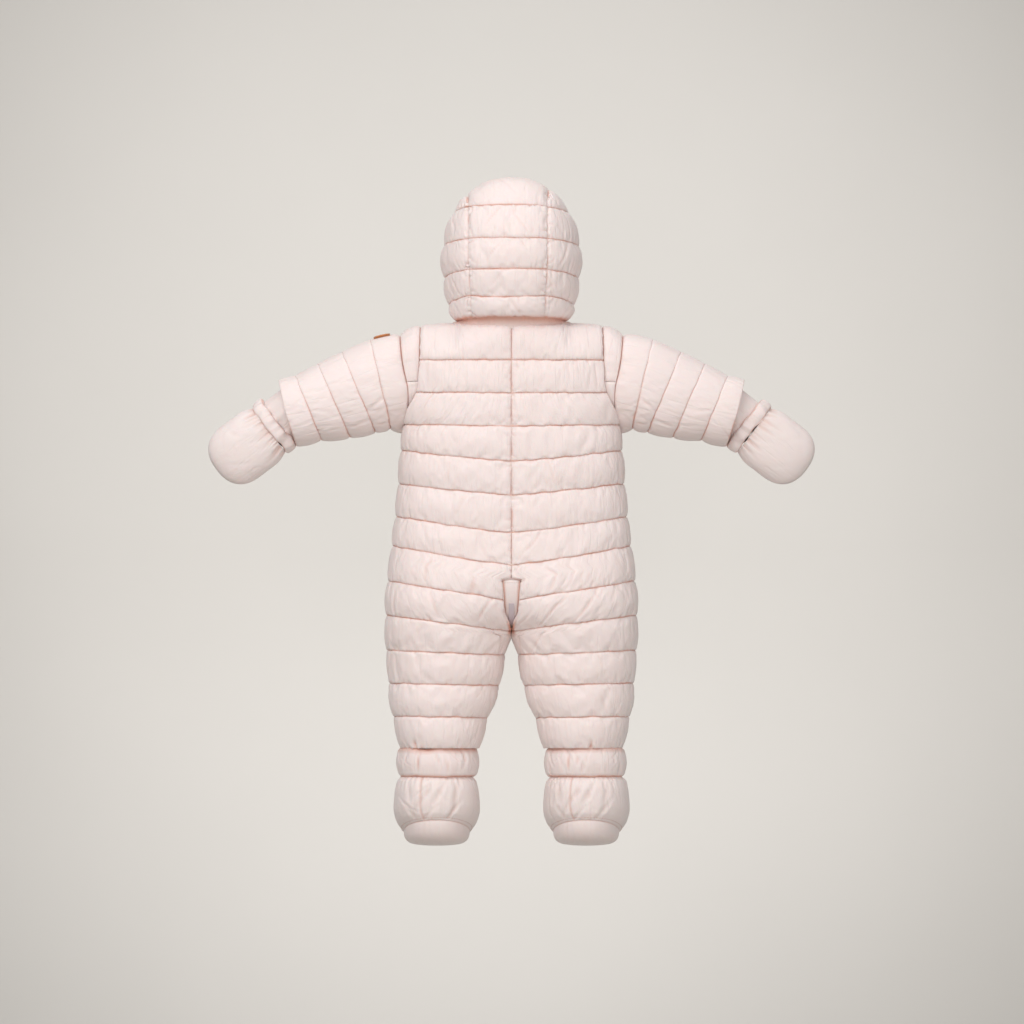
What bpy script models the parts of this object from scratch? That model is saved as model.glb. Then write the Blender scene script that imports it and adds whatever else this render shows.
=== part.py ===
"""A baby snowsuit in quilted, down-filled cloth, hollow and filled out as if it were worn.

Every cut piece is a closed wall of its own: a plain inner face, and an outer face whose points rise
between the quilting lines. Sizes are in millimetres and become metres when a mesh is made. Z is up,
the front faces -Y and the wearer's left is +X. The origin is the middle of the shoulders.
"""

import math

import bmesh
import bpy
import numpy as np

MM = 0.001

# Cloth and stitching.
WALL = 2.4  # the wall at a quilting line, with its batting pressed flat
PLAIN_WALL = 1.6  # cuffs and collar
PUFF = 6.5  # how far the down lifts the outer face between two lines
SEAM = 0.3  # the gap between two pieces that are sewn together
HALF_SEAM = SEAM / 2

# Where the rows of points lie within a channel between two quilting lines.
CHANNEL = (0.0, 0.13, 0.5, 0.87, 1.0)

# Heights that several pieces share.
SHOULDER_Z = 8.0
NECK_SHOULDER = (64.0, 11.0)  # x and z of the point where the neck meets the shoulder seam
NECK_BACK = (55.0, 9.0)  # y and z of the neck seam at the centre back
NECK_FRONT = (55.0, -14.0)  # the same at the centre front, where y is negative
UNDERARM_Z = -110.6
GUSSET_TOP_Z = -280.0
CROTCH_Z = -346.0
ZIP_END_Z = -264.0
ZIP_HALF_GAP = 5.0  # each front panel stops this far from the middle
HEM_Z = -475.0
SHARP_ANGLE = math.radians(50)  # edges bent more than this are drawn sharp

# Names of the two sides and the sign of their X.
SIDES = (("left", 1), ("right", -1))


def table(names, *rows):
    """Named columns out of short rows."""
    return dict(zip(names.split(), np.array(rows, float).T))


def smooth(t, name, by, at):
    """A column's value at a place between its rows, on a curve that never overshoots them."""
    order = np.argsort(t[by])
    xs, ys = t[by][order], t[name][order]
    step = np.diff(xs)
    slope = np.diff(ys) / step
    tangent = np.concatenate([slope[:1], slope[1:], slope[-1:]])
    for i in range(1, len(xs) - 1):
        before, after = slope[i - 1], slope[i]
        tangent[i] = 0.0 if before * after <= 0 else 2 * before * after / (before + after)
    at = float(np.clip(at, xs[0], xs[-1]))
    i = min(int(np.searchsorted(xs, at, side="right")) - 1, len(step) - 1)
    f = (at - xs[i]) / step[i]
    return (
        (1 + 2 * f) * (1 - f) ** 2 * ys[i]
        + f * (1 - f) ** 2 * step[i] * tangent[i]
        + f * f * (3 - 2 * f) * ys[i + 1]
        - f * f * (1 - f) * step[i] * tangent[i + 1]
    )


# The quilting lines of the body, from the shoulder down, at the centre and at the side. They run on
# from the back into the legs. The last row is the hem.
LINES = table(
    "centre side",
    (8, 8),
    (-29, -29),
    (-67, -66),
    (-105, -103),
    (-145, -133),
    (-184, -171),
    (-227, -209),
    (-265, -243),
    (-304, -283),
    (-339, -322),
    (-367, -362),
    (-402, -400),
    (-439, -438),
    (HEM_Z, HEM_Z),
)
# Where other pieces are sewn on: the channel, and how far down it.
CROSS_SEAM = (1, 0.66)  # between the shoulder strip and its tip
STRIP_END = (2, 0.5)
UNDERARM = (3, 0.2533)
GUSSET_TOP = (7, 0.4)
CROTCH = (9, 0.25)

# The body's cross-section at each height: how far it reaches to the side, the middle of the half or
# leg, its half depth, how much deeper it is behind than in front, and how square it is (2 is an
# ellipse).
BODY = table(
    "z half_width middle half_depth behind square",
    (8, 127, 0, 58, 0, 2.6),
    (-29, 127, 0, 61, 0, 2.6),
    (-67, 125, 0, 65, 0, 2.6),
    (-110.6, 121.5, 0, 67, 0, 2.6),
    (-145, 124, 0, 69, -1.5, 2.6),
    (-181, 126.5, 0, 70, -3.5, 2.5),
    (-227, 131, 8, 71, -4.5, 2.5),
    (-265, 136, 28, 71, -1, 2.4),
    (-304, 140, 54, 69, 4, 2.3),
    (-346, 140.5, 74, 62, 2, 2.2),
    (-388, 137.5, 76.5, 57, 0, 2.15),
    (-415, 136, 79, 54, 0, 2.1),
    (-443, 131, 82, 51, 0, 2.1),
    (-475, 123.5, 82.5, 46, 0, 2.1),
)
ARMHOLE = table(
    "z x",
    (8, 104),
    (-29, 105),
    (-55, 106),
    (-89, 118),
    (-103, 121.4),
    (-110.6, 121.5),
)
# The inner edge of each half where it is sewn to the gusset.
INNER_EDGE = table(
    "z x",
    (-280, 10.5),
    (-318, 8.0),
    (-346, 7.5),
)

# Across a body panel: where the columns lie from the centre to the side, and how much of the down's
# lift each one has.
ACROSS = table(
    "at lift",
    (0.0, 0.0),
    (0.06, 0.75),
    (0.18, 1.0),
    (0.33, 1.0),
    (0.5, 1.0),
    (0.7, 1.0),
    (0.9, 1.0),
    (1.0, 0.45),
)
NECK_COLUMN = 4

# The way the wall faces along the armhole: how far it leans outwards, how much more at the
# underarm, and how far it leans to the back and front.
ARMHOLE_LEAN = 0.12
UNDERARM_LEAN = 0.45
ARMHOLE_BACKWARDS = 1.15

# The shoulder strip's width between the armhole seam and the sleeve's head, and how much of that
# width its far edge falls. The fall fades out at a height below the shoulder.
STRIP = table("z width", (8, 24), (-23, 21), (-54, 14.5), (-80, 4.0), (-89, 0.0), (-111, 0.0))
STRIP_FALL = 0.42
STRIP_FALL_END_Z = -60.0
STRIP_CROWN = 0.22  # how high it rises between its seams, by its width
STRIP_END_CROWN = 0.4  # how much of that is left at its ends

# The sleeve's quilting lines, by the ends of each across the sleeve as it is seen from behind. The
# last row is the hem.
SLEEVE = table(
    "top_x top_z low_x low_z half_depth",
    (161, -9.5, 139, -104, 46),
    (193, -23.5, 157, -109, 43),
    (220.5, -37, 186, -115, 40),
    (246.5, -51, 219, -118, 38),
    (270, -58, 248, -125, 36),
)
SLEEVE_PUFF = 5.0
SLEEVE_ROUND = 0.92  # 1 is an ellipse, less is squarer
SLEEVE_HEM_GAP = 15.0  # the inner cuff starts this far inside the sleeve's hem
SLEEVE_CUFF_CLEAR = 0.9  # between the sleeve's lining and the cuff inside it, beyond the seam's gap
# The inner cuff on its way to the mitten: how far along from the sleeve's hem or from the mitten's
# wrist, and its half width and half depth.
CUFF_AT_HEM = (3.0, 25.5, 22.0)
CUFF_AT_WRIST = ((-9.0, 25.5, 19.0), (-2.0, 28.5, 19.2), (8.5, 28.2, 18.9))
PATCH_THICK = 1.2
PATCH_CLEAR = 0.25  # between the patch and the sleeve, beyond the seam's gap
PATCH_COLUMNS = (0, -1, -2, -3)  # from the sleeve's top towards the front

# The mitten lies on a slope of its own: its wrist's middle, and the way it points.
MITTEN_WRIST = (271.0, 0.0, -103.5)
MITTEN_SLOPE = math.radians(-37.0)
MITTEN_LENGTH = 85.5
MITTEN_HALF_WIDTH = 36.5
MITTEN_HALF_DEPTH = 22.0
MITTEN_TIP = 36.0  # how much shorter its edges are than its middle
MITTEN_TIP_SQUARE = 2.4
MITTEN_WRIST_SHARE = 0.86  # the wrist's width as a share of the widest
MITTEN_WIDEST = 0.45  # how far along it is widest
MITTEN_START = 10.0  # from the wrist's middle to the first row
MITTEN_EDGE_SQUARE = 2.4
MITTEN_END_SQUARE = 3.2
# The band round the wrist: how far along each ring lies and how far it stands out.
BAND = table("along out", (-5.0, 0.3), (-3.0, 2.4), (2.5, 3.2), (7.5, 2.2), (9.6, 0.3))
BAND_THICK = 2.6

# The hood is an egg, drawn in below to the neck.
HOOD_MIDDLE = (0.0, 3.0, 76.0)
HOOD_HALF_WIDTH = 76.0
HOOD_HALF_DEPTH = 80.0
HOOD_UP = 101.0
HOOD_DOWN = 132.0
HOOD_SQUARE = 2.2
HOOD_HALF_SEAM = 0.35
HOOD_SEAM_LIFT = 0.6  # how much of the down's lift is left at the hood's seams
HOOD_SEAM_LEFT = 49.0  # X of the seams beside the centre panel
HOOD_SEAM_RIGHT = -41.0
# How far the hood is drawn in towards the neck, by height.
HOOD_TUCK = table("z scale", (8, 0.84), (15, 0.865), (23, 0.905), (34, 0.935), (52, 0.955), (84, 1))
# The height of the hood's lower edge at the side, and how that plane falls towards the front.
HOOD_EDGE_Z = 15.0
HOOD_EDGE_SLOPE = 0.08
# The hood's lines up the back, by height, at the middle and at the centre panel's seams.
HOOD_BACK = table(
    "middle seam",
    (19.6, 19.4),
    (44.0, 45.0),
    (76.0, 75.0),
    (111.0, 110.0),
    (148.0, 146.0),
)
# Its lines over the crown to the forehead, by the angle up and over from the back.
HOOD_CROWN = table("middle seam", (69.0, 75.0), (93.0, 95.0), (117.0, 115.0), (141.0, 137.0))
# The side panel's lines on from the seam: the height at the side and at the face opening, and how far
# the opening's edge lies to the side.
HOOD_SIDE_LINES = table(
    "side front edge_x",
    (15.0, 10.6, 16.0),
    (34.0, 30.0, 42.0),
    (66.0, 57.0, 56.0),
    (103.0, 85.0, 58.0),
    (139.0, 112.0, 54.0),
)
HOOD_CROWN_START = math.radians(63.0)  # where the side panel's top row leaves the back seam
HOOD_SIDE_AT = 0.4545  # how far round a side panel the lines pass the side
HOOD_FRONT_BEND = 1.3  # how the lines bend on their way from the side to the face opening
HOOD_LINE_SPREAD = 45.0  # from the centre panel's middle to where its lines have their seam height
HOOD_COLUMNS = (-36.0, -20.0, 4.0, 28.0, 44.0)  # X of the columns between its seams
HOOD_LIFTS = (HOOD_SEAM_LIFT, 0.9, 1.0, 1.0, 1.0, 0.9, HOOD_SEAM_LIFT)

# The collar's foot stands this far inside the neck seam at the side and at the front and back, and
# this far below it.
COLLAR_IN_SIDE = 2.4
COLLAR_IN_DEPTH = 4.6
COLLAR_DROP = 3.0
COLLAR_BOW = 2.2
COLLAR_COLUMNS = 31
COLLAR_ROWS = (0.0, 0.35, 0.7, 1.0)
GAP_RADIUS = 60.0  # how far from the middle the collar's front edges lie

# The gusset's tab.
TAB_HALF_WIDTH = 3.2
TAB_HALF_LENGTH = 6.5
TAB_THICK = 0.8
TAB_CLEAR = 0.1  # between the tab and the gusset, beyond the seam's gap
TAB_ROW = 3  # rows above the crotch

# Ankles and feet.
BOOTIE_X = 86.0
CUFF_TOP_Z = -476.5
CUFF_LOW_Z = -506.5
CUFF_HALF_WIDTH = 45.0
CUFF_HALF_DEPTH = 47.0
CUFF_INSET = 3.0  # from that size to the base of the turned-up cuff
CUFF_THICK = 2.2
CUFF_ROLL = table("at out", (0.0, 0.3), (0.12, 3.6), (0.5, 5.8), (0.88, 3.4), (1.0, 0.3))
ANKLE_TOP = 14.0  # the inner cuff starts this far above the leg's hem
ANKLE_CLEAR = 1.9  # between the leg's lining and the inner cuff, beyond the seam's gap
ANKLE_INSET = 5.8
ANKLE_NECK_INSET = 9.0
SOLE_HEEL = (44.0, -562.0)  # y and z where the sole's seam passes the heel
SOLE_TOE = (-76.0, -584.0)
SOLE_THICK = 4.2
BOOTIE = table(
    "down half_width back front",
    (0.0, 40.0, 41.0, -42.0),
    (0.12, 46.0, 47.0, -52.0),
    (0.34, 49.0, 50.0, -63.0),
    (0.6, 50.0, 50.5, -74.0),
    (0.84, 49.0, 49.0, -79.0),
    (1.0, 45.0, 44.0, -76.0),
)
BOOTIE_ROWS = (0.0, 0.06, 0.16, 0.34, 0.56, 0.78, 0.93, 1.0)
BOOTIE_KEEP = [0, 2, 4, 7]
BOOTIE_SQUARE = 0.94
SOLE_LAYERS = ((1.0, 0.0), (1.02, -1.2), (0.97, -3.2), (0.86, -SOLE_THICK))
FOOT_ROUND = 26  # columns round a bootie
CUFF_ROUND = 20  # columns round a cuff

# Zip.
TAPE_THICK = 0.8
TAPE_WIDTH = 13.0
TAPE_CLEAR = 0.5  # between the tape and the cloth, beyond the seam's gap
TAPE_LEAN = 1.2  # how far the tape's far edge lies further in
TAPE_BEND_TOP_Z = -17.0  # it passes from the collar to the front between these heights
TAPE_BEND_LOW_Z = -30.0
ZIP_TOP_Z = 5.0
SLIDER_WIDTH = 8.0
SLIDER_HEIGHT = 11.0
SLIDER_DEPTH = 4.0
SLIDER_TOP_Z = 0.0
SLIDER_CLEAR = 2.3  # from the deepest tape to the slider, beyond the seam's gap
SLIDER_NECK_HALF = 1.2
SLIDER_NECK_REACH = 2.2
SLIDER_END = 1.0  # from the slider's ends to its neck and its bridge
SLIDER_BITE = 0.5  # how far the neck and the bridge run into the slider
BRIDGE_THICK = 1.3
BRIDGE_REACH = 3.6  # how far the slider's bridge stands out
BRIDGE_ROOF = 0.9
BRIDGE_LEG = 1.2
AXIS_IN = 1.9  # from the bridge's outer face to the pull's axis
AXIS_LOW = 1.6  # from the slider's middle down to the pull's axis
PULL_BAR = 0.8  # radius of the bar on which the pull turns
PULL_WIDTH = 6.5
PULL_LENGTH = 24.0
PULL_THICK = 1.4
PULL_SLOT = 6.7  # from the axis to the slot's lower end
PULL_SIDE = 1.5
PULL_THROUGH = 1.0  # how far the slot's cutter passes the plate
PULL_CLEAR = 2.6  # between the tape and the tip of the hanging pull

# Colours as linear values.
PINK = (0.85, 0.72, 0.66, 1.0)
PINK_PLAIN = (0.80, 0.65, 0.58, 1.0)
LILAC_GREY = (0.60, 0.52, 0.53, 1.0)
LEATHER = (0.42, 0.13, 0.03, 1.0)
METAL = (0.75, 0.62, 0.55, 1.0)


def clear_scene():
    for thing in list(bpy.data.objects):
        bpy.data.objects.remove(thing, do_unlink=True)


def named_material(name, colour, roughness, metallic=0.0):
    made = bpy.data.materials.new(name)
    made.use_nodes = True
    shader = made.node_tree.nodes["Principled BSDF"]
    shader.inputs["Base Color"].default_value = colour
    shader.inputs["Roughness"].default_value = roughness
    shader.inputs["Metallic"].default_value = metallic
    return made


def unit(v):
    return v / np.maximum(np.linalg.norm(v, axis=-1, keepdims=True), 1e-9)


def lift(rows_at):
    """How high the down lifts each place within a channel, from 0 on a line to 1."""
    return np.sqrt(np.clip(1 - (2 * np.asarray(rows_at) - 1) ** 2, 0, 1))


def grid_normals(base, round_it):
    """Outward directions of a grid of points whose rows run down and whose columns run round."""
    down = np.gradient(base, axis=0)
    if round_it:
        across = np.roll(base, -1, axis=1) - np.roll(base, 1, axis=1)
    else:
        across = np.gradient(base, axis=1)
    return unit(np.cross(down, across))


def add_object(name, points, faces, material, sign_x=1, sign_y=1):
    """A closed mesh from points in millimetres, mirrored where a sign is -1."""
    flip = np.array([sign_x, sign_y, 1.0]) * MM
    mesh = bpy.data.meshes.new(name)
    mesh.from_pydata([tuple(p) for p in np.asarray(points) * flip], [], faces)
    shape = bmesh.new()
    shape.from_mesh(mesh)
    bmesh.ops.recalc_face_normals(shape, faces=shape.faces)
    shape.to_mesh(mesh)
    shape.free()
    made = bpy.data.objects.new(name, mesh)
    mesh.materials.append(material)
    mesh.shade_smooth()
    mesh.set_sharp_from_angle(angle=SHARP_ANGLE)
    bpy.data.collections["snowsuit"].objects.link(made)
    return made


def rim_faces(outer, inner, keep):
    """Triangles between an outer chain of points and the inner chain under its kept points."""
    faces = []
    for k in range(len(keep) - 1):
        first, last = keep[k], keep[k + 1]
        turn = (first + last + 1) // 2
        faces += [(inner[k], outer[i], outer[i + 1]) for i in range(first, turn)]
        faces.append((inner[k], outer[turn], inner[k + 1]))
        faces += [(inner[k + 1], outer[i], outer[i + 1]) for i in range(turn, last)]
    return faces


def wall(name, base, normals, heights, material, keep=None, thick=WALL, round_it=False, signs=(1, 1)):
    """A closed wall on a grid: the outer face is the base lifted by the heights, the inner face is
    the base moved in by the thickness, on the kept rows only."""
    rows, columns = base.shape[:2]
    keep = list(range(rows)) if keep is None else keep
    outer = base + normals * heights[..., None]
    inner = (base - normals * thick)[keep]
    points = np.concatenate([outer.reshape(-1, 3), inner.reshape(-1, 3)])
    out_id = np.arange(rows * columns).reshape(rows, columns)
    in_id = rows * columns + np.arange(len(keep) * columns).reshape(len(keep), columns)
    spans = columns if round_it else columns - 1
    faces = []
    for ids in (out_id, in_id):
        for r in range(len(ids) - 1):
            for c in range(spans):
                d = (c + 1) % columns
                faces.append((ids[r, c], ids[r, d], ids[r + 1, d], ids[r + 1, c]))
    for r, s in ((0, 0), (rows - 1, len(keep) - 1)):
        for c in range(spans):
            d = (c + 1) % columns
            faces.append((out_id[r, c], out_id[r, d], in_id[s, d], in_id[s, c]))
    if not round_it:
        for c in (0, columns - 1):
            faces += rim_faces(out_id[:, c], in_id[:, c], keep)
    faces = [tuple(int(i) for i in f) for f in faces]
    return add_object(name, points, faces, material, *signs)


def channel_rows(count, special=None):
    """The place of each row: its channel and how far down it lies. A channel may have its own."""
    places = []
    for c in range(count):
        within = (special or {}).get(c, CHANNEL)
        places += [(c, v) for v in within[:-1]]
    places.append((count - 1, 1.0))
    return places


def line_rows(places):
    """The rows that lie on a quilting line."""
    return [i for i, (c, v) in enumerate(places) if v in (0.0, 1.0)]


# ---------------------------------------------------------------- body panels


def section_angle(x, z):
    """The angle round the body's section at which it reaches an X."""
    middle = smooth(BODY, "middle", "z", z)
    reach = smooth(BODY, "half_width", "z", z) - middle
    power = smooth(BODY, "square", "z", z) / 2
    share = min(abs(x - middle) / reach, 1.0) ** power
    angle = math.acos(share)
    return angle if x >= middle else math.pi - angle


def section_point(angle, z, front):
    middle = smooth(BODY, "middle", "z", z)
    reach = smooth(BODY, "half_width", "z", z) - middle
    behind = smooth(BODY, "behind", "z", z)
    depth = smooth(BODY, "half_depth", "z", z) + (-behind if front else behind)
    power = 2 / smooth(BODY, "square", "z", z)
    c, s = math.cos(angle), max(math.sin(angle), 0.0)
    x = middle + reach * math.copysign(abs(c) ** power, c)
    return np.array([x, depth * s**power, z])


def inner_edge(z, front):
    """X of a panel's edge at the middle of the body, before the seam's gap."""
    if z <= CROTCH_Z + 0.01:
        middle = smooth(BODY, "middle", "z", z)
        return 2 * middle - smooth(BODY, "half_width", "z", z)
    if z <= GUSSET_TOP_Z - 0.2:
        return smooth(INNER_EDGE, "x", "z", z)
    if front and z >= ZIP_END_Z - 2:
        return ZIP_HALF_GAP - HALF_SEAM
    return 0.0


def body_row_point(line, at, front):
    """A point on a body panel's base: a place down the lines and a place across from 0 to 1."""
    i = int(line)
    f = line - i
    j = min(i + 1, len(LINES["centre"]) - 1)
    centre = LINES["centre"][i] * (1 - f) + LINES["centre"][j] * f
    side = LINES["side"][i] * (1 - f) + LINES["side"][j] * f
    start = section_angle(inner_edge(centre, front), centre)
    open_side = side > UNDERARM_Z + 0.1
    end = section_angle(smooth(ARMHOLE, "x", "z", side), side) if open_side else 0.0
    angle = start + (end - start) * at
    low, high = math.cos(start), math.cos(end)
    share = (math.cos(angle) - low) / (high - low)
    z = centre + (side - centre) * share
    if at == 0.0:
        angle = section_angle(inner_edge(z, front), z)
    if at == 1.0:
        angle = section_angle(smooth(ARMHOLE, "x", "z", z), z) if open_side else 0.0
    return section_point(angle, z, front)


def top_edge_point(column, front):
    """The neck seam and then the shoulder seam, by column."""
    at = ACROSS["at"]
    if column <= NECK_COLUMN:
        turn = at[column] / at[NECK_COLUMN] * math.pi / 2
        y, z = NECK_FRONT if front else NECK_BACK
        x0 = ZIP_HALF_GAP if front else 0.0
        x = x0 + (NECK_SHOULDER[0] - x0) * math.sin(turn)
        height = NECK_SHOULDER[1] + (z - NECK_SHOULDER[1]) * math.cos(turn)
        return np.array([x, y * math.cos(turn), height])
    f = (at[column] - at[NECK_COLUMN]) / (1 - at[NECK_COLUMN])
    x = NECK_SHOULDER[0] + (ARMHOLE["x"][0] - NECK_SHOULDER[0]) * f
    return np.array([x, 0.0, NECK_SHOULDER[1] + (SHOULDER_Z - NECK_SHOULDER[1]) * f])


BODY_PLACES = channel_rows(
    len(LINES["centre"]) - 1,
    {
        0: (0.0, 0.13, 0.32, 0.6, 0.85, 1.0),
        CROSS_SEAM[0]: (0.0, 0.13, CROSS_SEAM[1], 0.87, 1.0),
        UNDERARM[0]: (0.0, UNDERARM[1], 0.5, 0.87, 1.0),
        GUSSET_TOP[0]: (0.0, 0.13, 0.38, GUSSET_TOP[1], 0.87, 1.0),
        CROTCH[0]: (0.0, CROTCH[1], 0.5, 0.87, 1.0),
    },
)
CROSS_SEAM_ROW = BODY_PLACES.index(CROSS_SEAM)
STRIP_END_ROW = BODY_PLACES.index(STRIP_END)
UNDERARM_ROW = BODY_PLACES.index(UNDERARM)
GUSSET_ROW = BODY_PLACES.index(GUSSET_TOP)
CROTCH_ROW = BODY_PLACES.index(CROTCH)
# The rows the plain inner face has: the lines, and where another piece is sewn on.
BODY_KEEP = sorted(
    {i for i, (c, v) in enumerate(BODY_PLACES) if c == 0 or v in (0.0, 1.0)}
    | {CROSS_SEAM_ROW, STRIP_END_ROW, UNDERARM_ROW, GUSSET_ROW - 1, GUSSET_ROW, CROTCH_ROW}
)


def body_base(front):
    """The base grid of one body panel on the wearer's left, as a back panel."""
    columns = len(ACROSS["at"])
    base = np.zeros((len(BODY_PLACES), columns, 3))
    for r, (channel, v) in enumerate(BODY_PLACES):
        for c in range(columns):
            if channel == 0:
                top = top_edge_point(c, front)
                low = body_row_point(1.0, ACROSS["at"][c], front)
                turn = v * math.pi / 2
                base[r, c] = top + (low - top) * v
                base[r, c, 1] = top[1] + (low[1] - top[1]) * math.sin(turn)
                base[r, c, 2] = top[2] + (low[2] - top[2]) * (1 - math.cos(turn))
            else:
                base[r, c] = body_row_point(channel + v, ACROSS["at"][c], front)
    return base


def armhole_directions(points):
    """The way the wall faces along the armhole seam, which both pieces share."""
    middle_z = (SHOULDER_Z + UNDERARM_Z) / 2
    half_height = (SHOULDER_Z - UNDERARM_Z) / 2
    half_depth = np.abs(points[:, 1]).max()
    up = (points[:, 2] - middle_z) / half_height
    back = points[:, 1] / half_depth * ARMHOLE_BACKWARDS
    out = ARMHOLE_LEAN + UNDERARM_LEAN * np.clip(-up, 0, 1)
    return unit(np.stack([out, back, up], axis=1))


def body_panel(name, front, signs, material):
    base = body_base(front)
    normals = -grid_normals(base, False)
    flat_x = np.array([0.0, 1.0, 1.0])
    flat_y = np.array([1.0, 0.0, 1.0])
    normals[:CROTCH_ROW, 0] = unit(normals[:CROTCH_ROW, 0] * flat_x)
    normals[CROTCH_ROW:, 0] = unit(normals[CROTCH_ROW:, 0] * flat_y)
    normals[CROTCH_ROW, 0] = unit(np.array([-0.5, 0.0, -1.0]))
    normals[UNDERARM_ROW:, -1] = unit(normals[UNDERARM_ROW:, -1] * flat_y)
    normals[0, NECK_COLUMN:] = unit(normals[0, NECK_COLUMN:] * flat_y)
    normals[: UNDERARM_ROW + 1, -1] = armhole_directions(base[: UNDERARM_ROW + 1, -1])
    normals[-1] = unit(normals[-1] * np.array([1.0, 1.0, 0.0]))
    base[:CROTCH_ROW, 0, 0] += HALF_SEAM
    base[GUSSET_ROW:CROTCH_ROW, 0, 0] += HALF_SEAM
    base[CROTCH_ROW:, 0, 1] = HALF_SEAM
    base[UNDERARM_ROW:, -1, 1] = HALF_SEAM
    base[0, NECK_COLUMN:, 1] = HALF_SEAM
    base[: UNDERARM_ROW + 1, -1, 0] -= HALF_SEAM
    heights = PUFF * np.outer(lift([v for c, v in BODY_PLACES]), ACROSS["lift"])
    return wall(name, base, normals, heights, material, keep=BODY_KEEP, signs=signs)


def armhole_ring():
    """The armhole seam as a closed ring: the back half from the top down, then the front up."""
    back = body_base(False)[: UNDERARM_ROW + 1, -1]
    front = (back * np.array([1.0, -1.0, 1.0]))[1:-1][::-1]
    return np.concatenate([back, front])


# ---------------------------------------------------------------- shoulder strips and sleeves


def strip_edge(ring):
    """The far edge of the shoulder strip, where the sleeve's head is sewn."""
    width = np.array([smooth(STRIP, "width", "z", z) for z in ring[:, 2]])
    edge = ring.copy()
    edge[:, 0] += width
    share = (ring[:, 2] - STRIP_FALL_END_Z) / (SHOULDER_Z - STRIP_FALL_END_Z)
    edge[:, 2] -= width * STRIP_FALL * np.clip(share, 0, 1)
    return edge


def strip_piece(name, ring, directions, rows, sign_x, material):
    """A part of the strip between the armhole and the sleeve's head, over the given rows."""
    edge = strip_edge(ring)
    near, far = ring[rows] + [SEAM, 0, 0], edge[rows] - [HALF_SEAM, 0, 0]
    base = np.stack([near, (near + far) / 2, far], axis=1)
    facing = np.repeat(directions[rows][:, None], 3, axis=1)
    heights = np.zeros(base.shape[:2])
    heights[:, 1] = STRIP_CROWN * np.linalg.norm(far - near, axis=1)
    heights[[0, -1], 1] *= STRIP_END_CROWN
    for end, way in ((0, 1), (-1, -1)):
        base[end] += unit(base[end + way] - base[end]) * HALF_SEAM
    return wall(name, base, facing, heights, material, signs=(sign_x, 1))


def shoulder_strips(side, sign_x, material):
    """The strip over the shoulder, and its small tips behind and in front."""
    ring = armhole_ring()
    directions = armhole_directions(ring)
    cross, end, count = CROSS_SEAM_ROW, STRIP_END_ROW, len(ring)
    over = [i % count for i in range(-cross, cross + 1)]
    strip_piece(f"shoulder_strip_{side}", ring, directions, over, sign_x, material)
    behind = list(range(cross, end + 1))
    strip_piece(f"strip_tip_back_{side}", ring, directions, behind, sign_x, material)
    before = [count - i for i in behind]
    strip_piece(f"strip_tip_front_{side}", ring, directions, before, sign_x, material)


def sleeve_line(row, count):
    """A quilting line round the sleeve, from its top round behind and back up in front."""
    top = np.array([SLEEVE["top_x"][row], 0.0, SLEEVE["top_z"][row]])
    low = np.array([SLEEVE["low_x"][row], 0.0, SLEEVE["low_z"][row]])
    middle, half = (top + low) / 2, (top - low) / 2
    ring = []
    for i in range(count):
        turn = 2 * math.pi * i / count
        point = middle + half * math.copysign(abs(math.cos(turn)) ** SLEEVE_ROUND, math.cos(turn))
        reach = math.copysign(abs(math.sin(turn)) ** SLEEVE_ROUND, math.sin(turn))
        point[1] = SLEEVE["half_depth"][row] * reach
        ring.append(point)
    return np.array(ring)


def sleeve_base():
    """The sleeve's base grid and the place of each row."""
    head = strip_edge(armhole_ring())
    count = len(head)
    lines = [head] + [sleeve_line(r, count) for r in range(len(SLEEVE["top_x"]))]
    places = channel_rows(len(lines) - 1)
    base = np.array([lines[c] * (1 - v) + lines[c + 1] * v for c, v in places])
    return base, places


def sleeve_grid():
    """The sleeve's base, the way it faces, how high it is lifted, and the place of each row."""
    base, places = sleeve_base()
    normals = grid_normals(base, True)
    normals[0] = armhole_directions(armhole_ring())
    base[0, :, 0] += HALF_SEAM
    heights = SLEEVE_PUFF * np.repeat(lift([v for c, v in places])[:, None], base.shape[1], axis=1)
    return base, normals, heights, places


def sleeve(side, sign_x, material):
    base, normals, heights, places = sleeve_grid()
    wall(
        f"sleeve_{side}",
        base,
        normals,
        heights,
        material,
        keep=line_rows(places),
        round_it=True,
        signs=(sign_x, 1),
    )


def leather_patch(material):
    """A plain patch on the top of the left sleeve, made from the sleeve's own points."""
    base, normals, heights, places = sleeve_grid()
    before, crest, after = (base + normals * heights[..., None])[1:4]
    rows = (before * 0.25 + crest * 0.75, crest, (crest + after) / 2, crest * 0.2 + after * 0.8)
    grid = np.array([row[list(PATCH_COLUMNS)] for row in rows])
    facing = np.repeat(normals[2:3, PATCH_COLUMNS], len(rows), axis=0)
    lifted = grid + facing * (SEAM + PATCH_CLEAR + PATCH_THICK)
    wall("leather_patch", lifted, facing, np.zeros(grid.shape[:2]), material, thick=PATCH_THICK)


# ---------------------------------------------------------------- cuffs and mittens


def ring_points(middle, across, half_width, half_depth, count, power=1.0):
    """A closed ring round a middle: half a width along a direction and half a depth along Y."""
    ring = []
    for i in range(count):
        turn = 2 * math.pi * i / count
        c, s = math.cos(turn), math.sin(turn)
        aside = np.array(across) * half_width * math.copysign(abs(c) ** power, c)
        point = np.array(middle, float) + aside
        point[1] += half_depth * math.copysign(abs(s) ** power, s)
        ring.append(point)
    return np.array(ring)


def tube(name, rings, heights, thick, material, signs, keep=None):
    """A closed wall from rings, each lifted by one height."""
    base = np.array(rings)
    lifted = np.repeat(np.array(heights, float)[:, None], base.shape[1], axis=1)
    normals = grid_normals(base, True)
    wall(name, base, normals, lifted, material, keep=keep, thick=thick, round_it=True, signs=signs)


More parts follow.
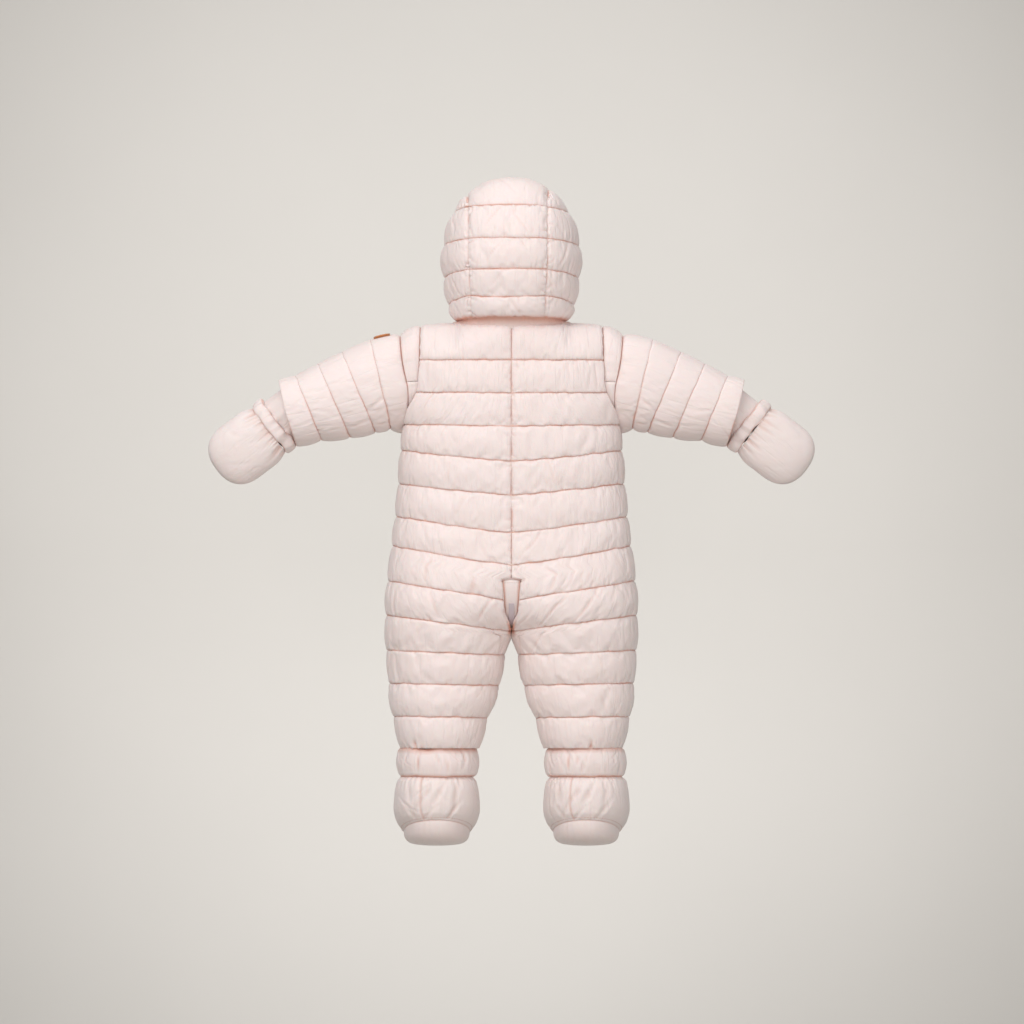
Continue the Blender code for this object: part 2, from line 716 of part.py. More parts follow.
def mitten_frame():
    """The mitten's wrist, the way it points, and the way across it in the XZ plane."""
    along = np.array([math.cos(MITTEN_SLOPE), 0.0, math.sin(MITTEN_SLOPE)])
    across = np.array([-math.sin(MITTEN_SLOPE), 0.0, math.cos(MITTEN_SLOPE)])
    return np.array(MITTEN_WRIST), along, across


def mitten_half(name, sign_y, sign_x, material):
    """The back or the palm of a mitten: half a pouch that closes along its edges and its tip."""
    wrist, along, across = mitten_frame()
    across_at = np.sin(np.linspace(-1, 1, 9) * math.pi / 2)
    along_at = np.array([0.0, 0.15, 0.4, 0.65, 0.84, 0.95, 1.0])
    base = np.zeros((len(along_at), len(across_at), 3))
    for r, v in enumerate(along_at):
        for c, u in enumerate(across_at):
            curve = max(1 - abs(u) ** MITTEN_TIP_SQUARE, 0) ** (1 / MITTEN_TIP_SQUARE)
            length = MITTEN_LENGTH - MITTEN_TIP * (1 - curve)
            spread = math.sin(min(v / MITTEN_WIDEST, 1.0) * math.pi / 2)
            width = MITTEN_HALF_WIDTH * (MITTEN_WRIST_SHARE + (1 - MITTEN_WRIST_SHARE) * spread)
            depth = MITTEN_HALF_DEPTH * math.sqrt(1 - abs(u) ** MITTEN_EDGE_SQUARE)
            depth *= math.sqrt(1 - v**MITTEN_END_SQUARE)
            point = wrist + along * (MITTEN_START + (length - MITTEN_START) * v) + across * width * u
            point[1] = max(depth, HALF_SEAM)
            base[r, c] = point
    normals = -grid_normals(base, False)
    flat_y = np.array([1.0, 0.0, 1.0])
    middle = wrist + along * (MITTEN_LENGTH - MITTEN_TIP)
    for r in range(len(along_at)):
        for c in range(len(across_at)):
            if base[r, c, 1] <= HALF_SEAM + 0.01:
                outward = (base[r, c] - middle) * flat_y
                outward -= along * min(float(outward @ along), 0.0)
                normals[r, c] = unit(outward)
    heights = np.zeros(base.shape[:2])
    wall(name, base, normals, heights, material, thick=WALL, signs=(sign_x, sign_y))


def mittens(side, sign_x, material):
    """Both halves of a mitten and the band folded over at its wrist."""
    wrist, along, across = mitten_frame()
    mitten_half(f"mitten_back_{side}", 1, sign_x, material)
    mitten_half(f"mitten_palm_{side}", -1, sign_x, material)
    half_width = MITTEN_HALF_WIDTH * MITTEN_WRIST_SHARE
    rings = [
        ring_points(wrist + along * s, across, half_width, MITTEN_HALF_DEPTH, CUFF_ROUND)
        for s in BAND["along"]
    ]
    ends = [0, len(rings) - 1]
    tube(f"mitten_band_{side}", rings, BAND["out"], BAND_THICK, material, (sign_x, 1), ends)


def sleeve_cuff(side, sign_x, material):
    """The plain inner cuff: it starts on the sleeve's lining, narrows and ends in the mitten."""
    wrist, along, across = mitten_frame()
    last = len(SLEEVE["top_x"]) - 1
    top = np.array([SLEEVE["top_x"][last], 0.0, SLEEVE["top_z"][last]])
    low = np.array([SLEEVE["low_x"][last], 0.0, SLEEVE["low_z"][last]])
    slope = unit(top - low)
    middle, half = (top + low) / 2, float(np.linalg.norm(top - low)) / 2
    inward = np.array([-slope[2], 0.0, slope[0]])
    depth = SLEEVE["half_depth"][last]
    inside = WALL + SEAM + SLEEVE_CUFF_CLEAR
    start = middle + inward * SLEEVE_HEM_GAP
    at, width, reach = CUFF_AT_HEM
    rings = [
        ring_points(start, slope, half - inside, depth - inside, CUFF_ROUND, SLEEVE_ROUND),
        ring_points(middle + inward * at, slope, width, reach, CUFF_ROUND),
    ]
    for at, width, reach in CUFF_AT_WRIST:
        rings.append(ring_points(wrist + along * at, across, width, reach, CUFF_ROUND))
    tube(f"sleeve_inner_cuff_{side}", rings, [0] * len(rings), PLAIN_WALL, material, (sign_x, 1))


# ---------------------------------------------------------------- hood and collar


def on_hood(point):
    """A point moved onto the hood's egg along its line from the middle."""
    middle = np.array(HOOD_MIDDLE)
    off = np.asarray(point, float) - middle
    tall = HOOD_UP if off[2] > 0 else HOOD_DOWN
    size = np.array([HOOD_HALF_WIDTH, HOOD_HALF_DEPTH, tall])
    return middle + off / float((np.abs(off / size) ** HOOD_SQUARE).sum()) ** (1 / HOOD_SQUARE)


def hood_way(point):
    """The way the hood's wall faces at a point on the egg."""
    off = np.asarray(point, float) - np.array(HOOD_MIDDLE)
    tall = HOOD_UP if off[2] > 0 else HOOD_DOWN
    size = np.array([HOOD_HALF_WIDTH, HOOD_HALF_DEPTH, tall])
    return unit(np.sign(off) * np.abs(off / size) ** (HOOD_SQUARE - 1) / size)


def hood_tucked(point):
    """A point of the egg drawn in towards the neck."""
    p = np.array(point, float)
    scale = smooth(HOOD_TUCK, "scale", "z", p[2])
    p[0] *= scale
    p[1] = HOOD_MIDDLE[1] + (p[1] - HOOD_MIDDLE[1]) * scale
    return p


def hood_seam_point(x, angle):
    """On the egg at an X, an angle up and over from the back."""
    reach = (1 - (abs(x) / HOOD_HALF_WIDTH) ** HOOD_SQUARE) ** (1 / HOOD_SQUARE)
    c, s = math.cos(angle), math.sin(angle)
    power = 2 / HOOD_SQUARE
    tall = HOOD_UP if s > 0 else HOOD_DOWN
    y = HOOD_MIDDLE[1] + HOOD_HALF_DEPTH * reach * math.copysign(abs(c) ** power, c)
    z = HOOD_MIDDLE[2] + tall * reach * math.copysign(abs(s) ** power, s)
    return np.array([x, y, z])


def hood_level_point(x, z, behind=True):
    """On the egg at an X and a height, at the back or at the front."""
    off = z - HOOD_MIDDLE[2]
    tall = HOOD_UP if off > 0 else HOOD_DOWN
    left = 1 - (abs(x) / HOOD_HALF_WIDTH) ** HOOD_SQUARE - (abs(off) / tall) ** HOOD_SQUARE
    y = HOOD_HALF_DEPTH * max(left, 0.0) ** (1 / HOOD_SQUARE)
    return np.array([x, HOOD_MIDDLE[1] + (y if behind else -y), z])


def hood_line_angle(line, x):
    """The angle of one of the centre panel's lines at an X."""
    share = min(abs(x - (HOOD_SEAM_LEFT + HOOD_SEAM_RIGHT) / 2) / HOOD_LINE_SPREAD, 1.0) ** 2
    back = len(HOOD_BACK["middle"])
    if line >= back:
        middle, seam = HOOD_CROWN["middle"][line - back], HOOD_CROWN["seam"][line - back]
        return math.radians(middle * (1 - share) + seam * share)
    z = HOOD_BACK["middle"][line] * (1 - share) + HOOD_BACK["seam"][line] * share
    off = z - HOOD_MIDDLE[2]
    reach = (1 - (abs(x) / HOOD_HALF_WIDTH) ** HOOD_SQUARE) ** (1 / HOOD_SQUARE)
    tall = HOOD_UP if off > 0 else HOOD_DOWN
    return math.copysign(math.asin((abs(off) / (tall * reach)) ** (HOOD_SQUARE / 2)), off)


def hood_finish(base, edge_row=None):
    """The grid drawn in at the neck, with its lower edge on the collar's plane."""
    done = np.array([[hood_tucked(p) for p in row] for row in base])
    if edge_row is not None:
        done[edge_row, :, 2] = HOOD_EDGE_Z + HOOD_EDGE_SLOPE * done[edge_row, :, 1] + HALF_SEAM
    return done


def hood_ways(base):
    """The way the wall faces at each point of a grid on the egg."""
    return np.array([[hood_way(p) for p in row] for row in base])


def hood_centre(material):
    """The middle panel, from the neck up over the crown to the forehead."""
    places = channel_rows(len(HOOD_BACK["middle"]) + len(HOOD_CROWN["middle"]) - 1)
    xs = (HOOD_SEAM_RIGHT + HOOD_HALF_SEAM, *HOOD_COLUMNS, HOOD_SEAM_LEFT - HOOD_HALF_SEAM)
    rows = []
    for channel, v in places:
        row = []
        for x in xs:
            angle = hood_line_angle(channel, x) * (1 - v) + hood_line_angle(channel + 1, x) * v
            row.append(hood_seam_point(x, angle))
        rows.append(row)
    egg = np.array(rows)
    ways = hood_ways(egg)
    ways[:, [0, -1], 0] = 0.0
    ways[0, :, 2] = 0.0
    base = hood_finish(egg, 0)
    heights = PUFF * np.outer(lift([v for c, v in places]), HOOD_LIFTS)
    wall("hood_centre", base, unit(ways), heights, material, keep=line_rows(places))


def hood_round_point(angle, z):
    """On the egg at a height, at an angle round from the wearer's left."""
    off = z - HOOD_MIDDLE[2]
    tall = HOOD_UP if off > 0 else HOOD_DOWN
    reach = 1 - (abs(off) / tall) ** HOOD_SQUARE
    x, y = math.cos(angle), math.sin(angle)
    now = (abs(x) / HOOD_HALF_WIDTH) ** HOOD_SQUARE + (abs(y) / HOOD_HALF_DEPTH) ** HOOD_SQUARE
    scale = (reach / now) ** (1 / HOOD_SQUARE)
    return np.array([x * scale, HOOD_MIDDLE[1] + y * scale, z])


def hood_side_row(line, columns, seam_x):
    """A side panel's row on the egg, from the seam round to the face opening."""
    i = int(line)
    f = line - i
    j = min(i + 1, len(HOOD_SIDE_LINES["side"]) - 1)
    back = HOOD_BACK["seam"][i] * (1 - f) + HOOD_BACK["seam"][j] * f
    side, front, edge_x = (column[i] * (1 - f) + column[j] * f for column in HOOD_SIDE_LINES.values())
    start = hood_level_point(seam_x, back)
    end = hood_level_point(edge_x, front, behind=False)
    first = math.atan2(start[1] - HOOD_MIDDLE[1], start[0])
    last = math.atan2(end[1] - HOOD_MIDDLE[1], end[0])
    row = []
    for u in columns:
        beyond = max((u - HOOD_SIDE_AT) / (1 - HOOD_SIDE_AT), 0) ** HOOD_FRONT_BEND
        z = back + (side - back) * min(u / HOOD_SIDE_AT, 1.0) + (front - side) * beyond
        row.append(hood_round_point(first + (last - first) * u, z))
    row[0], row[-1] = start, end
    return row


def hood_side(side, sign_x, material):
    """A side panel, from the neck up to the seam over the crown, and round to the face opening."""
    seam_x = HOOD_SEAM_LEFT if sign_x > 0 else -HOOD_SEAM_RIGHT
    columns = np.linspace(0, 1, 10)
    count = len(HOOD_SIDE_LINES["side"])
    places = channel_rows(count)
    crown_turn = math.radians(HOOD_CROWN["seam"][-1]) - HOOD_CROWN_START
    crown = [hood_seam_point(seam_x, HOOD_CROWN_START + crown_turn * u) for u in columns]
    top_line = hood_side_row(count - 1.0, columns, seam_x)
    rows = []
    for channel, v in places:
        if channel < count - 1:
            rows.append(hood_side_row(channel + v, columns, seam_x))
            continue
        row = [on_hood(a * (1 - v) + b * v) for a, b in zip(top_line, crown)]
        row[0] = on_seam(row[0], seam_x)
        rows.append(row)
    rows[-1] = crown
    egg = np.array(rows)
    ways = hood_ways(egg)
    ways[:, 0, 0] = 0.0
    ways[-1, :, 0] = 0.0
    ways[0, :, 2] = 0.0
    egg[:, 0, 0] += HOOD_HALF_SEAM
    egg[-1, 1:, 0] += HOOD_HALF_SEAM
    base = hood_finish(egg, 0)
    lifts = np.ones(len(columns))
    lifts[0] = HOOD_SEAM_LIFT
    lifts[-1] = 0.0
    heights = PUFF * np.outer(lift([v for c, v in places]), lifts)
    keep = line_rows(places)
    wall(f"hood_side_{side}", base, unit(ways), heights, material, keep=keep, signs=(sign_x, 1))


def on_seam(point, x):
    """The point of the seam's curve at an X that lies the same way from the hood's middle."""
    off = np.asarray(point, float) - np.array(HOOD_MIDDLE)
    reach = 1 - (abs(x) / HOOD_HALF_WIDTH) ** HOOD_SQUARE
    tall = HOOD_UP if off[2] > 0 else HOOD_DOWN
    now = (abs(off[1]) / HOOD_HALF_DEPTH) ** HOOD_SQUARE + (abs(off[2]) / tall) ** HOOD_SQUARE
    scale = (reach / now) ** (1 / HOOD_SQUARE)
    return np.array([x, HOOD_MIDDLE[1] + off[1] * scale, HOOD_MIDDLE[2] + off[2] * scale])


def collar(material):
    """The neck band, open at the front for the zip. Its foot stands inside the neck seam and its
    top meets the hood's lower edge."""
    start = math.asin(ZIP_HALF_GAP / GAP_RADIUS)
    turns = np.linspace(-math.pi / 2 + start, 1.5 * math.pi - start, COLLAR_COLUMNS)
    rows = []
    for share in COLLAR_ROWS:
        row = []
        for turn in turns:
            c, s = math.cos(turn), math.sin(turn)
            neck_y, neck_z = NECK_BACK if s > 0 else NECK_FRONT
            foot_z = NECK_SHOULDER[1] + (neck_z - NECK_SHOULDER[1]) * abs(s) - COLLAR_DROP
            foot_x = (NECK_SHOULDER[0] - COLLAR_IN_SIDE) * c
            foot = np.array([foot_x, (neck_y - COLLAR_IN_DEPTH) * s, foot_z])
            head = hood_tucked(hood_ring_point(turn))
            head[2] = HOOD_EDGE_Z + HOOD_EDGE_SLOPE * head[1] - HALF_SEAM
            bow = share**COLLAR_BOW
            row.append(foot + (head - foot) * np.array([bow, bow, share]))
        rows.append(row)
    base = np.array(rows)
    base[:, 0, 0] = ZIP_HALF_GAP
    base[:, -1, 0] = -ZIP_HALF_GAP
    normals = -grid_normals(base, False)
    flat = np.array([1.0, 1.0, 0.0])
    normals[-1] = unit(normals[-1] * flat)
    normals[0] = unit(normals[0] * flat)
    normals[:, [0, -1], 0] = 0.0
    normals = unit(normals)
    wall("collar", base, normals, np.zeros(base.shape[:2]), material, thick=PLAIN_WALL)


def hood_ring_point(turn):
    """The egg at the height of the hood's lower edge, at an angle round from the wearer's left."""
    off = abs(HOOD_EDGE_Z - HOOD_MIDDLE[2]) / HOOD_DOWN
    reach = (1 - off**HOOD_SQUARE) ** (1 / HOOD_SQUARE)
    c, s = math.cos(turn), math.sin(turn)
    power = 2 / HOOD_SQUARE
    x = HOOD_HALF_WIDTH * reach * math.copysign(abs(c) ** power, c)
    y = HOOD_MIDDLE[1] + HOOD_HALF_DEPTH * reach * math.copysign(abs(s) ** power, s)
    return np.array([x, y, HOOD_EDGE_Z])


# ---------------------------------------------------------------- gusset


def gusset(material, tab_material):
    """The strip from the back, under the crotch, to the front, with a small plain tab on it."""
    back = body_base(False)[GUSSET_ROW : CROTCH_ROW + 1, 0]
    front = body_base(True)[GUSSET_ROW:CROTCH_ROW, 0][::-1] * np.array([1.0, -1.0, 1.0])
    path = np.concatenate([back, front])
    rows = []
    for x, y, z in path:
        half = x - SEAM
        rows.append([(s * half, y, z) for s in (-1.0, 0.0, 1.0)])
    base = np.array(rows)
    base[[0, -1], :, 2] -= HALF_SEAM
    normals = -grid_normals(base, False)
    normals[:, :, 0] = 0.0
    normals = unit(normals)
    wall("gusset", base, normals, np.zeros(base.shape[:2]), material)
    at = len(back) - TAB_ROW
    spot = base[at, 1] + normals[at, 1] * (SEAM + TAB_CLEAR + TAB_THICK)
    down = unit(base[at + 1, 1] - base[at, 1]) * TAB_HALF_LENGTH
    aside = np.array([TAB_HALF_WIDTH, 0.0, 0.0])
    tab = np.array([[spot + down * d + aside * s for s in (-1, 1)] for d in (-1, 1)])
    facing = np.tile(normals[at, 1], (2, 2, 1))
    wall("gusset_tab", tab, facing, np.zeros((2, 2)), tab_material, thick=TAB_THICK)


# ---------------------------------------------------------------- ankles and feet


def ankle_cuff(side, sign_x, material):
    """The plain inner cuff that hangs from inside the leg's hem into the bootie."""
    top = HEM_Z + ANKLE_TOP
    leg_x = smooth(BODY, "middle", "z", top)
    inside = WALL + SEAM + ANKLE_CLEAR
    reach = smooth(BODY, "half_width", "z", top) - leg_x - inside
    depth = smooth(BODY, "half_depth", "z", top) - inside
    neck = (CUFF_HALF_WIDTH - ANKLE_NECK_INSET, CUFF_HALF_DEPTH - ANKLE_NECK_INSET)
    low = (CUFF_HALF_WIDTH - ANKLE_INSET, CUFF_HALF_DEPTH - ANKLE_INSET)
    rows = (
        (top, leg_x, reach, depth),
        (HEM_Z + 1.0, BOOTIE_X - 2.0, *neck),
        (CUFF_TOP_Z - 7.0, BOOTIE_X - 1.0, *low),
        (CUFF_LOW_Z + 4.0, BOOTIE_X - 1.0, *low),
    )
    rings = [ring_points((x, 0.0, z), (1.0, 0.0, 0.0), w, d, CUFF_ROUND) for z, x, w, d in rows]
    tube(f"ankle_cuff_{side}", rings, [0] * len(rings), PLAIN_WALL, material, (sign_x, 1))


def bootie_cuff(side, sign_x, material):
    """The turned-up cuff at the top of the bootie, full and rounded over a plain inside."""
    tall = CUFF_TOP_Z - CUFF_LOW_Z
    reach, depth = CUFF_HALF_WIDTH - CUFF_INSET, CUFF_HALF_DEPTH - CUFF_INSET
    rings = []
    for at in CUFF_ROLL["at"]:
        middle = (BOOTIE_X - 1.0, 0.0, CUFF_TOP_Z - tall * at)
        rings.append(ring_points(middle, (1.0, 0.0, 0.0), reach, depth, FOOT_ROUND))
    ends = [0, len(rings) - 1]
    tube(f"bootie_cuff_{side}", rings, CUFF_ROLL["out"], CUFF_THICK, material, (sign_x, 1), ends)


def sole_height(y):
    """The height of the sole's seam, whose plane falls from the heel to the toe."""
    share = (y - SOLE_HEEL[0]) / (SOLE_TOE[0] - SOLE_HEEL[0])
    return SOLE_HEEL[1] + (SOLE_TOE[1] - SOLE_HEEL[1]) * share


def foot_ring(down):
    """A ring of the bootie, from the ankle at 0 to the sole's seam at 1."""
    half = smooth(BOOTIE, "half_width", "down", down)
    back = smooth(BOOTIE, "back", "down", down)
    front = smooth(BOOTIE, "front", "down", down)
    middle, depth = (back + front) / 2, (back - front) / 2
    ring = ring_points((BOOTIE_X, middle, 0.0), (1.0, 0.0, 0.0), half, depth, FOOT_ROUND, BOOTIE_SQUARE)
    top = CUFF_LOW_Z - SEAM
    ring[:, 2] = [top * (1 - down) + sole_height(p[1]) * down for p in ring]
    return ring


def bootie_upper(side, sign_x, material):
    """The bootie from its cuff down to the sole's seam."""
    base = np.array([foot_ring(d) for d in BOOTIE_ROWS])
    normals = grid_normals(base, True)
    flat = np.array([1.0, 1.0, 0.0])
    normals[0] = unit(normals[0] * flat)
    normals[-1] = unit(normals[-1] * flat)
    tilt = (SOLE_TOE[1] - SOLE_HEEL[1]) / (SOLE_TOE[0] - SOLE_HEEL[0])
    normals[-1, :, 2] = normals[-1, :, 1] * tilt
    heights = np.zeros(base.shape[:2])
    wall(
        f"bootie_upper_{side}",
        base,
        normals,
        heights,
        material,
        keep=BOOTIE_KEEP,
        round_it=True,
        signs=(sign_x, 1),
    )


def bootie_sole(side, sign_x, material):
    """The padded sole: flat above, under the upper's edge, and rounded below."""
    edge = foot_ring(1.0)
    middle = edge.mean(axis=0)
    points = [middle + (edge - middle) * s + np.array([0, 0, z - SEAM]) for s, z in SOLE_LAYERS]
    faces = []
    n = len(edge)
    for k in range(len(points) - 1):
        for i in range(n):
            j = (i + 1) % n
            faces.append((k * n + i, k * n + j, (k + 1) * n + j, (k + 1) * n + i))
    faces.append(tuple(range(n)))
    faces.append(tuple(range((len(points) - 1) * n, len(points) * n)))
    add_object(f"bootie_sole_{side}", np.concatenate(points), faces, material, sign_x, 1)


# ---------------------------------------------------------------- zip


def front_depth(z):
    """How far in front of the middle the front panels' base lies beside the zip."""
    top_y, top_z = NECK_FRONT
    line_z = LINES["centre"][1]
    low = min(z, line_z)
    depth = float(section_point(section_angle(ZIP_HALF_GAP, low), low, True)[1])
    share = np.clip((z - top_z) / (line_z - top_z), 0, 1)
    return top_y + (depth - top_y) * math.sin(share * math.pi / 2)


def collar_depth(z):
    """How far in front of the middle the collar lies beside the zip, from its foot up."""
    foot_y, foot_z = NECK_FRONT[0] - COLLAR_IN_DEPTH, NECK_FRONT[1] - COLLAR_DROP
    head = hood_tucked(hood_ring_point(-math.pi / 2))
    head_z = HOOD_EDGE_Z + HOOD_EDGE_SLOPE * head[1]
    share = np.clip((z - foot_z) / (head_z - foot_z), 0, 1)
    return foot_y + (-head[1] - foot_y) * share**COLLAR_BOW


def tape_depth(z):
    """The depth of the tape's outer face: inside the collar above, inside the front below."""
    below = front_depth(min(z, NECK_FRONT[1])) - WALL - SEAM - TAPE_CLEAR
    above = collar_depth(max(z, NECK_FRONT[1] - COLLAR_DROP)) - PLAIN_WALL - SEAM - TAPE_CLEAR
    if z >= TAPE_BEND_TOP_Z:
        return above
    share = np.clip((z - TAPE_BEND_LOW_Z) / (TAPE_BEND_TOP_Z - TAPE_BEND_LOW_Z), 0, 1)
    return below + (min(above, below) - below) * share


def zip_tape(side, sign_x, material):
    """One side's tape, inside the front panel's edge and up inside the collar."""
    heights = [ZIP_TOP_Z, -5.0, TAPE_BEND_TOP_Z, *LINES["centre"][1:7], ZIP_END_Z]
    rows = []
    for z in heights:
        y = tape_depth(z)
        rows.append([(HALF_SEAM, y, z), (ZIP_HALF_GAP, y, z), (TAPE_WIDTH, y - TAPE_LEAN, z)])
    base = np.array(rows)
    facing = np.tile(np.array([0.0, 1.0, 0.0]), (len(rows), 3, 1))
    flat = np.zeros(base.shape[:2])
    wall(f"zip_tape_{side}", base, facing, flat, material, thick=TAPE_THICK, signs=(sign_x, -1))


def box(name, low, high, material):
    """A box between two corners in millimetres."""
    low, high = np.array(low, float), np.array(high, float)
    bpy.ops.mesh.primitive_cube_add(size=1.0, location=tuple((low + high) / 2 * MM))
    made = bpy.context.object
    made.name = name
    made.scale = tuple((high - low) * MM)
    bpy.ops.object.transform_apply(location=False, rotation=False, scale=True)
    for other in list(made.users_collection):
        other.objects.unlink(made)
    bpy.data.collections["snowsuit"].objects.link(made)
    made.data.materials.append(material)
    return made


def as_tool(thing):
    """Makes an object a cutter or a shape that another one takes in."""
    bpy.data.collections["snowsuit"].objects.unlink(thing)
    bpy.data.collections["snowsuit_cutters"].objects.link(thing)
    thing.hide_render = True
    thing.display_type = "WIRE"


def combine(thing, other, way):
    """Joins another shape to an object or cuts it out, and keeps that shape as a tool."""
    step = thing.modifiers.new(way.lower(), "BOOLEAN")
    step.operation = way
    step.solver = "EXACT"
    step.object = other
    as_tool(other)


def slider_depths():
    """Y of the slider's back and front faces and of the pull's axis."""
    deepest = max(tape_depth(SLIDER_TOP_Z), tape_depth(SLIDER_TOP_Z - SLIDER_HEIGHT))
    back = -(deepest + SEAM + SLIDER_CLEAR)
    front = back - SLIDER_DEPTH
    return back, front, front - BRIDGE_REACH + AXIS_IN


def zip_slider(material):
    """The slider with the bridge that holds its pull."""
    back, front, _ = slider_depths()
    half, bottom = SLIDER_WIDTH / 2, SLIDER_TOP_Z - SLIDER_HEIGHT
    low, high = bottom + SLIDER_END, SLIDER_TOP_Z - SLIDER_END
    body = box("zip_slider", (-half, front, bottom), (half, back, SLIDER_TOP_Z), material)
    neck = box(
        "slider_neck",
        (-SLIDER_NECK_HALF, back - SLIDER_BITE, low),
        (SLIDER_NECK_HALF, back + SLIDER_NECK_REACH, high),
        material,
    )
    combine(body, neck, "UNION")
    bridge = box(
        "slider_bridge",
        (-BRIDGE_THICK / 2, front - BRIDGE_REACH, low),
        (BRIDGE_THICK / 2, front + SLIDER_BITE, high),
        material,
    )
    hole = box(
        "slider_bridge_hole",
        (-BRIDGE_THICK, front - BRIDGE_REACH + BRIDGE_ROOF, low + BRIDGE_LEG),
        (BRIDGE_THICK, front, high - BRIDGE_LEG),
        material,
    )
    combine(bridge, hole, "DIFFERENCE")
    combine(body, bridge, "UNION")


def pull_axis():
    """Y and Z of the axis on which the pull turns, and how far the hanging pull leans outwards."""
    _, _, axis_y = slider_depths()
    axis_z = SLIDER_TOP_Z - SLIDER_HEIGHT / 2 - AXIS_LOW
    tip = tape_depth(axis_z - PULL_LENGTH) + PULL_CLEAR
    return axis_y, axis_z, math.atan2(tip + axis_y, PULL_LENGTH)


def zip_pull(material):
    """The pull: a plate with a slot, whose top bar passes under the slider's bridge."""
    axis_y, axis_z, tilt = pull_axis()
    pivot = bpy.data.objects.new("pull_pivot", None)
    pivot.location = (0.0, axis_y * MM, axis_z * MM)
    pivot.rotation_euler.x = -tilt
    bpy.data.collections["snowsuit"].objects.link(pivot)
    half, thick = PULL_WIDTH / 2, PULL_THICK / 2
    plate = box("zip_pull", (-half, -thick, -PULL_LENGTH), (half, thick, PULL_BAR), material)
    slot = box(
        "pull_slot",
        (PULL_SIDE - half, -thick - PULL_THROUGH, -PULL_SLOT),
        (half - PULL_SIDE, thick + PULL_THROUGH, -PULL_BAR),
        material,
    )
    combine(plate, slot, "DIFFERENCE")
    plate.parent = pivot
    slot.parent = pivot


def build():
    clear_scene()
    for name in ("snowsuit", "snowsuit_cutters"):
        bpy.context.scene.collection.children.link(bpy.data.collections.new(name))
    quilted = named_material("quilted cloth", PINK, 0.55)
    plain = named_material("plain cloth", PINK_PLAIN, 0.6)
    grey = named_material("lilac tape", LILAC_GREY, 0.7)
    leather = named_material("leather", LEATHER, 0.5)
    metal = named_material("zip metal", METAL, 0.3, 1.0)
    for side, sign in SIDES:
        body_panel(f"back_{side}", False, (sign, 1), quilted)
        body_panel(f"front_{side}", True, (sign, -1), quilted)
        shoulder_strips(side, sign, quilted)
        sleeve(side, sign, quilted)
        sleeve_cuff(side, sign, plain)
        mittens(side, sign, quilted)
        hood_side(side, sign, quilted)
        ankle_cuff(side, sign, plain)
        bootie_cuff(side, sign, quilted)
        bootie_upper(side, sign, quilted)
        bootie_sole(side, sign, plain)
        zip_tape(side, sign, grey)
    hood_centre(quilted)
    collar(plain)
    gusset(plain, grey)
    leather_patch(leather)
    zip_slider(metal)
    zip_pull(metal)


build()
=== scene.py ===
"""The looks of a baby snowsuit: quilted, down-filled nylon on a hollow, filled-out garment.

Every cut piece is made again on its solid's form, with a finer outer face. The down is settled by
Blender's cloth between the quilting lines, and then come the puckers, creases, stitches and zip
teeth. Lengths are millimetres until a mesh is made, and the wearer's left is +X. The back faces +Y.
"""

import math

import bmesh
import bpy
import numpy as np
from mathutils import Matrix, Vector


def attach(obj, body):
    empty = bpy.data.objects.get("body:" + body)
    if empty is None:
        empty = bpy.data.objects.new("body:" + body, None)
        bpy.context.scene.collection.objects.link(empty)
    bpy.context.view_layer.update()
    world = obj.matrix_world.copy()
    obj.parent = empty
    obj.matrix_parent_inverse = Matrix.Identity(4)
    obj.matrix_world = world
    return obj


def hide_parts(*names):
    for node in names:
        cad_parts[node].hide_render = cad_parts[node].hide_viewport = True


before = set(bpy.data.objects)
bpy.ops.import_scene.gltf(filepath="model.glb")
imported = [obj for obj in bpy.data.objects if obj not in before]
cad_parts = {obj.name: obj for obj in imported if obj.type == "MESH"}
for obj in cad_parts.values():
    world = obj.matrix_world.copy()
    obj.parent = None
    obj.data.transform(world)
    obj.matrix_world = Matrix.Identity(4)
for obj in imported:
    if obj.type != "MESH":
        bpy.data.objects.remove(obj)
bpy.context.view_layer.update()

bl_info = {
    "name": "Quilted baby snowsuit",
    "version": (1, 0, 0),
    "blender": (4, 5, 0),
    "location": "3D View > Sidebar > Snowsuit",
    "description": "Builds the cloth, stitching and zip of a down-filled baby snowsuit",
    "category": "Add Mesh",
}

MM = 0.001
SUIT = "suit"
PULL = "pull"
SIDES = (("left", 1), ("right", -1))
FLAT_X = np.array([0.0, 1.0, 1.0])
FLAT_Y = np.array([1.0, 0.0, 1.0])
FLAT_Z = np.array([1.0, 1.0, 0.0])

# Cloth.
WALL = 2.4
PLAIN_WALL = 1.6
SEAM = 0.3
HALF_SEAM = SEAM / 2

# Rows in a channel and the pitch of the columns before the last refinement.
CHANNEL_ROWS = 10
COLUMN_PITCH = 4.2

# Heights that several pieces share.
SHOULDER_Z = 8.0
NECK_SHOULDER = (64.0, 11.0)
NECK_BACK = (55.0, 9.0)
NECK_FRONT = (55.0, -14.0)
NECK_AT = 0.5
UNDERARM_Z = -110.6
GUSSET_TOP_Z = -280.0
CROTCH_Z = -346.0
ZIP_END_Z = -264.0
ZIP_HALF_GAP = 5.0
HEM_Z = -475.0
SHARP_ANGLE = math.radians(60)

# Down and stitching.
PUFF = 6.5
HOOD_PUFF = 5.4
LINE_SHARE = 0.36  # how far the stitched lines come out, as a share of the crests' height
SIDE_LIFT = 0.45
LINE_WAVE = 0.5
LUMP = 0.08
PUCKER_SPACING = 11.0
SETTLE_FRAMES = 20
SETTLE_CAP = 4.0
WEAVE_SCALE = 780.0
TOOTH_PITCH = 3.2

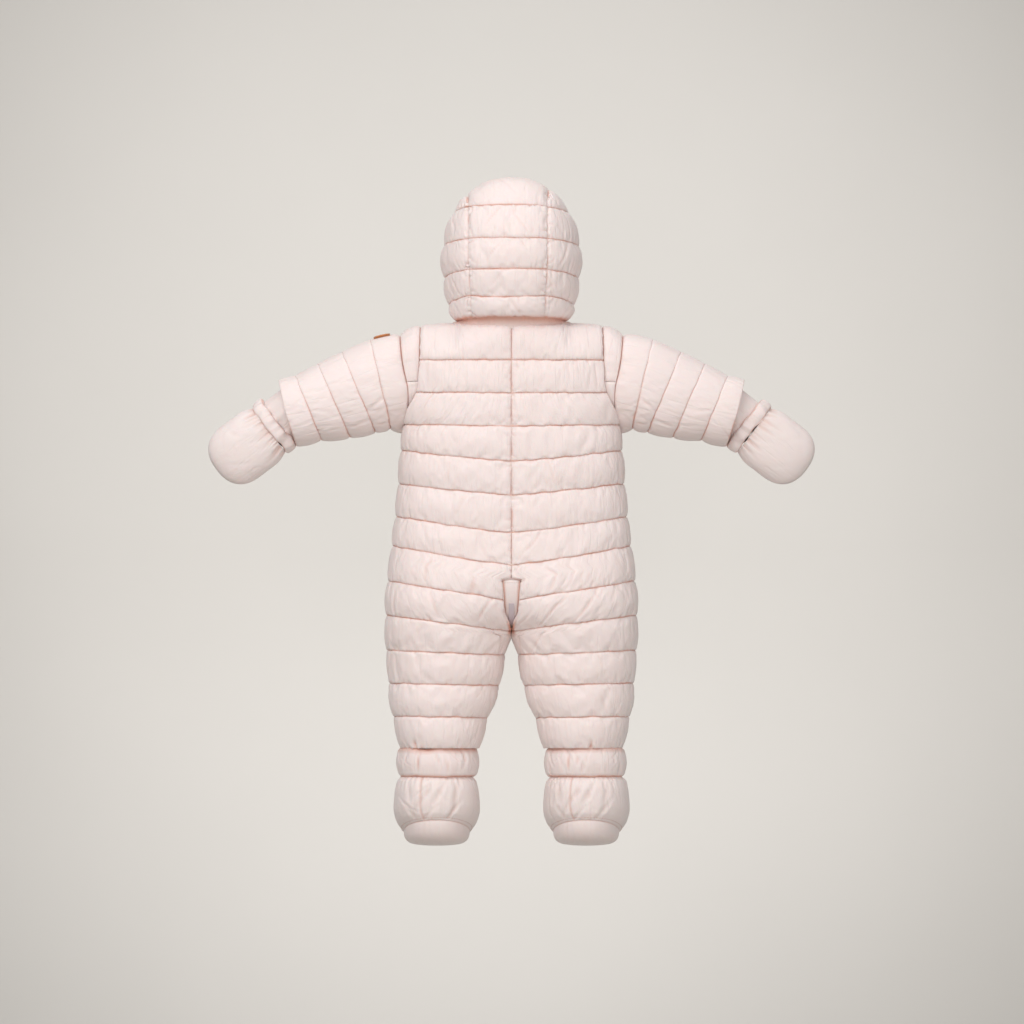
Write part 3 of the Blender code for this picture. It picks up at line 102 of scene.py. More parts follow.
# The patch: where it lies in its channel, and how many of the sleeve's columns it covers.
PATCH_FROM = 0.36
PATCH_TO = 0.88
PATCH_COLUMNS = 24
PATCH_BEHIND = 7  # how many of them lie behind the sleeve's top
GUSSET_TUCK = 0.2
COLLAR_LAP = 0.8  # how far the collar reaches up into the hood's hem, so that no light shows
HEM_SHORTER = 4.0  # how much the sleeve's hem is drawn up on top
CLOSED_SEAM = 0.04  # from the middle to the outer cloth at a closed seam
PINCH_Z = -337.0  # the height at which the legs' tops are drawn together behind the gusset
PINCH_TALL = 14.0
PINCH_WIDE = 16.0
PINCH_CLOSE = 6.5
PINCH_OUT = 2.6
# The cushion below the sole's seam: its size as a share of the seam's, and how far down it is.
SOLE_UNDER = (-583.0, -589.5)  # the height of its underside at the heel and at the toe
SOLE_CUSHION = ((1.0, 0.0), (1.004, 0.12), (0.99, 0.32), (0.95, 0.55), (0.87, 0.76), (0.74, 0.9), (0.56, 0.98))
SOLE_DRAWN_IN = 0.16
TOE_NARROWER = 0.16
HEEL_SEAM_X = 19.0  # the heel seam lies this far to the wearer's left of the foot's middle
HOOD_CENTRE_COLUMNS = 26
HOOD_SIDE_COLUMNS = 48

# The camera looks at the back along -Y.
VIEW_X = -0.0006
VIEW_Z = -0.2035
VIEW_SPAN = 1177.6
SENSOR = 36.0
# The backdrop's painted light: a bright pool round this middle, and painted shade that deepens from the first distance
# to the second, in metres.
BACKDROP_PAINTED_LIGHT_MIDDLE = (0.0, 0.0, -0.14)
BACKDROP_PAINTED_LIGHT_REACH = 0.25
BACKDROP_PAINTED_SHADE_REACH = 1.5

# Long creases: the channel, the place along it, the slant, where it starts and ends, its
# depth and its width.
SLEEVE_CREASES = (
    (1, 0.30, 0.35, -0.1, 0.9, 1.1, 2.2),
    (1, 0.41, -0.3, 0.0, 0.8, 1.2, 2.0),
    (1, 0.72, 0.3, 0.1, 0.9, 0.9, 2.4),
    (2, 0.36, 0.2, 0.0, 0.9, 0.8, 2.2),
    (3, 0.30, -0.4, 0.2, 1.0, 0.7, 2.4),
    (4, 0.22, 0.3, 0.2, 0.9, 0.6, 2.6),
)
HOOD_CREASES = {
    "hood_centre": (
        (0, 0.28, 0.9, 0.0, 0.9, 1.0, 2.2),
        (1, 0.80, -0.8, 0.3, 1.0, 0.9, 2.4),
        (2, 0.83, -0.9, 0.1, 0.9, 1.1, 2.4),
        (3, 0.85, -0.8, 0.2, 1.0, 1.2, 2.4),
        (3, 0.20, 0.8, 0.0, 0.8, 0.9, 2.2),
        (4, 0.32, 0.6, 0.1, 0.9, 0.9, 2.4),
    ),
    "hood_side_left": ((1, 0.10, 0.7, 0.1, 0.9, 1.1, 2.2), (3, 0.08, 0.8, 0.2, 1.0, 1.2, 2.2)),
    "hood_side_right": ((1, 0.10, -0.7, 0.1, 0.9, 1.0, 2.2), (2, 0.09, 0.6, 0.1, 0.9, 1.0, 2.2)),
}


def table(names, *rows):
    """Named columns out of short rows."""
    return dict(zip(names.split(), np.array(rows, float).T))


def smooth(t, name, by, at):
    """A column's value at a place between its rows, on a curve that never overshoots them."""
    order = np.argsort(t[by])
    xs, ys = t[by][order], t[name][order]
    step = np.diff(xs)
    slope = np.diff(ys) / step
    tangent = np.concatenate([slope[:1], slope[1:], slope[-1:]])
    for i in range(1, len(xs) - 1):
        before, after = slope[i - 1], slope[i]
        tangent[i] = 0.0 if before * after <= 0 else 2 * before * after / (before + after)
    at = float(np.clip(at, xs[0], xs[-1]))
    i = min(int(np.searchsorted(xs, at, side="right")) - 1, len(step) - 1)
    f = (at - xs[i]) / step[i]
    return (
        (1 + 2 * f) * (1 - f) ** 2 * ys[i]
        + f * (1 - f) ** 2 * step[i] * tangent[i]
        + f * f * (3 - 2 * f) * ys[i + 1]
        - f * f * (1 - f) * step[i] * tangent[i + 1]
    )


# The quilting lines of the body, from the shoulder down, at the centre and at the side. They run on
# from the back into the legs. The last row is the hem.
LINES = table(
    "centre side",
    (8, 8),
    (-29, -29),
    (-67, -66),
    (-105, -103),
    (-145, -133),
    (-184, -171),
    (-227, -209),
    (-265, -243),
    (-304, -283),
    (-339, -322),
    (-367, -362),
    (-402, -400),
    (-439, -438),
    (HEM_Z, HEM_Z),
)
# Where other pieces are sewn on: the channel, and how far down it.
CROSS_SEAM = (1, 0.66)  # between the shoulder strip and its tip
STRIP_END = (2, 0.5)
UNDERARM = (3, 0.2533)
GUSSET_TOP = (7, 0.4)
CROTCH = (9, 0.25)

# The body's cross-section at each height: how far it reaches to the side, the middle of the half or
# leg, its half depth, how much deeper it is behind than in front, and how square it is (2 is an
# ellipse).
BODY = table(
    "z half_width middle half_depth behind square",
    (8, 127, 0, 58, 0, 2.6),
    (-29, 127, 0, 61, 0, 2.6),
    (-67, 125, 0, 65, 0, 2.6),
    (-110.6, 121.5, 0, 67, 0, 2.6),
    (-145, 124, 0, 69, -1.5, 2.6),
    (-181, 126.5, 0, 70, -3.5, 2.5),
    (-227, 131, 8, 71, -4.5, 2.5),
    (-265, 136, 28, 71, -1, 2.4),
    (-304, 140, 54, 69, 4, 2.3),
    (-346, 140.5, 74, 62, 2, 2.2),
    (-388, 137.5, 76.5, 57, 0, 2.15),
    (-415, 136, 79, 54, 0, 2.1),
    (-443, 131, 82, 51, 0, 2.1),
    (-475, 123.5, 82.5, 46, 0, 2.1),
)
ARMHOLE = table(
    "z x",
    (8, 104),
    (-29, 105),
    (-55, 106),
    (-89, 118),
    (-103, 121.4),
    (-110.6, 121.5),
)
# The inner edge of each half where it is sewn to the gusset.
INNER_EDGE = table(
    "z x",
    (-280, 10.5),
    (-318, 8.0),
    (-346, 7.5),
)

# The way the wall faces along the armhole: how far it leans outwards, how much more at the
# underarm, and how far it leans to the back and front.
ARMHOLE_LEAN = 0.12
UNDERARM_LEAN = 0.45
ARMHOLE_BACKWARDS = 1.15

# The shoulder strip's width between the armhole seam and the sleeve's head, and how much of that
# width its far edge falls. The fall fades out at a height below the shoulder.
STRIP = table("z width", (8, 24), (-23, 21), (-54, 14.5), (-80, 4.0), (-89, 0.0), (-111, 0.0))
STRIP_FALL = 0.42
STRIP_FALL_END_Z = -60.0
STRIP_CROWN = 0.22  # how high it rises between its seams, by its width
STRIP_END_CROWN = 0.4  # how much of that is left at its ends

# The sleeve's quilting lines, by the ends of each across the sleeve as it is seen from behind. The
# last row is the hem.
SLEEVE = table(
    "top_x top_z low_x low_z half_depth",
    (161, -9.5, 139, -104, 46),
    (193, -23.5, 157, -109, 43),
    (220.5, -37, 186, -115, 40),
    (246.5, -51, 219, -118, 38),
    (270, -58, 248, -125, 36),
)
SLEEVE_PUFF = 5.0
SLEEVE_ROUND = 0.92  # 1 is an ellipse, less is squarer
SLEEVE_HEM_GAP = 15.0  # the inner cuff starts this far inside the sleeve's hem
SLEEVE_CUFF_CLEAR = 0.9  # between the sleeve's lining and the cuff inside it, beyond the seam's gap
# The inner cuff on its way to the mitten: how far along from the sleeve's hem or from the mitten's
# wrist, and its half width and half depth.
CUFF_AT_HEM = (3.0, 25.5, 22.0)
CUFF_AT_WRIST = ((-9.0, 25.5, 19.0), (-2.0, 28.5, 19.2), (8.5, 28.2, 18.9))
PATCH_THICK = 1.2
PATCH_CLEAR = 0.25  # between the patch and the sleeve, beyond the seam's gap
# The mitten lies on a slope of its own: its wrist's middle, and the way it points.
MITTEN_WRIST = (271.0, 0.0, -103.5)
MITTEN_SLOPE = math.radians(-37.0)
MITTEN_LENGTH = 85.5
MITTEN_HALF_WIDTH = 36.5
MITTEN_HALF_DEPTH = 22.0
MITTEN_TIP = 36.0  # how much shorter its edges are than its middle
MITTEN_TIP_SQUARE = 2.4
MITTEN_WRIST_SHARE = 0.86  # the wrist's width as a share of the widest
MITTEN_WIDEST = 0.45  # how far along it is widest
MITTEN_START = 10.0  # from the wrist's middle to the first row
MITTEN_EDGE_SQUARE = 2.4
MITTEN_END_SQUARE = 3.2
# The band round the wrist: how far along each ring lies and how far it stands out.
BAND = table("along out", (-5.0, 0.3), (-3.0, 2.4), (2.5, 3.2), (7.5, 2.2), (9.6, 0.3))
BAND_THICK = 2.6

# The hood is an egg, drawn in below to the neck.
HOOD_MIDDLE = (0.0, 3.0, 76.0)
HOOD_HALF_WIDTH = 76.0
HOOD_HALF_DEPTH = 80.0
HOOD_UP = 101.0
HOOD_DOWN = 132.0
HOOD_SQUARE = 2.2
HOOD_HALF_SEAM = 0.35
HOOD_SEAM_LIFT = 0.6  # how much of the down's lift is left at the hood's seams
HOOD_SEAM_LEFT = 49.0  # X of the seams beside the centre panel
HOOD_SEAM_RIGHT = -41.0
# How far the hood is drawn in towards the neck, by height.
HOOD_TUCK = table("z scale", (8, 0.84), (15, 0.865), (23, 0.905), (34, 0.935), (52, 0.955), (84, 1))
# The height of the hood's lower edge at the side, and how that plane falls towards the front.
HOOD_EDGE_Z = 15.0
HOOD_EDGE_SLOPE = 0.08
# The hood's lines up the back, by height, at the middle and at the centre panel's seams.
HOOD_BACK = table(
    "middle seam",
    (19.6, 19.4),
    (44.0, 45.0),
    (76.0, 75.0),
    (111.0, 110.0),
    (148.0, 146.0),
)
# Its lines over the crown to the forehead, by the angle up and over from the back.
HOOD_CROWN = table("middle seam", (91.0, 92.0), (108.0, 108.0), (124.0, 122.0), (141.0, 137.0))
# The side panel's lines on from the seam: the height at the side and at the face opening, and how far
# the opening's edge lies to the side.
HOOD_SIDE_LINES = table(
    "side front edge_x",
    (15.0, 10.6, 16.0),
    (34.0, 30.0, 42.0),
    (66.0, 57.0, 56.0),
    (103.0, 85.0, 58.0),
    (139.0, 112.0, 54.0),
)
HOOD_CROWN_START = math.radians(63.0)  # where the side panel's top row leaves the back seam
HOOD_SIDE_AT = 0.4545  # how far round a side panel the lines pass the side
HOOD_FRONT_BEND = 1.3  # how the lines bend on their way from the side to the face opening
HOOD_LINE_SPREAD = 45.0  # from the centre panel's middle to where its lines have their seam height

# The collar's foot stands this far inside the neck seam at the side and at the front and back, and
# this far below it.
COLLAR_IN_SIDE = 2.4
COLLAR_IN_DEPTH = 4.6
COLLAR_DROP = 3.0
COLLAR_BOW = 2.2
GAP_RADIUS = 60.0  # how far from the middle the collar's front edges lie

# The gusset's tab.
TAB_HALF_WIDTH = 3.2
TAB_HALF_LENGTH = 6.5
TAB_THICK = 0.8
TAB_CLEAR = 0.1  # between the tab and the gusset, beyond the seam's gap
TAB_ROW = 3  # rows above the crotch

# Ankles and feet.
BOOTIE_X = 86.0
CUFF_TOP_Z = -476.5
CUFF_LOW_Z = -506.5
CUFF_HALF_WIDTH = 45.0
CUFF_HALF_DEPTH = 47.0
CUFF_INSET = 3.0  # from that size to the base of the turned-up cuff
CUFF_THICK = 2.2
CUFF_ROLL = table("at out", (0.0, 0.3), (0.12, 3.6), (0.5, 5.8), (0.88, 3.4), (1.0, 0.3))
ANKLE_TOP = 14.0  # the inner cuff starts this far above the leg's hem
ANKLE_CLEAR = 1.9  # between the leg's lining and the inner cuff, beyond the seam's gap
ANKLE_INSET = 5.8
ANKLE_NECK_INSET = 9.0
SOLE_HEEL = (44.0, -557.0)  # y and z where the sole's seam passes the heel
SOLE_TOE = (-76.0, -584.0)
SOLE_THICK = 4.2
BOOTIE = table(
    "down half_width back front",
    (0.0, 40.0, 41.0, -42.0),
    (0.12, 46.0, 47.0, -52.0),
    (0.34, 49.0, 50.0, -63.0),
    (0.6, 50.0, 50.5, -74.0),
    (0.84, 49.0, 49.0, -79.0),
    (1.0, 45.0, 44.0, -76.0),
)
BOOTIE_SQUARE = 0.94
SOLE_LAYERS = ((1.0, 0.0), (1.02, -1.2), (0.97, -3.2), (0.86, -SOLE_THICK))

# Zip.
TAPE_THICK = 0.8
TAPE_WIDTH = 13.0
TAPE_CLEAR = 0.5  # between the tape and the cloth, beyond the seam's gap
TAPE_LEAN = 1.2  # how far the tape's far edge lies further in
TAPE_BEND_TOP_Z = -17.0  # it passes from the collar to the front between these heights
TAPE_BEND_LOW_Z = -30.0
ZIP_TOP_Z = 5.0
SLIDER_WIDTH = 8.0
SLIDER_HEIGHT = 11.0
SLIDER_DEPTH = 4.0
SLIDER_TOP_Z = 0.0
SLIDER_CLEAR = 2.3  # from the deepest tape to the slider, beyond the seam's gap
SLIDER_NECK_HALF = 1.2
SLIDER_NECK_REACH = 2.2
SLIDER_END = 1.0  # from the slider's ends to its neck and its bridge
SLIDER_BITE = 0.5  # how far the neck and the bridge run into the slider
BRIDGE_THICK = 1.3
BRIDGE_REACH = 3.6  # how far the slider's bridge stands out
BRIDGE_ROOF = 0.9
BRIDGE_LEG = 1.2
AXIS_IN = 1.9  # from the bridge's outer face to the pull's axis
AXIS_LOW = 1.6  # from the slider's middle down to the pull's axis
PULL_BAR = 0.8  # radius of the bar on which the pull turns
PULL_WIDTH = 6.5
PULL_LENGTH = 24.0
PULL_THICK = 1.4
PULL_SLOT = 6.7  # from the axis to the slot's lower end
PULL_SIDE = 1.5
PULL_THROUGH = 1.0  # how far the slot's cutter passes the plate
PULL_CLEAR = 2.6  # between the tape and the tip of the hanging pull


def unit(v):
    return v / np.maximum(np.linalg.norm(v, axis=-1, keepdims=True), 1e-9)


def lift(rows_at):
    """How high the down lifts each place within a channel, from 0 on a line to 1."""
    return np.sqrt(np.clip(1 - (2 * np.asarray(rows_at) - 1) ** 2, 0, 1))


def grid_normals(base, round_it):
    """Outward directions of a grid of points whose rows run down and whose columns run round."""
    down = np.gradient(base, axis=0)
    if round_it:
        across = np.roll(base, -1, axis=1) - np.roll(base, 1, axis=1)
    else:
        across = np.gradient(base, axis=1)
    return unit(np.cross(down, across))


# ---------------------------------------------------------------- body panels


def section_angle(x, z):
    """The angle round the body's section at which it reaches an X."""
    middle = smooth(BODY, "middle", "z", z)
    reach = smooth(BODY, "half_width", "z", z) - middle
    power = smooth(BODY, "square", "z", z) / 2
    share = min(abs(x - middle) / reach, 1.0) ** power
    angle = math.acos(share)
    return angle if x >= middle else math.pi - angle


def section_point(angle, z, front):
    middle = smooth(BODY, "middle", "z", z)
    reach = smooth(BODY, "half_width", "z", z) - middle
    behind = smooth(BODY, "behind", "z", z)
    depth = smooth(BODY, "half_depth", "z", z) + (-behind if front else behind)
    power = 2 / smooth(BODY, "square", "z", z)
    c, s = math.cos(angle), max(math.sin(angle), 0.0)
    x = middle + reach * math.copysign(abs(c) ** power, c)
    return np.array([x, depth * s**power, z])


def inner_edge(z, front):
    """X of a panel's edge at the middle of the body, before the seam's gap."""
    if z <= CROTCH_Z + 0.01:
        middle = smooth(BODY, "middle", "z", z)
        return 2 * middle - smooth(BODY, "half_width", "z", z)
    if z <= GUSSET_TOP_Z - 0.2:
        return smooth(INNER_EDGE, "x", "z", z)
    if front and z >= ZIP_END_Z - 2:
        return ZIP_HALF_GAP - HALF_SEAM
    return 0.0


def body_row_point(line, at, front):
    """A point on a body panel's base: a place down the lines and a place across from 0 to 1."""
    i = int(line)
    f = line - i
    j = min(i + 1, len(LINES["centre"]) - 1)
    centre = LINES["centre"][i] * (1 - f) + LINES["centre"][j] * f
    side = LINES["side"][i] * (1 - f) + LINES["side"][j] * f
    start = section_angle(inner_edge(centre, front), centre)
    open_side = side > UNDERARM_Z + 0.1
    end = section_angle(smooth(ARMHOLE, "x", "z", side), side) if open_side else 0.0
    angle = start + (end - start) * at
    low, high = math.cos(start), math.cos(end)
    share = (math.cos(angle) - low) / (high - low)
    z = centre + (side - centre) * share
    if at == 0.0:
        angle = section_angle(inner_edge(z, front), z)
    if at == 1.0:
        angle = section_angle(smooth(ARMHOLE, "x", "z", z), z) if open_side else 0.0
    return section_point(angle, z, front)


def armhole_directions(points):
    """The way the wall faces along the armhole seam, which both pieces share."""
    middle_z = (SHOULDER_Z + UNDERARM_Z) / 2
    half_height = (SHOULDER_Z - UNDERARM_Z) / 2
    half_depth = np.abs(points[:, 1]).max()
    up = (points[:, 2] - middle_z) / half_height
    back = points[:, 1] / half_depth * ARMHOLE_BACKWARDS
    out = ARMHOLE_LEAN + UNDERARM_LEAN * np.clip(-up, 0, 1)
    return unit(np.stack([out, back, up], axis=1))


def mitten_frame():
    """The mitten's wrist, the way it points, and the way across it in the XZ plane."""
    along = np.array([math.cos(MITTEN_SLOPE), 0.0, math.sin(MITTEN_SLOPE)])
    across = np.array([-math.sin(MITTEN_SLOPE), 0.0, math.cos(MITTEN_SLOPE)])
    return np.array(MITTEN_WRIST), along, across


def on_hood(point):
    """A point moved onto the hood's egg along its line from the middle."""
    middle = np.array(HOOD_MIDDLE)
    off = np.asarray(point, float) - middle
    tall = HOOD_UP if off[2] > 0 else HOOD_DOWN
    size = np.array([HOOD_HALF_WIDTH, HOOD_HALF_DEPTH, tall])
    return middle + off / float((np.abs(off / size) ** HOOD_SQUARE).sum()) ** (1 / HOOD_SQUARE)


def hood_way(point):
    """The way the hood's wall faces at a point on the egg."""
    off = np.asarray(point, float) - np.array(HOOD_MIDDLE)
    tall = HOOD_UP if off[2] > 0 else HOOD_DOWN
    size = np.array([HOOD_HALF_WIDTH, HOOD_HALF_DEPTH, tall])
    return unit(np.sign(off) * np.abs(off / size) ** (HOOD_SQUARE - 1) / size)


def hood_tucked(point):
    """A point of the egg drawn in towards the neck."""
    p = np.array(point, float)
    scale = smooth(HOOD_TUCK, "scale", "z", p[2])
    p[0] *= scale
    p[1] = HOOD_MIDDLE[1] + (p[1] - HOOD_MIDDLE[1]) * scale
    return p


def hood_seam_point(x, angle):
    """On the egg at an X, an angle up and over from the back."""
    reach = (1 - (abs(x) / HOOD_HALF_WIDTH) ** HOOD_SQUARE) ** (1 / HOOD_SQUARE)
    c, s = math.cos(angle), math.sin(angle)
    power = 2 / HOOD_SQUARE
    tall = HOOD_UP if s > 0 else HOOD_DOWN
    y = HOOD_MIDDLE[1] + HOOD_HALF_DEPTH * reach * math.copysign(abs(c) ** power, c)
    z = HOOD_MIDDLE[2] + tall * reach * math.copysign(abs(s) ** power, s)
    return np.array([x, y, z])


def hood_level_point(x, z, behind=True):
    """On the egg at an X and a height, at the back or at the front."""
    off = z - HOOD_MIDDLE[2]
    tall = HOOD_UP if off > 0 else HOOD_DOWN
    left = 1 - (abs(x) / HOOD_HALF_WIDTH) ** HOOD_SQUARE - (abs(off) / tall) ** HOOD_SQUARE
    y = HOOD_HALF_DEPTH * max(left, 0.0) ** (1 / HOOD_SQUARE)
    return np.array([x, HOOD_MIDDLE[1] + (y if behind else -y), z])


def hood_line_angle(line, x):
    """The angle of one of the centre panel's lines at an X."""
    share = min(abs(x - (HOOD_SEAM_LEFT + HOOD_SEAM_RIGHT) / 2) / HOOD_LINE_SPREAD, 1.0) ** 2
    back = len(HOOD_BACK["middle"])
    if line >= back:
        middle, seam = HOOD_CROWN["middle"][line - back], HOOD_CROWN["seam"][line - back]
        return math.radians(middle * (1 - share) + seam * share)
    z = HOOD_BACK["middle"][line] * (1 - share) + HOOD_BACK["seam"][line] * share
    off = z - HOOD_MIDDLE[2]
    reach = (1 - (abs(x) / HOOD_HALF_WIDTH) ** HOOD_SQUARE) ** (1 / HOOD_SQUARE)
    tall = HOOD_UP if off > 0 else HOOD_DOWN
    return math.copysign(math.asin((abs(off) / (tall * reach)) ** (HOOD_SQUARE / 2)), off)


def hood_finish(base, edge_row=None):
    """The grid drawn in at the neck, with its lower edge on the collar's plane."""
    done = np.array([[hood_tucked(p) for p in row] for row in base])
    if edge_row is not None:
        done[edge_row, :, 2] = HOOD_EDGE_Z + HOOD_EDGE_SLOPE * done[edge_row, :, 1] + HALF_SEAM
    return done


def hood_ways(base):
    """The way the wall faces at each point of a grid on the egg."""
    return np.array([[hood_way(p) for p in row] for row in base])


def hood_round_point(angle, z):
    """On the egg at a height, at an angle round from the wearer's left."""
    off = z - HOOD_MIDDLE[2]
    tall = HOOD_UP if off > 0 else HOOD_DOWN
    reach = 1 - (abs(off) / tall) ** HOOD_SQUARE
    x, y = math.cos(angle), math.sin(angle)
    now = (abs(x) / HOOD_HALF_WIDTH) ** HOOD_SQUARE + (abs(y) / HOOD_HALF_DEPTH) ** HOOD_SQUARE
    scale = (reach / now) ** (1 / HOOD_SQUARE)
    return np.array([x * scale, HOOD_MIDDLE[1] + y * scale, z])


def hood_side_row(line, columns, seam_x):
    """A side panel's row on the egg, from the seam round to the face opening."""
    i = int(line)
    f = line - i
    j = min(i + 1, len(HOOD_SIDE_LINES["side"]) - 1)
    back = HOOD_BACK["seam"][i] * (1 - f) + HOOD_BACK["seam"][j] * f
    side, front, edge_x = (column[i] * (1 - f) + column[j] * f for column in HOOD_SIDE_LINES.values())
    start = hood_level_point(seam_x, back)
    end = hood_level_point(edge_x, front, behind=False)
    first = math.atan2(start[1] - HOOD_MIDDLE[1], start[0])
    last = math.atan2(end[1] - HOOD_MIDDLE[1], end[0])
    row = []
    for u in columns:
        beyond = max((u - HOOD_SIDE_AT) / (1 - HOOD_SIDE_AT), 0) ** HOOD_FRONT_BEND
        z = back + (side - back) * min(u / HOOD_SIDE_AT, 1.0) + (front - side) * beyond
        row.append(hood_round_point(first + (last - first) * u, z))
    row[0], row[-1] = start, end
    return row


def on_seam(point, x):
    """The point of the seam's curve at an X that lies the same way from the hood's middle."""
    off = np.asarray(point, float) - np.array(HOOD_MIDDLE)
    reach = 1 - (abs(x) / HOOD_HALF_WIDTH) ** HOOD_SQUARE
    tall = HOOD_UP if off[2] > 0 else HOOD_DOWN
    now = (abs(off[1]) / HOOD_HALF_DEPTH) ** HOOD_SQUARE + (abs(off[2]) / tall) ** HOOD_SQUARE
    scale = (reach / now) ** (1 / HOOD_SQUARE)
    return np.array([x, HOOD_MIDDLE[1] + off[1] * scale, HOOD_MIDDLE[2] + off[2] * scale])


def hood_ring_point(turn):
    """The egg at the height of the hood's lower edge, at an angle round from the wearer's left."""
    off = abs(HOOD_EDGE_Z - HOOD_MIDDLE[2]) / HOOD_DOWN
    reach = (1 - off**HOOD_SQUARE) ** (1 / HOOD_SQUARE)
    c, s = math.cos(turn), math.sin(turn)
    power = 2 / HOOD_SQUARE
    x = HOOD_HALF_WIDTH * reach * math.copysign(abs(c) ** power, c)
    y = HOOD_MIDDLE[1] + HOOD_HALF_DEPTH * reach * math.copysign(abs(s) ** power, s)
    return np.array([x, y, HOOD_EDGE_Z])


def sole_height(y):
    """The height of the sole's seam, whose plane falls from the heel to the toe."""
    share = (y - SOLE_HEEL[0]) / (SOLE_TOE[0] - SOLE_HEEL[0])
    return SOLE_HEEL[1] + (SOLE_TOE[1] - SOLE_HEEL[1]) * share


def front_depth(z):
    """How far in front of the middle the front panels' base lies beside the zip."""
    top_y, top_z = NECK_FRONT
    line_z = LINES["centre"][1]
    low = min(z, line_z)
    depth = float(section_point(section_angle(ZIP_HALF_GAP, low), low, True)[1])
    share = np.clip((z - top_z) / (line_z - top_z), 0, 1)
    return top_y + (depth - top_y) * math.sin(share * math.pi / 2)


def collar_depth(z):
    """How far in front of the middle the collar lies beside the zip, from its foot up."""
    foot_y, foot_z = NECK_FRONT[0] - COLLAR_IN_DEPTH, NECK_FRONT[1] - COLLAR_DROP
    head = hood_tucked(hood_ring_point(-math.pi / 2))
    head_z = HOOD_EDGE_Z + HOOD_EDGE_SLOPE * head[1]
    share = np.clip((z - foot_z) / (head_z - foot_z), 0, 1)
    return foot_y + (-head[1] - foot_y) * share**COLLAR_BOW


def tape_depth(z):
    """The depth of the tape's outer face: inside the collar above, inside the front below."""
    below = front_depth(min(z, NECK_FRONT[1])) - WALL - SEAM - TAPE_CLEAR
    above = collar_depth(max(z, NECK_FRONT[1] - COLLAR_DROP)) - PLAIN_WALL - SEAM - TAPE_CLEAR
    if z >= TAPE_BEND_TOP_Z:
        return above
    share = np.clip((z - TAPE_BEND_LOW_Z) / (TAPE_BEND_TOP_Z - TAPE_BEND_LOW_Z), 0, 1)
    return below + (min(above, below) - below) * share


def slider_depths():
    """Y of the slider's back and front faces and of the pull's axis."""
    deepest = max(tape_depth(SLIDER_TOP_Z), tape_depth(SLIDER_TOP_Z - SLIDER_HEIGHT))
    back = -(deepest + SEAM + SLIDER_CLEAR)
    front = back - SLIDER_DEPTH
    return back, front, front - BRIDGE_REACH + AXIS_IN


def pull_axis():
    """Y and Z of the axis on which the pull turns, and how far the hanging pull leans outwards."""
    _, _, axis_y = slider_depths()
    axis_z = SLIDER_TOP_Z - SLIDER_HEIGHT / 2 - AXIS_LOW
    tip = tape_depth(axis_z - PULL_LENGTH) + PULL_CLEAR
    return axis_y, axis_z, math.atan2(tip + axis_y, PULL_LENGTH)


# ---------------------------------------------------------------- cloth


def steps(count, pull):
    """Places from 0 to 1, drawn towards both ends."""
    even = np.linspace(0, 1, count + 1)
    return even * (1 - pull) + (1 - np.cos(even * math.pi)) / 2 * pull


def edge_rise(at, reach):
    """From 0 at an edge to 1 at a reach from it, as a round shoulder."""
    return np.sqrt(np.clip(1 - (1 - np.clip(np.asarray(at) / reach, 0, 1)) ** 2, 0, 1))


def ripple(rng, at, pitch, length=None):
    """Smooth random values from -1 to 1 along a line, which close up round a given length."""
    at = np.asarray(at, float)
    if length:
        count = max(3, round(length / pitch))
        pitch = length / count
        values = rng.uniform(-1, 1, count)
    else:
        count = int(at.max() / pitch) + 4
        values = rng.uniform(-1, 1, count)
    place = at / pitch
    i = np.floor(place).astype(int)
    f = place - i
    f = f * f * (3 - 2 * f)
    return values[i % count] * (1 - f) + values[(i + 1) % count] * f


def midpoints(p):
    """Points halfway between rows, on a curve through them."""
    m = (p[:-1] + p[1:]) / 2
    if len(p) > 3:
        m[1:-1] = (9 * (p[1:-2] + p[2:-1]) - p[:-3] - p[3:]) / 16
        m[0] = (3 * p[0] + 6 * p[1] - p[2]) / 8
        m[-1] = (3 * p[-1] + 6 * p[-2] - p[-3]) / 8
    return m


def between(p):
    """Rows with their midpoints set in between."""
    out = np.zeros((2 * len(p) - 1, *p.shape[1:]))
    out[::2] = p
    out[1::2] = midpoints(p)
    return out


def refine(grid, lines, round_it):
    """A grid with twice the rows in each channel, and twice the columns."""
    blocks = [between(grid[a : b + 1]) for a, b in zip(lines[:-1], lines[1:])]
    rows = np.concatenate([blocks[0]] + [b[1:] for b in blocks[1:]])
    turned = np.swapaxes(rows, 0, 1)
    if round_it:
        turned = between(np.concatenate([turned[-2:], turned, turned[:3]]))[4:-5]
    else:
        turned = between(turned)
    return np.swapaxes(turned, 0, 1)


def grid_faces(ids, round_it):
    """Quads of a grid of vertex numbers."""
    right = np.roll(ids, -1, axis=1) if round_it else ids[:, 1:]
    left = ids if round_it else ids[:, :-1]
    quads = np.stack([left[:-1], right[:-1], right[1:], left[1:]], axis=-1)
    return quads.reshape(-1, 4)


def facing_out(grid, normals, faces):
    """The same faces, turned so that they face the way the cloth does."""
    points = grid.reshape(-1, 3)
    a, b, c = (points[faces[:, i]] for i in (0, 1, 2))
    face_way = np.cross(b - a, c - b)
    agree = (face_way * normals.reshape(-1, 3)[faces[:, 0]]).sum()
    return faces if agree > 0 else faces[:, ::-1]


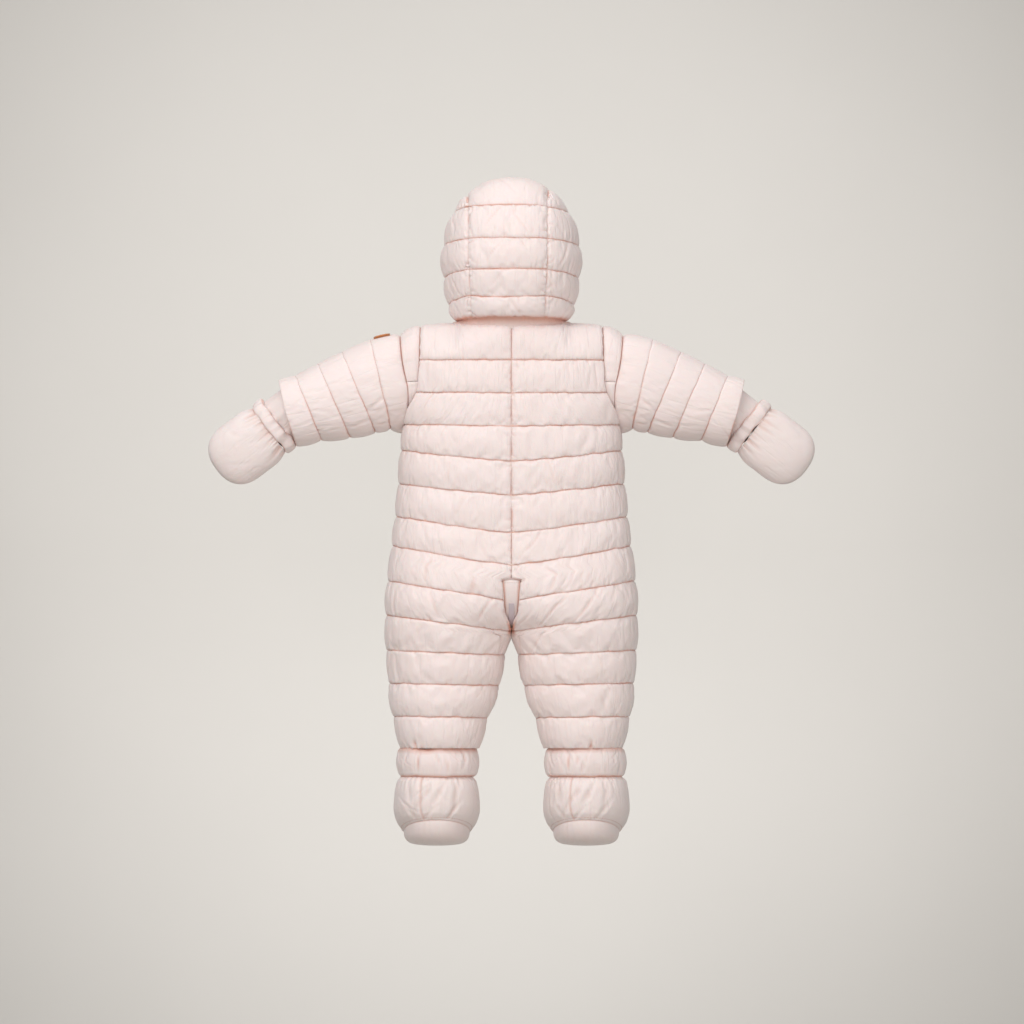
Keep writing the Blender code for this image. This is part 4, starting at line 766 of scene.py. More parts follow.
class Panel:
    """One cut piece on a grid: rows run down it, columns across. `lines` are its stitched rows."""

    def __init__(self, name, base, normals, heights, places, lines, round_it=False, seed=0):
        self.name = name
        self.base = base
        self.under = base.copy()
        self.normals = normals
        self.heights = heights
        self.places = np.asarray(places, float)
        self.lines = list(lines)
        self.round_it = round_it
        self.rng = np.random.default_rng(seed)
        self.outer = base + normals * heights[..., None]
        # How much painted shade each point gets, deep in seams, folds and shaded gaps (on the leather patch, its darker
        # edge).
        self.crease = np.zeros(base.shape[:2])

    def held(self):
        """The vertices that are sewn down."""
        ids = np.arange(self.base.shape[0] * self.base.shape[1]).reshape(self.base.shape[:2])
        kept = [ids[r] for r in self.lines]
        if not self.round_it:
            kept += [ids[:, 0], ids[:, -1]]
        return [int(i) for i in np.unique(np.concatenate(kept))]

    def channels(self):
        return zip(self.lines[:-1], self.lines[1:])

    def across(self, row):
        """How far each column of a row lies from its first, and the row's whole length."""
        points = self.outer[row]
        step = np.linalg.norm(np.diff(points, axis=0), axis=1)
        at = np.concatenate([[0], np.cumsum(step)])
        close = float(np.linalg.norm(points[0] - points[-1])) if self.round_it else 0.0
        return at, float(at[-1]) + close

    def raise_lines(self, share, tall):
        """Brings the stitched lines out to a share of the crests' height, so that they lie shallow."""
        share = share * np.ones(self.base.shape[:2])
        self.base = self.base + self.normals * (tall * share)[..., None]
        self.heights = self.heights * (1 - share)

    def refine(self):
        """Twice as fine each way."""
        grids = (self.base, self.under, self.normals, self.outer)
        self.base, self.under, self.normals, self.outer = (
            refine(grid, self.lines, self.round_it) for grid in grids
        )
        self.normals = unit(self.normals)
        finer = [
            np.interp(np.arange(2 * (b - a)) / 2, np.arange(b - a + 1), [0.0, *self.places[a + 1 : b], 1.0])
            for a, b in self.channels()
        ]
        self.places = np.concatenate([*finer, [1.0]])
        self.crease = refine(self.crease[..., None], self.lines, self.round_it)[..., 0]
        self.lines = [2 * r for r in self.lines]


def uneven(panel, wave, lump):
    """Lets the stitched lines wander a little, and some lengths of a channel hold more down."""
    columns = panel.base.shape[1]
    at, length = panel.across(panel.lines[-1] // 2)
    loop = length if panel.round_it else None
    edge = np.ones(columns) if panel.round_it else np.sin(np.linspace(0, 1, columns) * math.pi) ** 0.4
    down = unit(np.gradient(panel.base, axis=0))
    shifts = [ripple(panel.rng, at, 13, loop) * wave * edge for _ in panel.lines]
    shifts[0] = shifts[-1] = np.zeros(columns)
    for c, (a, b) in enumerate(panel.channels()):
        share = np.clip((np.arange(a, b + 1) - a) / (b - a), 0, 1)[:, None]
        move = shifts[c] * (1 - share) + shifts[c + 1] * share
        panel.base[a:b] += down[a:b] * move[:-1, :, None]
        full = 1 + lump * (ripple(panel.rng, at, 38, loop) + 0.5 * ripple(panel.rng, at, 15, loop))
        panel.heights[a + 1 : b] *= full
    panel.outer = panel.base + panel.normals * panel.heights[..., None]


def settle(panels, full=1.0):
    """Fills the channels: Blender's cloth blows each piece out between its stitched lines.

    `full` is how much of the cloth's own shape is kept, from the plain shape at 0 to all of it at 1.
    """
    things = []
    for panel in panels:
        rows, columns = panel.base.shape[:2]
        ids = np.arange(rows * columns).reshape(rows, columns)
        faces = facing_out(panel.outer, panel.normals, grid_faces(ids, panel.round_it))
        mesh = bpy.data.meshes.new("settling")
        mesh.from_pydata((panel.outer.reshape(-1, 3) * MM).tolist(), [], faces.tolist())
        thing = bpy.data.objects.new("settling", mesh)
        bpy.context.scene.collection.objects.link(thing)
        group = thing.vertex_groups.new(name="sewn")
        group.add(panel.held(), 1.0, "REPLACE")
        cloth = thing.modifiers.new("Cloth", "CLOTH")
        cloth.collision_settings.use_collision = False
        stuff = cloth.settings
        stuff.quality = 4
        stuff.mass = 0.15
        stuff.tension_stiffness = stuff.compression_stiffness = 12
        stuff.shear_stiffness = 4
        stuff.bending_stiffness = 0.3
        stuff.tension_damping = stuff.compression_damping = 8
        stuff.shear_damping = 5
        stuff.air_damping = 2
        stuff.vertex_group_mass = "sewn"
        stuff.use_pressure = True
        stuff.uniform_pressure_force = bpy.context.scene.snowsuit_cloth.pressure
        stuff.shrink_min = -bpy.context.scene.snowsuit_cloth.ease
        stuff.effector_weights.gravity = 0
        things.append(thing)
    for number in range(1, SETTLE_FRAMES + 1):
        bpy.context.scene.frame_set(number)
    depsgraph = bpy.context.evaluated_depsgraph_get()
    for panel, thing in zip(panels, things):
        flat = np.zeros(panel.base.size, np.float32)
        thing.evaluated_get(depsgraph).data.vertices.foreach_get("co", flat)
        moved = flat.reshape(panel.base.shape).astype(float) / MM - panel.outer
        far = np.linalg.norm(moved, axis=-1, keepdims=True)
        moved *= np.minimum(1, SETTLE_CAP / np.maximum(far, 1e-6))
        before = panel.outer
        panel.outer = panel.outer + moved
        rise = ((panel.outer - panel.base) * panel.normals).sum(-1)
        aim = ((before - panel.base) * panel.normals).sum(-1)
        crest = aim > aim.max() * 0.8
        share = float(aim[crest].mean() / max(rise[crest].mean(), 1e-6))
        panel.outer = panel.base + (panel.outer - panel.base) * share
        panel.outer = before + (panel.outer - before) * full
        mesh = thing.data
        bpy.data.objects.remove(thing, do_unlink=True)
        bpy.data.meshes.remove(mesh)
    bpy.context.scene.frame_set(1)


def trough(across, down, at, slant, width, depth, start, end, loop):
    """A soft crease over a channel: its place along the line, its slant, and how far down it runs."""
    off = across - at - slant * down
    if loop:
        off = (off + loop / 2) % loop - loop / 2
    t = (off / width) ** 2
    middle, half = (start + end) / 2, (end - start) / 2
    fade = np.clip(1 - ((down - middle) / half) ** 2, 0, 1)
    return -depth * (1 - 0.75 * t) * np.exp(-t / 2) * fade


def pucker(panel, amount, spacing, creases=(), sag=2.2):
    """Puckers on both sides of each stitched line, a few long creases, and the down's sag, with painted shade along the
    lines and in the puckers.
    """
    rng = panel.rng
    normals = grid_normals(panel.outer, panel.round_it)
    if (normals * panel.normals).sum() < 0:
        normals = -normals
    down_way = unit(np.gradient(panel.base, axis=0))
    for c, (a, b) in enumerate(panel.channels()):
        at, length = panel.across((a + b) // 2)
        loop = length if panel.round_it else None
        tall = np.linalg.norm(panel.base[b] - panel.base[a], axis=-1)[None]
        share = panel.places[a : b + 1].copy()
        share[0], share[-1] = 0.0, 1.0
        s = share[:, None] * tall
        move = np.zeros(s.shape)
        for from_below in (False, True):
            place = rng.uniform(0, spacing)
            way = tall - s if from_below else s
            while place < length:
                reach = rng.uniform(5, 13) if rng.random() < 0.8 else rng.uniform(14, 28)
                width = rng.uniform(1.0, 1.9)
                depth = amount * rng.uniform(0.2, 1.0) * (1.3 if reach > 13 else 1.0)
                slant = rng.normal(0, 0.4)
                move += trough(at[None], way, place, slant, width, depth, -reach * 0.45, reach, loop)
                place += spacing * rng.uniform(0.45, 1.8)
        for where, place, slant, start, end, depth, width in creases:
            if where == c:
                spot = place * length
                move += trough(at[None], s, spot, slant, width, depth, start * tall, end * tall, loop)
        sewn = np.clip(np.minimum(s, tall - s) / 1.6, 0, 1)
        if not panel.round_it:
            sewn = sewn * edge_rise(np.minimum(at, length - at)[None], 3.0)
        block = slice(a, b + 1)
        panel.outer[block] += normals[block] * (move * sewn)[..., None]
        swell = (sag * np.sqrt(np.clip(1 - (2 * share - 1) ** 2, 0, 1)) * share)[:, None]
        panel.outer[block] += down_way[block] * (swell * sewn)[..., None]
        # Painted shade in the puckers' troughs, and a dark band of it on each side of the stitched line.
        fold = np.clip(-move * 0.2, 0, 0.45) * sewn
        dark = [0.62 + 0.38 * ripple(rng, at, 16, loop) for _ in range(2)]
        above, below = np.exp(-((s / 0.9) ** 2)) * dark[0], np.exp(-(((tall - s) / 1.5) ** 2)) * dark[1]
        panel.crease[block] = np.maximum(panel.crease[block], np.maximum(above, below) + fold)


def pucker_seam(panel, column, depth):
    """Short puckers that run out from a seam along one side of a panel, with painted shade in them and a line of
    painted shade along the seam.
    """
    rng = panel.rng
    points = panel.outer[:, column]
    fall = np.concatenate([[0], np.cumsum(np.linalg.norm(np.diff(points, axis=0), axis=1))])
    order = slice(None) if column == 0 else slice(None, None, -1)
    outer, crease = panel.outer[:, order], panel.crease[:, order]
    normals = panel.normals[:, order]
    away = np.linalg.norm(np.diff(outer, axis=1), axis=-1)
    away = np.concatenate([np.zeros((len(outer), 1)), np.cumsum(away, axis=1)], axis=1)
    move = np.zeros(away.shape)
    place = rng.uniform(0, 6)
    while place < fall[-1]:
        reach, width = rng.uniform(5, 17), rng.uniform(0.9, 1.7)
        off = fall[:, None] - place - rng.normal(0, 0.4) * away
        fold = np.exp(-((off / width) ** 2) / 2) * (1 - 0.6 * (off / width) ** 2)
        move -= depth * rng.uniform(0.3, 1.0) * fold * np.clip(1 - away / reach, 0, 1)
        place += rng.uniform(3.0, 11.0)
    held = np.clip(away / 1.2, 0.25, 1)
    held[:2] = held[-2:] = 0.0
    outer += normals * (move * held)[..., None]
    # Painted shade in the puckers, and a line of it along the seam.
    np.maximum(crease, np.clip(-move * 0.16, 0, 0.35), out=crease)
    line = np.exp(-((away / 0.8) ** 2)) * (0.34 + 0.3 * ripple(rng, fall, 12))[:, None]
    np.maximum(crease, line, out=crease)


def rim_faces(outer, inner, keep):
    """Triangles between an outer chain of points and the inner chain under its kept points."""
    faces = []
    for k in range(len(keep) - 1):
        first, last = keep[k], keep[k + 1]
        turn = (first + last + 1) // 2
        faces += [(inner[k], outer[i], outer[i + 1]) for i in range(first, turn)]
        faces.append((inner[k], outer[turn], inner[k + 1]))
        faces += [(inner[k + 1], outer[i], outer[i + 1]) for i in range(turn, last)]
    return faces


def inner_rows(panel):
    """The rows that the plain inside has: the stitched ones and one or two between."""
    keep = set(panel.lines)
    for a, b in panel.channels():
        parts = 2 if len(panel.lines) > 2 else max(2, (b - a) // 5)
        keep |= {a + round((b - a) * i / parts) for i in range(parts)}
    return sorted(keep)


def new_object(name, mesh, material, body=SUIT):
    """Puts a finished mesh in the scene and lets it ride on a body."""
    made = bpy.data.objects.new(name, mesh)
    mesh.materials.append(material)
    mesh.shade_smooth()
    mesh.set_sharp_from_angle(angle=SHARP_ANGLE)
    bpy.context.scene.collection.objects.link(made)
    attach(made, body)
    return made


def close_wall(panel, node, material, thick=WALL):
    """Gives a panel its plain inside, and states the cloth it was cut from."""
    rows, columns = panel.base.shape[:2]
    keep = inner_rows(panel)
    inner = (panel.under - panel.normals * thick)[keep]
    points = np.concatenate([panel.outer.reshape(-1, 3), inner.reshape(-1, 3)]) * MM
    out_id = np.arange(rows * columns).reshape(rows, columns)
    in_id = rows * columns + np.arange(len(keep) * columns).reshape(len(keep), columns)
    faces = [tuple(f) for f in grid_faces(out_id, panel.round_it).tolist()]
    faces += [tuple(f) for f in grid_faces(in_id, panel.round_it).tolist()]
    for r, s in ((0, 0), (rows - 1, len(keep) - 1)):
        for i in range(columns if panel.round_it else columns - 1):
            j = (i + 1) % columns
            faces.append((int(out_id[r, i]), int(out_id[r, j]), int(in_id[s, j]), int(in_id[s, i])))
    if not panel.round_it:
        for c in (0, columns - 1):
            faces += rim_faces(out_id[:, c].tolist(), in_id[:, c].tolist(), keep)
    mesh = bpy.data.meshes.new(panel.name)
    mesh.from_pydata(points.tolist(), [], faces)
    shape = bmesh.new()
    shape.from_mesh(mesh)
    bmesh.ops.recalc_face_normals(shape, faces=shape.faces)
    shape.to_mesh(mesh)
    shape.free()
    put_attributes(mesh, panel, keep)
    made = new_object(panel.name, mesh, material)
    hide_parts(node)
    return made


def put_attributes(mesh, panel, keep):
    """Stores each point's painted shade, strongest deep in seams and folds (on the leather patch, its darker edge), and
    the cloth's own coordinates in metres.
    """
    crease = np.concatenate([panel.crease.ravel(), np.zeros(len(keep) * panel.base.shape[1])])
    layer = mesh.attributes.new("crease", "FLOAT", "POINT")
    layer.data.foreach_set("value", np.clip(crease, 0, 1).astype(np.float32))
    at, _ = panel.across(panel.base.shape[0] // 2)
    fall = np.linalg.norm(np.diff(panel.base[:, panel.base.shape[1] // 2], axis=0), axis=-1)
    down = np.concatenate([[0], np.cumsum(fall)])
    flat = np.stack(np.broadcast_arrays(at[None], down[:, None]), axis=-1) * MM
    every = np.concatenate([flat.reshape(-1, 2), flat[keep].reshape(-1, 2)])
    corners = np.zeros(len(mesh.loops), np.int32)
    mesh.loops.foreach_get("vertex_index", corners)
    mesh.uv_layers.new(name="cloth").data.foreach_set("uv", every[corners].astype(np.float32).ravel())


def thread(points, normals, pitch=3.3, stitch=2.3, radius=0.27, sunk=0.05):
    """Stitches along a line: short four-sided bars. Returns their points and faces."""
    step = np.linalg.norm(np.diff(points, axis=0), axis=1)
    at = np.concatenate([[0], np.cumsum(step)])
    starts = np.arange(pitch * 0.3, at[-1] - stitch, pitch)
    spots, faces = [], []
    for start in starts:
        ends = [np.array([np.interp(x, at, points[:, k]) for k in range(3)]) for x in (start, start + stitch)]
        up = np.array([np.interp(start, at, normals[:, k]) for k in range(3)])
        along = unit(ends[1] - ends[0])
        side = unit(np.cross(along, up))
        up = np.cross(side, along)
        first = len(spots)
        for end, thin in ((0, 0.55), (1, 0.55)):
            middle = ends[end] + up * (radius * 0.6 - sunk)
            for way in (side, up, -side, -up):
                spots.append(middle + way * radius * (thin if way is not up else 1.0))
        faces += [(first, first + 1, first + 2, first + 3), (first + 7, first + 6, first + 5, first + 4)]
        for k in range(4):
            j = (k + 1) % 4
            faces.append((first + k, first + 4 + k, first + 4 + j, first + j))
    return spots, faces


def sew(name, runs, material):
    """Joins runs of stitches into one piece."""
    points, faces = [], []
    for run in runs:
        more, quads = thread(*run)
        faces += [tuple(i + len(points) for i in f) for f in quads]
        points += more
    mesh = bpy.data.meshes.new(name)
    mesh.from_pydata([tuple(p * MM) for p in points], [], faces)
    shape = bmesh.new()
    shape.from_mesh(mesh)
    bmesh.ops.recalc_face_normals(shape, faces=shape.faces)
    shape.to_mesh(mesh)
    shape.free()
    made = new_object(name, mesh, material)
    return made


def line_runs(panel, rows=None):
    """The stitched rows of a panel, as runs for the thread."""
    rows = panel.lines[1:-1] if rows is None else rows
    runs = []
    for r in rows:
        points, normals = panel.outer[r], panel.normals[r]
        if panel.round_it:
            points = np.concatenate([points, points[:1]])
            normals = np.concatenate([normals, normals[:1]])
        runs.append((points, normals))
    return runs
# ---------------------------------------------------------------- body panels


def channel_places(count, special=None):
    """Each row's channel and its place in it. A special place takes the nearest row's."""
    places = []
    for c in range(count):
        within = list(steps(CHANNEL_ROWS, 0.5)[:-1])
        if special and c in special:
            nearest = int(np.argmin([abs(v - special[c]) for v in within]))
            within[nearest] = special[c]
        places += [(c, float(v)) for v in within]
    places.append((count - 1, 1.0))
    return places


BODY_PLACES = channel_places(len(LINES["centre"]) - 1, dict([UNDERARM, GUSSET_TOP, CROTCH]))
UNDERARM_ROW = BODY_PLACES.index(UNDERARM)
GUSSET_ROW = BODY_PLACES.index(GUSSET_TOP)
CROTCH_ROW = BODY_PLACES.index(CROTCH)
BODY_COLUMNS = 52


def top_edge_point(at, front):
    """The neck seam and then the shoulder seam, from the centre at 0 to the armhole at 1."""
    if at <= NECK_AT:
        turn = at / NECK_AT * math.pi / 2
        y, z = NECK_FRONT if front else NECK_BACK
        x0 = ZIP_HALF_GAP if front else 0.0
        x = x0 + (NECK_SHOULDER[0] - x0) * math.sin(turn)
        height = NECK_SHOULDER[1] + (z - NECK_SHOULDER[1]) * math.cos(turn)
        return np.array([x, y * math.cos(turn), height])
    f = (at - NECK_AT) / (1 - NECK_AT)
    x = NECK_SHOULDER[0] + (ARMHOLE["x"][0] - NECK_SHOULDER[0]) * f
    return np.array([x, 0.0, NECK_SHOULDER[1] + (SHOULDER_Z - NECK_SHOULDER[1]) * f])


def body_point(line, at, front):
    """A point on a body panel's base, also in the first channel, which turns over the shoulder."""
    if line >= 1.0:
        return body_row_point(line, at, front)
    top = top_edge_point(at, front)
    low = body_row_point(1.0, at, front)
    turn = line * math.pi / 2
    point = top + (low - top) * line
    point[1] = top[1] + (low[1] - top[1]) * math.sin(turn)
    point[2] = top[2] + (low[2] - top[2]) * (1 - math.cos(turn))
    return point


def body_grid(front):
    """The base of a body panel on the wearer's left, as a back panel, and the way it faces."""
    columns = steps(BODY_COLUMNS, 0.45)
    base = np.array([[body_point(c + v, float(at), front) for at in columns] for c, v in BODY_PLACES])
    normals = -grid_normals(base, False)
    neck = int(np.searchsorted(columns, NECK_AT))
    normals[:CROTCH_ROW, 0] = unit(normals[:CROTCH_ROW, 0] * FLAT_X)
    normals[CROTCH_ROW:, 0] = unit(normals[CROTCH_ROW:, 0] * FLAT_Y)
    normals[CROTCH_ROW, 0] = unit(np.array([-0.5, 0.0, -1.0]))
    normals[UNDERARM_ROW:, -1] = unit(normals[UNDERARM_ROW:, -1] * FLAT_Y)
    normals[0, neck:] = unit(normals[0, neck:] * FLAT_Y)
    normals[: UNDERARM_ROW + 1, -1] = armhole_directions(base[: UNDERARM_ROW + 1, -1])
    normals[-1] = unit(normals[-1] * FLAT_Z)
    base[:CROTCH_ROW, 0, 0] += HALF_SEAM
    base[GUSSET_ROW:CROTCH_ROW, 0, 0] += HALF_SEAM
    for column, share in enumerate((0.86, 0.6, 0.3)):
        above, level = base[GUSSET_ROW - 1, column], base[GUSSET_ROW, column]
        above[1:] += (level[1:] - above[1:]) * share
    base[CROTCH_ROW:, 0, 1] = HALF_SEAM
    base[UNDERARM_ROW:, -1, 1] = HALF_SEAM
    base[0, neck:, 1] = HALF_SEAM
    base[: UNDERARM_ROW + 1, -1, 0] -= HALF_SEAM
    return base, normals, columns


def body_lift(columns):
    """How much of the down's lift each column has: none at the centre, some at the side."""
    side = SIDE_LIFT + (1 - SIDE_LIFT) * edge_rise(1 - columns, 0.1)
    return edge_rise(columns, 0.055) * side


def body_panels():
    """The two backs and the two fronts, filled together."""
    panels = []
    columns_at = None
    rows_at = [v for c, v in BODY_PLACES]
    lines = [i for i, v in enumerate(rows_at) if v in (0.0, 1.0)]
    places = [0.0 if v == 1.0 else v for v in rows_at]
    grids = {front: body_grid(front) for front in (False, True)}
    for front, word in ((False, "back"), (True, "front")):
        for number, (side, sign) in enumerate(SIDES):
            base, normals, columns_at = grids[front]
            signs = np.array([sign, -1 if front else 1, 1])
            heights = PUFF * np.outer(lift(rows_at), body_lift(columns_at))
            panel = Panel(
                f"{word}_{side}_quilted",
                base * signs,
                normals * signs,
                heights,
                places,
                lines,
                seed=(11, 23, 37, 41)[number + 2 * front],
            )
            panel.raise_lines(LINE_SHARE * body_raise(columns_at, front), PUFF)
            uneven(panel, LINE_WAVE, LUMP)
            ease_corner(panel, int(np.searchsorted(columns_at, NECK_AT)))
            panels.append(panel)
    return panels


def ease_corner(panel, column):
    """Softens the first channel where the neck seam turns into the shoulder seam."""
    rows, near = slice(1, panel.lines[1] + 1), slice(column - 6, column + 7)
    for grid in (panel.base, panel.outer):
        for _ in range(14):
            part = grid[rows, near]
            part[:, 1:-1] = (part[:, :-2] + 2 * part[:, 1:-1] + part[:, 2:]) / 4


def body_raise(columns, front):
    """How far each spot of a body panel's lines comes out: less at the neck, zip and armhole."""
    rows = np.array([c + v for c, v in BODY_PLACES])
    crotch = sum(CROTCH)
    neck = edge_rise(rows, 0.8)
    armhole = np.clip((rows - sum(UNDERARM)) / 0.6 + 0.5, 0.1, 1)
    middle = 0.0 if front else 0.5
    middle = np.where(rows > crotch, np.clip((rows - crotch) / 0.9, 0.15, 1), middle)
    inward = middle[:, None] + (1 - middle[:, None]) * edge_rise(columns, 0.1)[None]
    outward = armhole[:, None] + (1 - armhole[:, None]) * edge_rise(1 - columns, 0.15)[None]
    leg = np.clip((rows - crotch) / 0.9, 0, 1)[:, None] * (1 - edge_rise(columns, 0.2))[None]
    return neck[:, None] * inward * outward * (1 + 0.7 * leg)


# The longest creases of the back: the channel from the top, the place across from the
# centre at 0, the slant, where it starts and ends in the channel, its depth and its width.
BACK_CREASES = {
    "left": (
        (4, 0.42, 0.1, 0.1, 0.95, 0.8, 2.6),
        (5, 0.30, 0.5, 0.0, 0.75, 0.8, 3.0),
        (6, 0.24, -0.3, 0.2, 1.0, 0.7, 2.6),
        (7, 0.13, 0.7, 0.3, 1.05, 1.3, 2.6),
        (7, 0.50, 0.25, 0.0, 0.9, 1.2, 2.8),
        (8, 0.09, 0.9, -0.1, 0.9, 1.5, 2.6),
        (8, 0.46, 0.15, 0.1, 0.9, 1.2, 3.0),
        (8, 0.74, 0.3, 0.1, 0.9, 0.9, 3.0),
        (9, 0.22, -0.5, 0.0, 0.8, 0.8, 2.6),
        (10, 0.85, 0.7, 0.2, 1.0, 0.9, 2.6),
        (11, 0.20, -0.6, 0.2, 1.1, 0.9, 3.0),
        (12, 0.70, 0.0, 0.62, 1.25, 2.6, 2.4),
    ),
    "right": (
        (4, 0.25, 0.3, 0.0, 0.8, 0.8, 2.6),
        (6, 0.20, -0.7, -0.1, 0.9, 1.1, 2.8),
        (7, 0.22, 0.2, 0.1, 0.95, 1.3, 2.4),
        (7, 0.36, 0.0, 0.0, 0.9, 1.0, 2.2),
        (7, 0.41, 0.1, 0.1, 0.8, 0.8, 2.0),
        (8, 0.30, -0.35, 0.0, 1.0, 1.5, 2.6),
        (8, 0.50, -0.3, 0.0, 1.05, 1.5, 2.6),
        (8, 0.17, -0.5, 0.2, 1.0, 0.9, 2.4),
        (9, 0.20, -0.6, 0.0, 0.9, 1.2, 2.8),
        (9, 0.36, -1.0, 0.0, 1.0, 1.2, 2.8),
        (10, 0.12, -0.9, 0.1, 1.1, 1.4, 2.8),
        (11, 0.60, 0.4, 0.2, 0.9, 0.7, 2.8),
        (12, 0.56, 0.0, 0.62, 1.25, 2.6, 2.4),
    ),
}


# ---------------------------------------------------------------- shoulder strips and sleeves


def strip_edge(ring):
    """The far edge of the shoulder strip, where the sleeve's head is sewn."""
    width = np.array([smooth(STRIP, "width", "z", z) for z in ring[:, 2]])
    edge = ring.copy()
    edge[:, 0] += width
    share = (ring[:, 2] - STRIP_FALL_END_Z) / (SHOULDER_Z - STRIP_FALL_END_Z)
    edge[:, 2] -= width * STRIP_FALL * np.clip(share, 0, 1)
    return edge


# Points round the armhole, from the top down to the cross seam, the strip's end and the underarm.
CROSS_COUNT, END_COUNT, UNDER_COUNT = 34, 16, 14


def armhole_ring():
    """The armhole seam as a closed ring: the back half from the top down, then the front up."""
    cross, end, under = sum(CROSS_SEAM), sum(STRIP_END), sum(UNDERARM)
    lines = np.concatenate(
        [
            np.linspace(0, cross, CROSS_COUNT, endpoint=False),
            np.linspace(cross, end, END_COUNT, endpoint=False),
            np.linspace(end, under, UNDER_COUNT),
        ]
    )
    back = np.array([body_point(float(t), 1.0, False) for t in lines])
    front = (back * np.array([1.0, -1.0, 1.0]))[1:-1][::-1]
    return np.concatenate([back, front])


def strip_panel(name, ring, directions, rows, sign, seed):
    """A part of the strip between the armhole and the sleeve's head, over the given rows."""
    edge = strip_edge(ring)
    near, far = ring[rows] + [SEAM, 0, 0], edge[rows] - [HALF_SEAM, 0, 0]
    across = steps(10, 0.5)
    base = near[:, None] * (1 - across[None, :, None]) + far[:, None] * across[None, :, None]
    facing = np.repeat(directions[rows][:, None], len(across), axis=1)
    width = np.linalg.norm(far - near, axis=1)
    ends = np.minimum(np.arange(len(rows)), np.arange(len(rows))[::-1])
    crown = STRIP_CROWN * width * (STRIP_END_CROWN + (1 - STRIP_END_CROWN) * edge_rise(ends, 4))
    heights = np.outer(crown, lift(across))
    for end, way in ((0, 1), (-1, -1)):
        base[end] += unit(base[end + way] - base[end]) * HALF_SEAM
    flip = np.array([sign, 1, 1])
    count = len(rows)
    places = np.linspace(0, 1, count)
    panel = Panel(name, base * flip, facing * flip, heights, places, [0, count - 1], seed=seed)
    rng = panel.rng
    for _ in range(count // 4):
        row, depth, wide = rng.uniform(1, count - 2), rng.uniform(0.2, 0.9), rng.uniform(0.8, 1.8)
        shade = np.exp(-(((np.arange(count) - row) / wide) ** 2))
        panel.heights -= np.outer(shade * depth, lift(across) * rng.uniform(0.4, 1, len(across)))
    panel.outer = panel.base + panel.normals * np.maximum(panel.heights, 0)[..., None]
    panel.refine()
    # Painted shade along both seams of the strip.
    panel.crease[:, [0, -1]] = 1.0
    panel.crease[:, [1, -2]] = 0.5
    return panel


def shoulder_strips(side, sign):
    """The strip over the shoulder, and its small tips behind and in front."""
    ring = armhole_ring()
    directions = armhole_directions(ring)
    cross, end, count = CROSS_COUNT, CROSS_COUNT + END_COUNT, len(ring)
    over = [i % count for i in range(-cross, cross + 1)]
    behind = list(range(cross, end + 1))
    before = [count - i for i in behind]
    return [
        strip_panel(f"shoulder_strip_{side}_cloth", ring, directions, over, sign, 51 + sign),
        strip_panel(f"strip_tip_back_{side}_cloth", ring, directions, behind, sign, 61 + sign),
        strip_panel(f"strip_tip_front_{side}_cloth", ring, directions, before, sign, 71 + sign),
    ]


def even_ring(ring, count):
    """The same closed ring in points at even distances, from the same start."""
    closed = np.concatenate([ring, ring[:1]])
    at = np.concatenate([[0], np.cumsum(np.linalg.norm(np.diff(closed, axis=0), axis=1))])
    spots = np.arange(count) * at[-1] / count
    return np.stack([np.interp(spots, at, closed[:, k]) for k in range(3)], axis=1)


def sleeve_line(row):
    """A quilting line round the sleeve, from its top round behind and back up in front."""
    top = np.array([SLEEVE["top_x"][row], 0.0, SLEEVE["top_z"][row]])
    low = np.array([SLEEVE["low_x"][row], 0.0, SLEEVE["low_z"][row]])
    middle, half = (top + low) / 2, (top - low) / 2
    ring = []
    for turn in np.linspace(0, 2 * math.pi, 240, endpoint=False):
        point = middle + half * math.copysign(abs(math.cos(turn)) ** SLEEVE_ROUND, math.cos(turn))
        reach = math.copysign(abs(math.sin(turn)) ** SLEEVE_ROUND, math.sin(turn))
        point[1] = SLEEVE["half_depth"][row] * reach
        ring.append(point)
    return even_ring(np.array(ring), SLEEVE_COLUMNS)


SLEEVE_COLUMNS = 84


def sleeve_panel(side, sign, seed):
    """A sleeve, from its head at the strip to its hem, before it is filled."""
    head = even_ring(strip_edge(armhole_ring()), SLEEVE_COLUMNS)
    armhole = even_ring(armhole_ring(), SLEEVE_COLUMNS)
    lines = [head] + [sleeve_line(r) for r in range(len(SLEEVE["top_x"]))]
    places = channel_places(len(lines) - 1)
    base = np.array([lines[c] * (1 - v) + lines[c + 1] * v for c, v in places])
    normals = grid_normals(base, True)
    normals[0] = armhole_directions(armhole)
    base[0, :, 0] += HALF_SEAM
    last = np.array([v if c == len(lines) - 2 else 0.0 for c, v in places])
    shorter = HEM_SHORTER * last[:, None] * np.clip(normals[..., 2], 0, 1)
    base -= shorter[..., None] * np.array([math.cos(MITTEN_SLOPE), 0.0, math.sin(MITTEN_SLOPE)])
    rows_at = [v for c, v in places]
    heights = SLEEVE_PUFF * np.repeat(lift(rows_at)[:, None], SLEEVE_COLUMNS, axis=1)
    held = [i for i, v in enumerate(rows_at) if v in (0.0, 1.0)]
    flip = np.array([sign, 1, 1])
    within = [0.0 if v == 1.0 else v for v in rows_at]
    name = f"sleeve_{side}_quilted"
    panel = Panel(name, base * flip, normals * flip, heights, within, held, True, seed)
    from_head = edge_rise(np.array([c + v for c, v in places]), 0.9)
    panel.raise_lines((0.62 + 0.2 * normals[..., 2]) * from_head[:, None], SLEEVE_PUFF)
    uneven(panel, LINE_WAVE, LUMP * 0.7)
    return panel


def surface(points, turned=False):
    """The way a small grid faces."""
    normals = grid_normals(points, False)
    return -normals if turned else normals


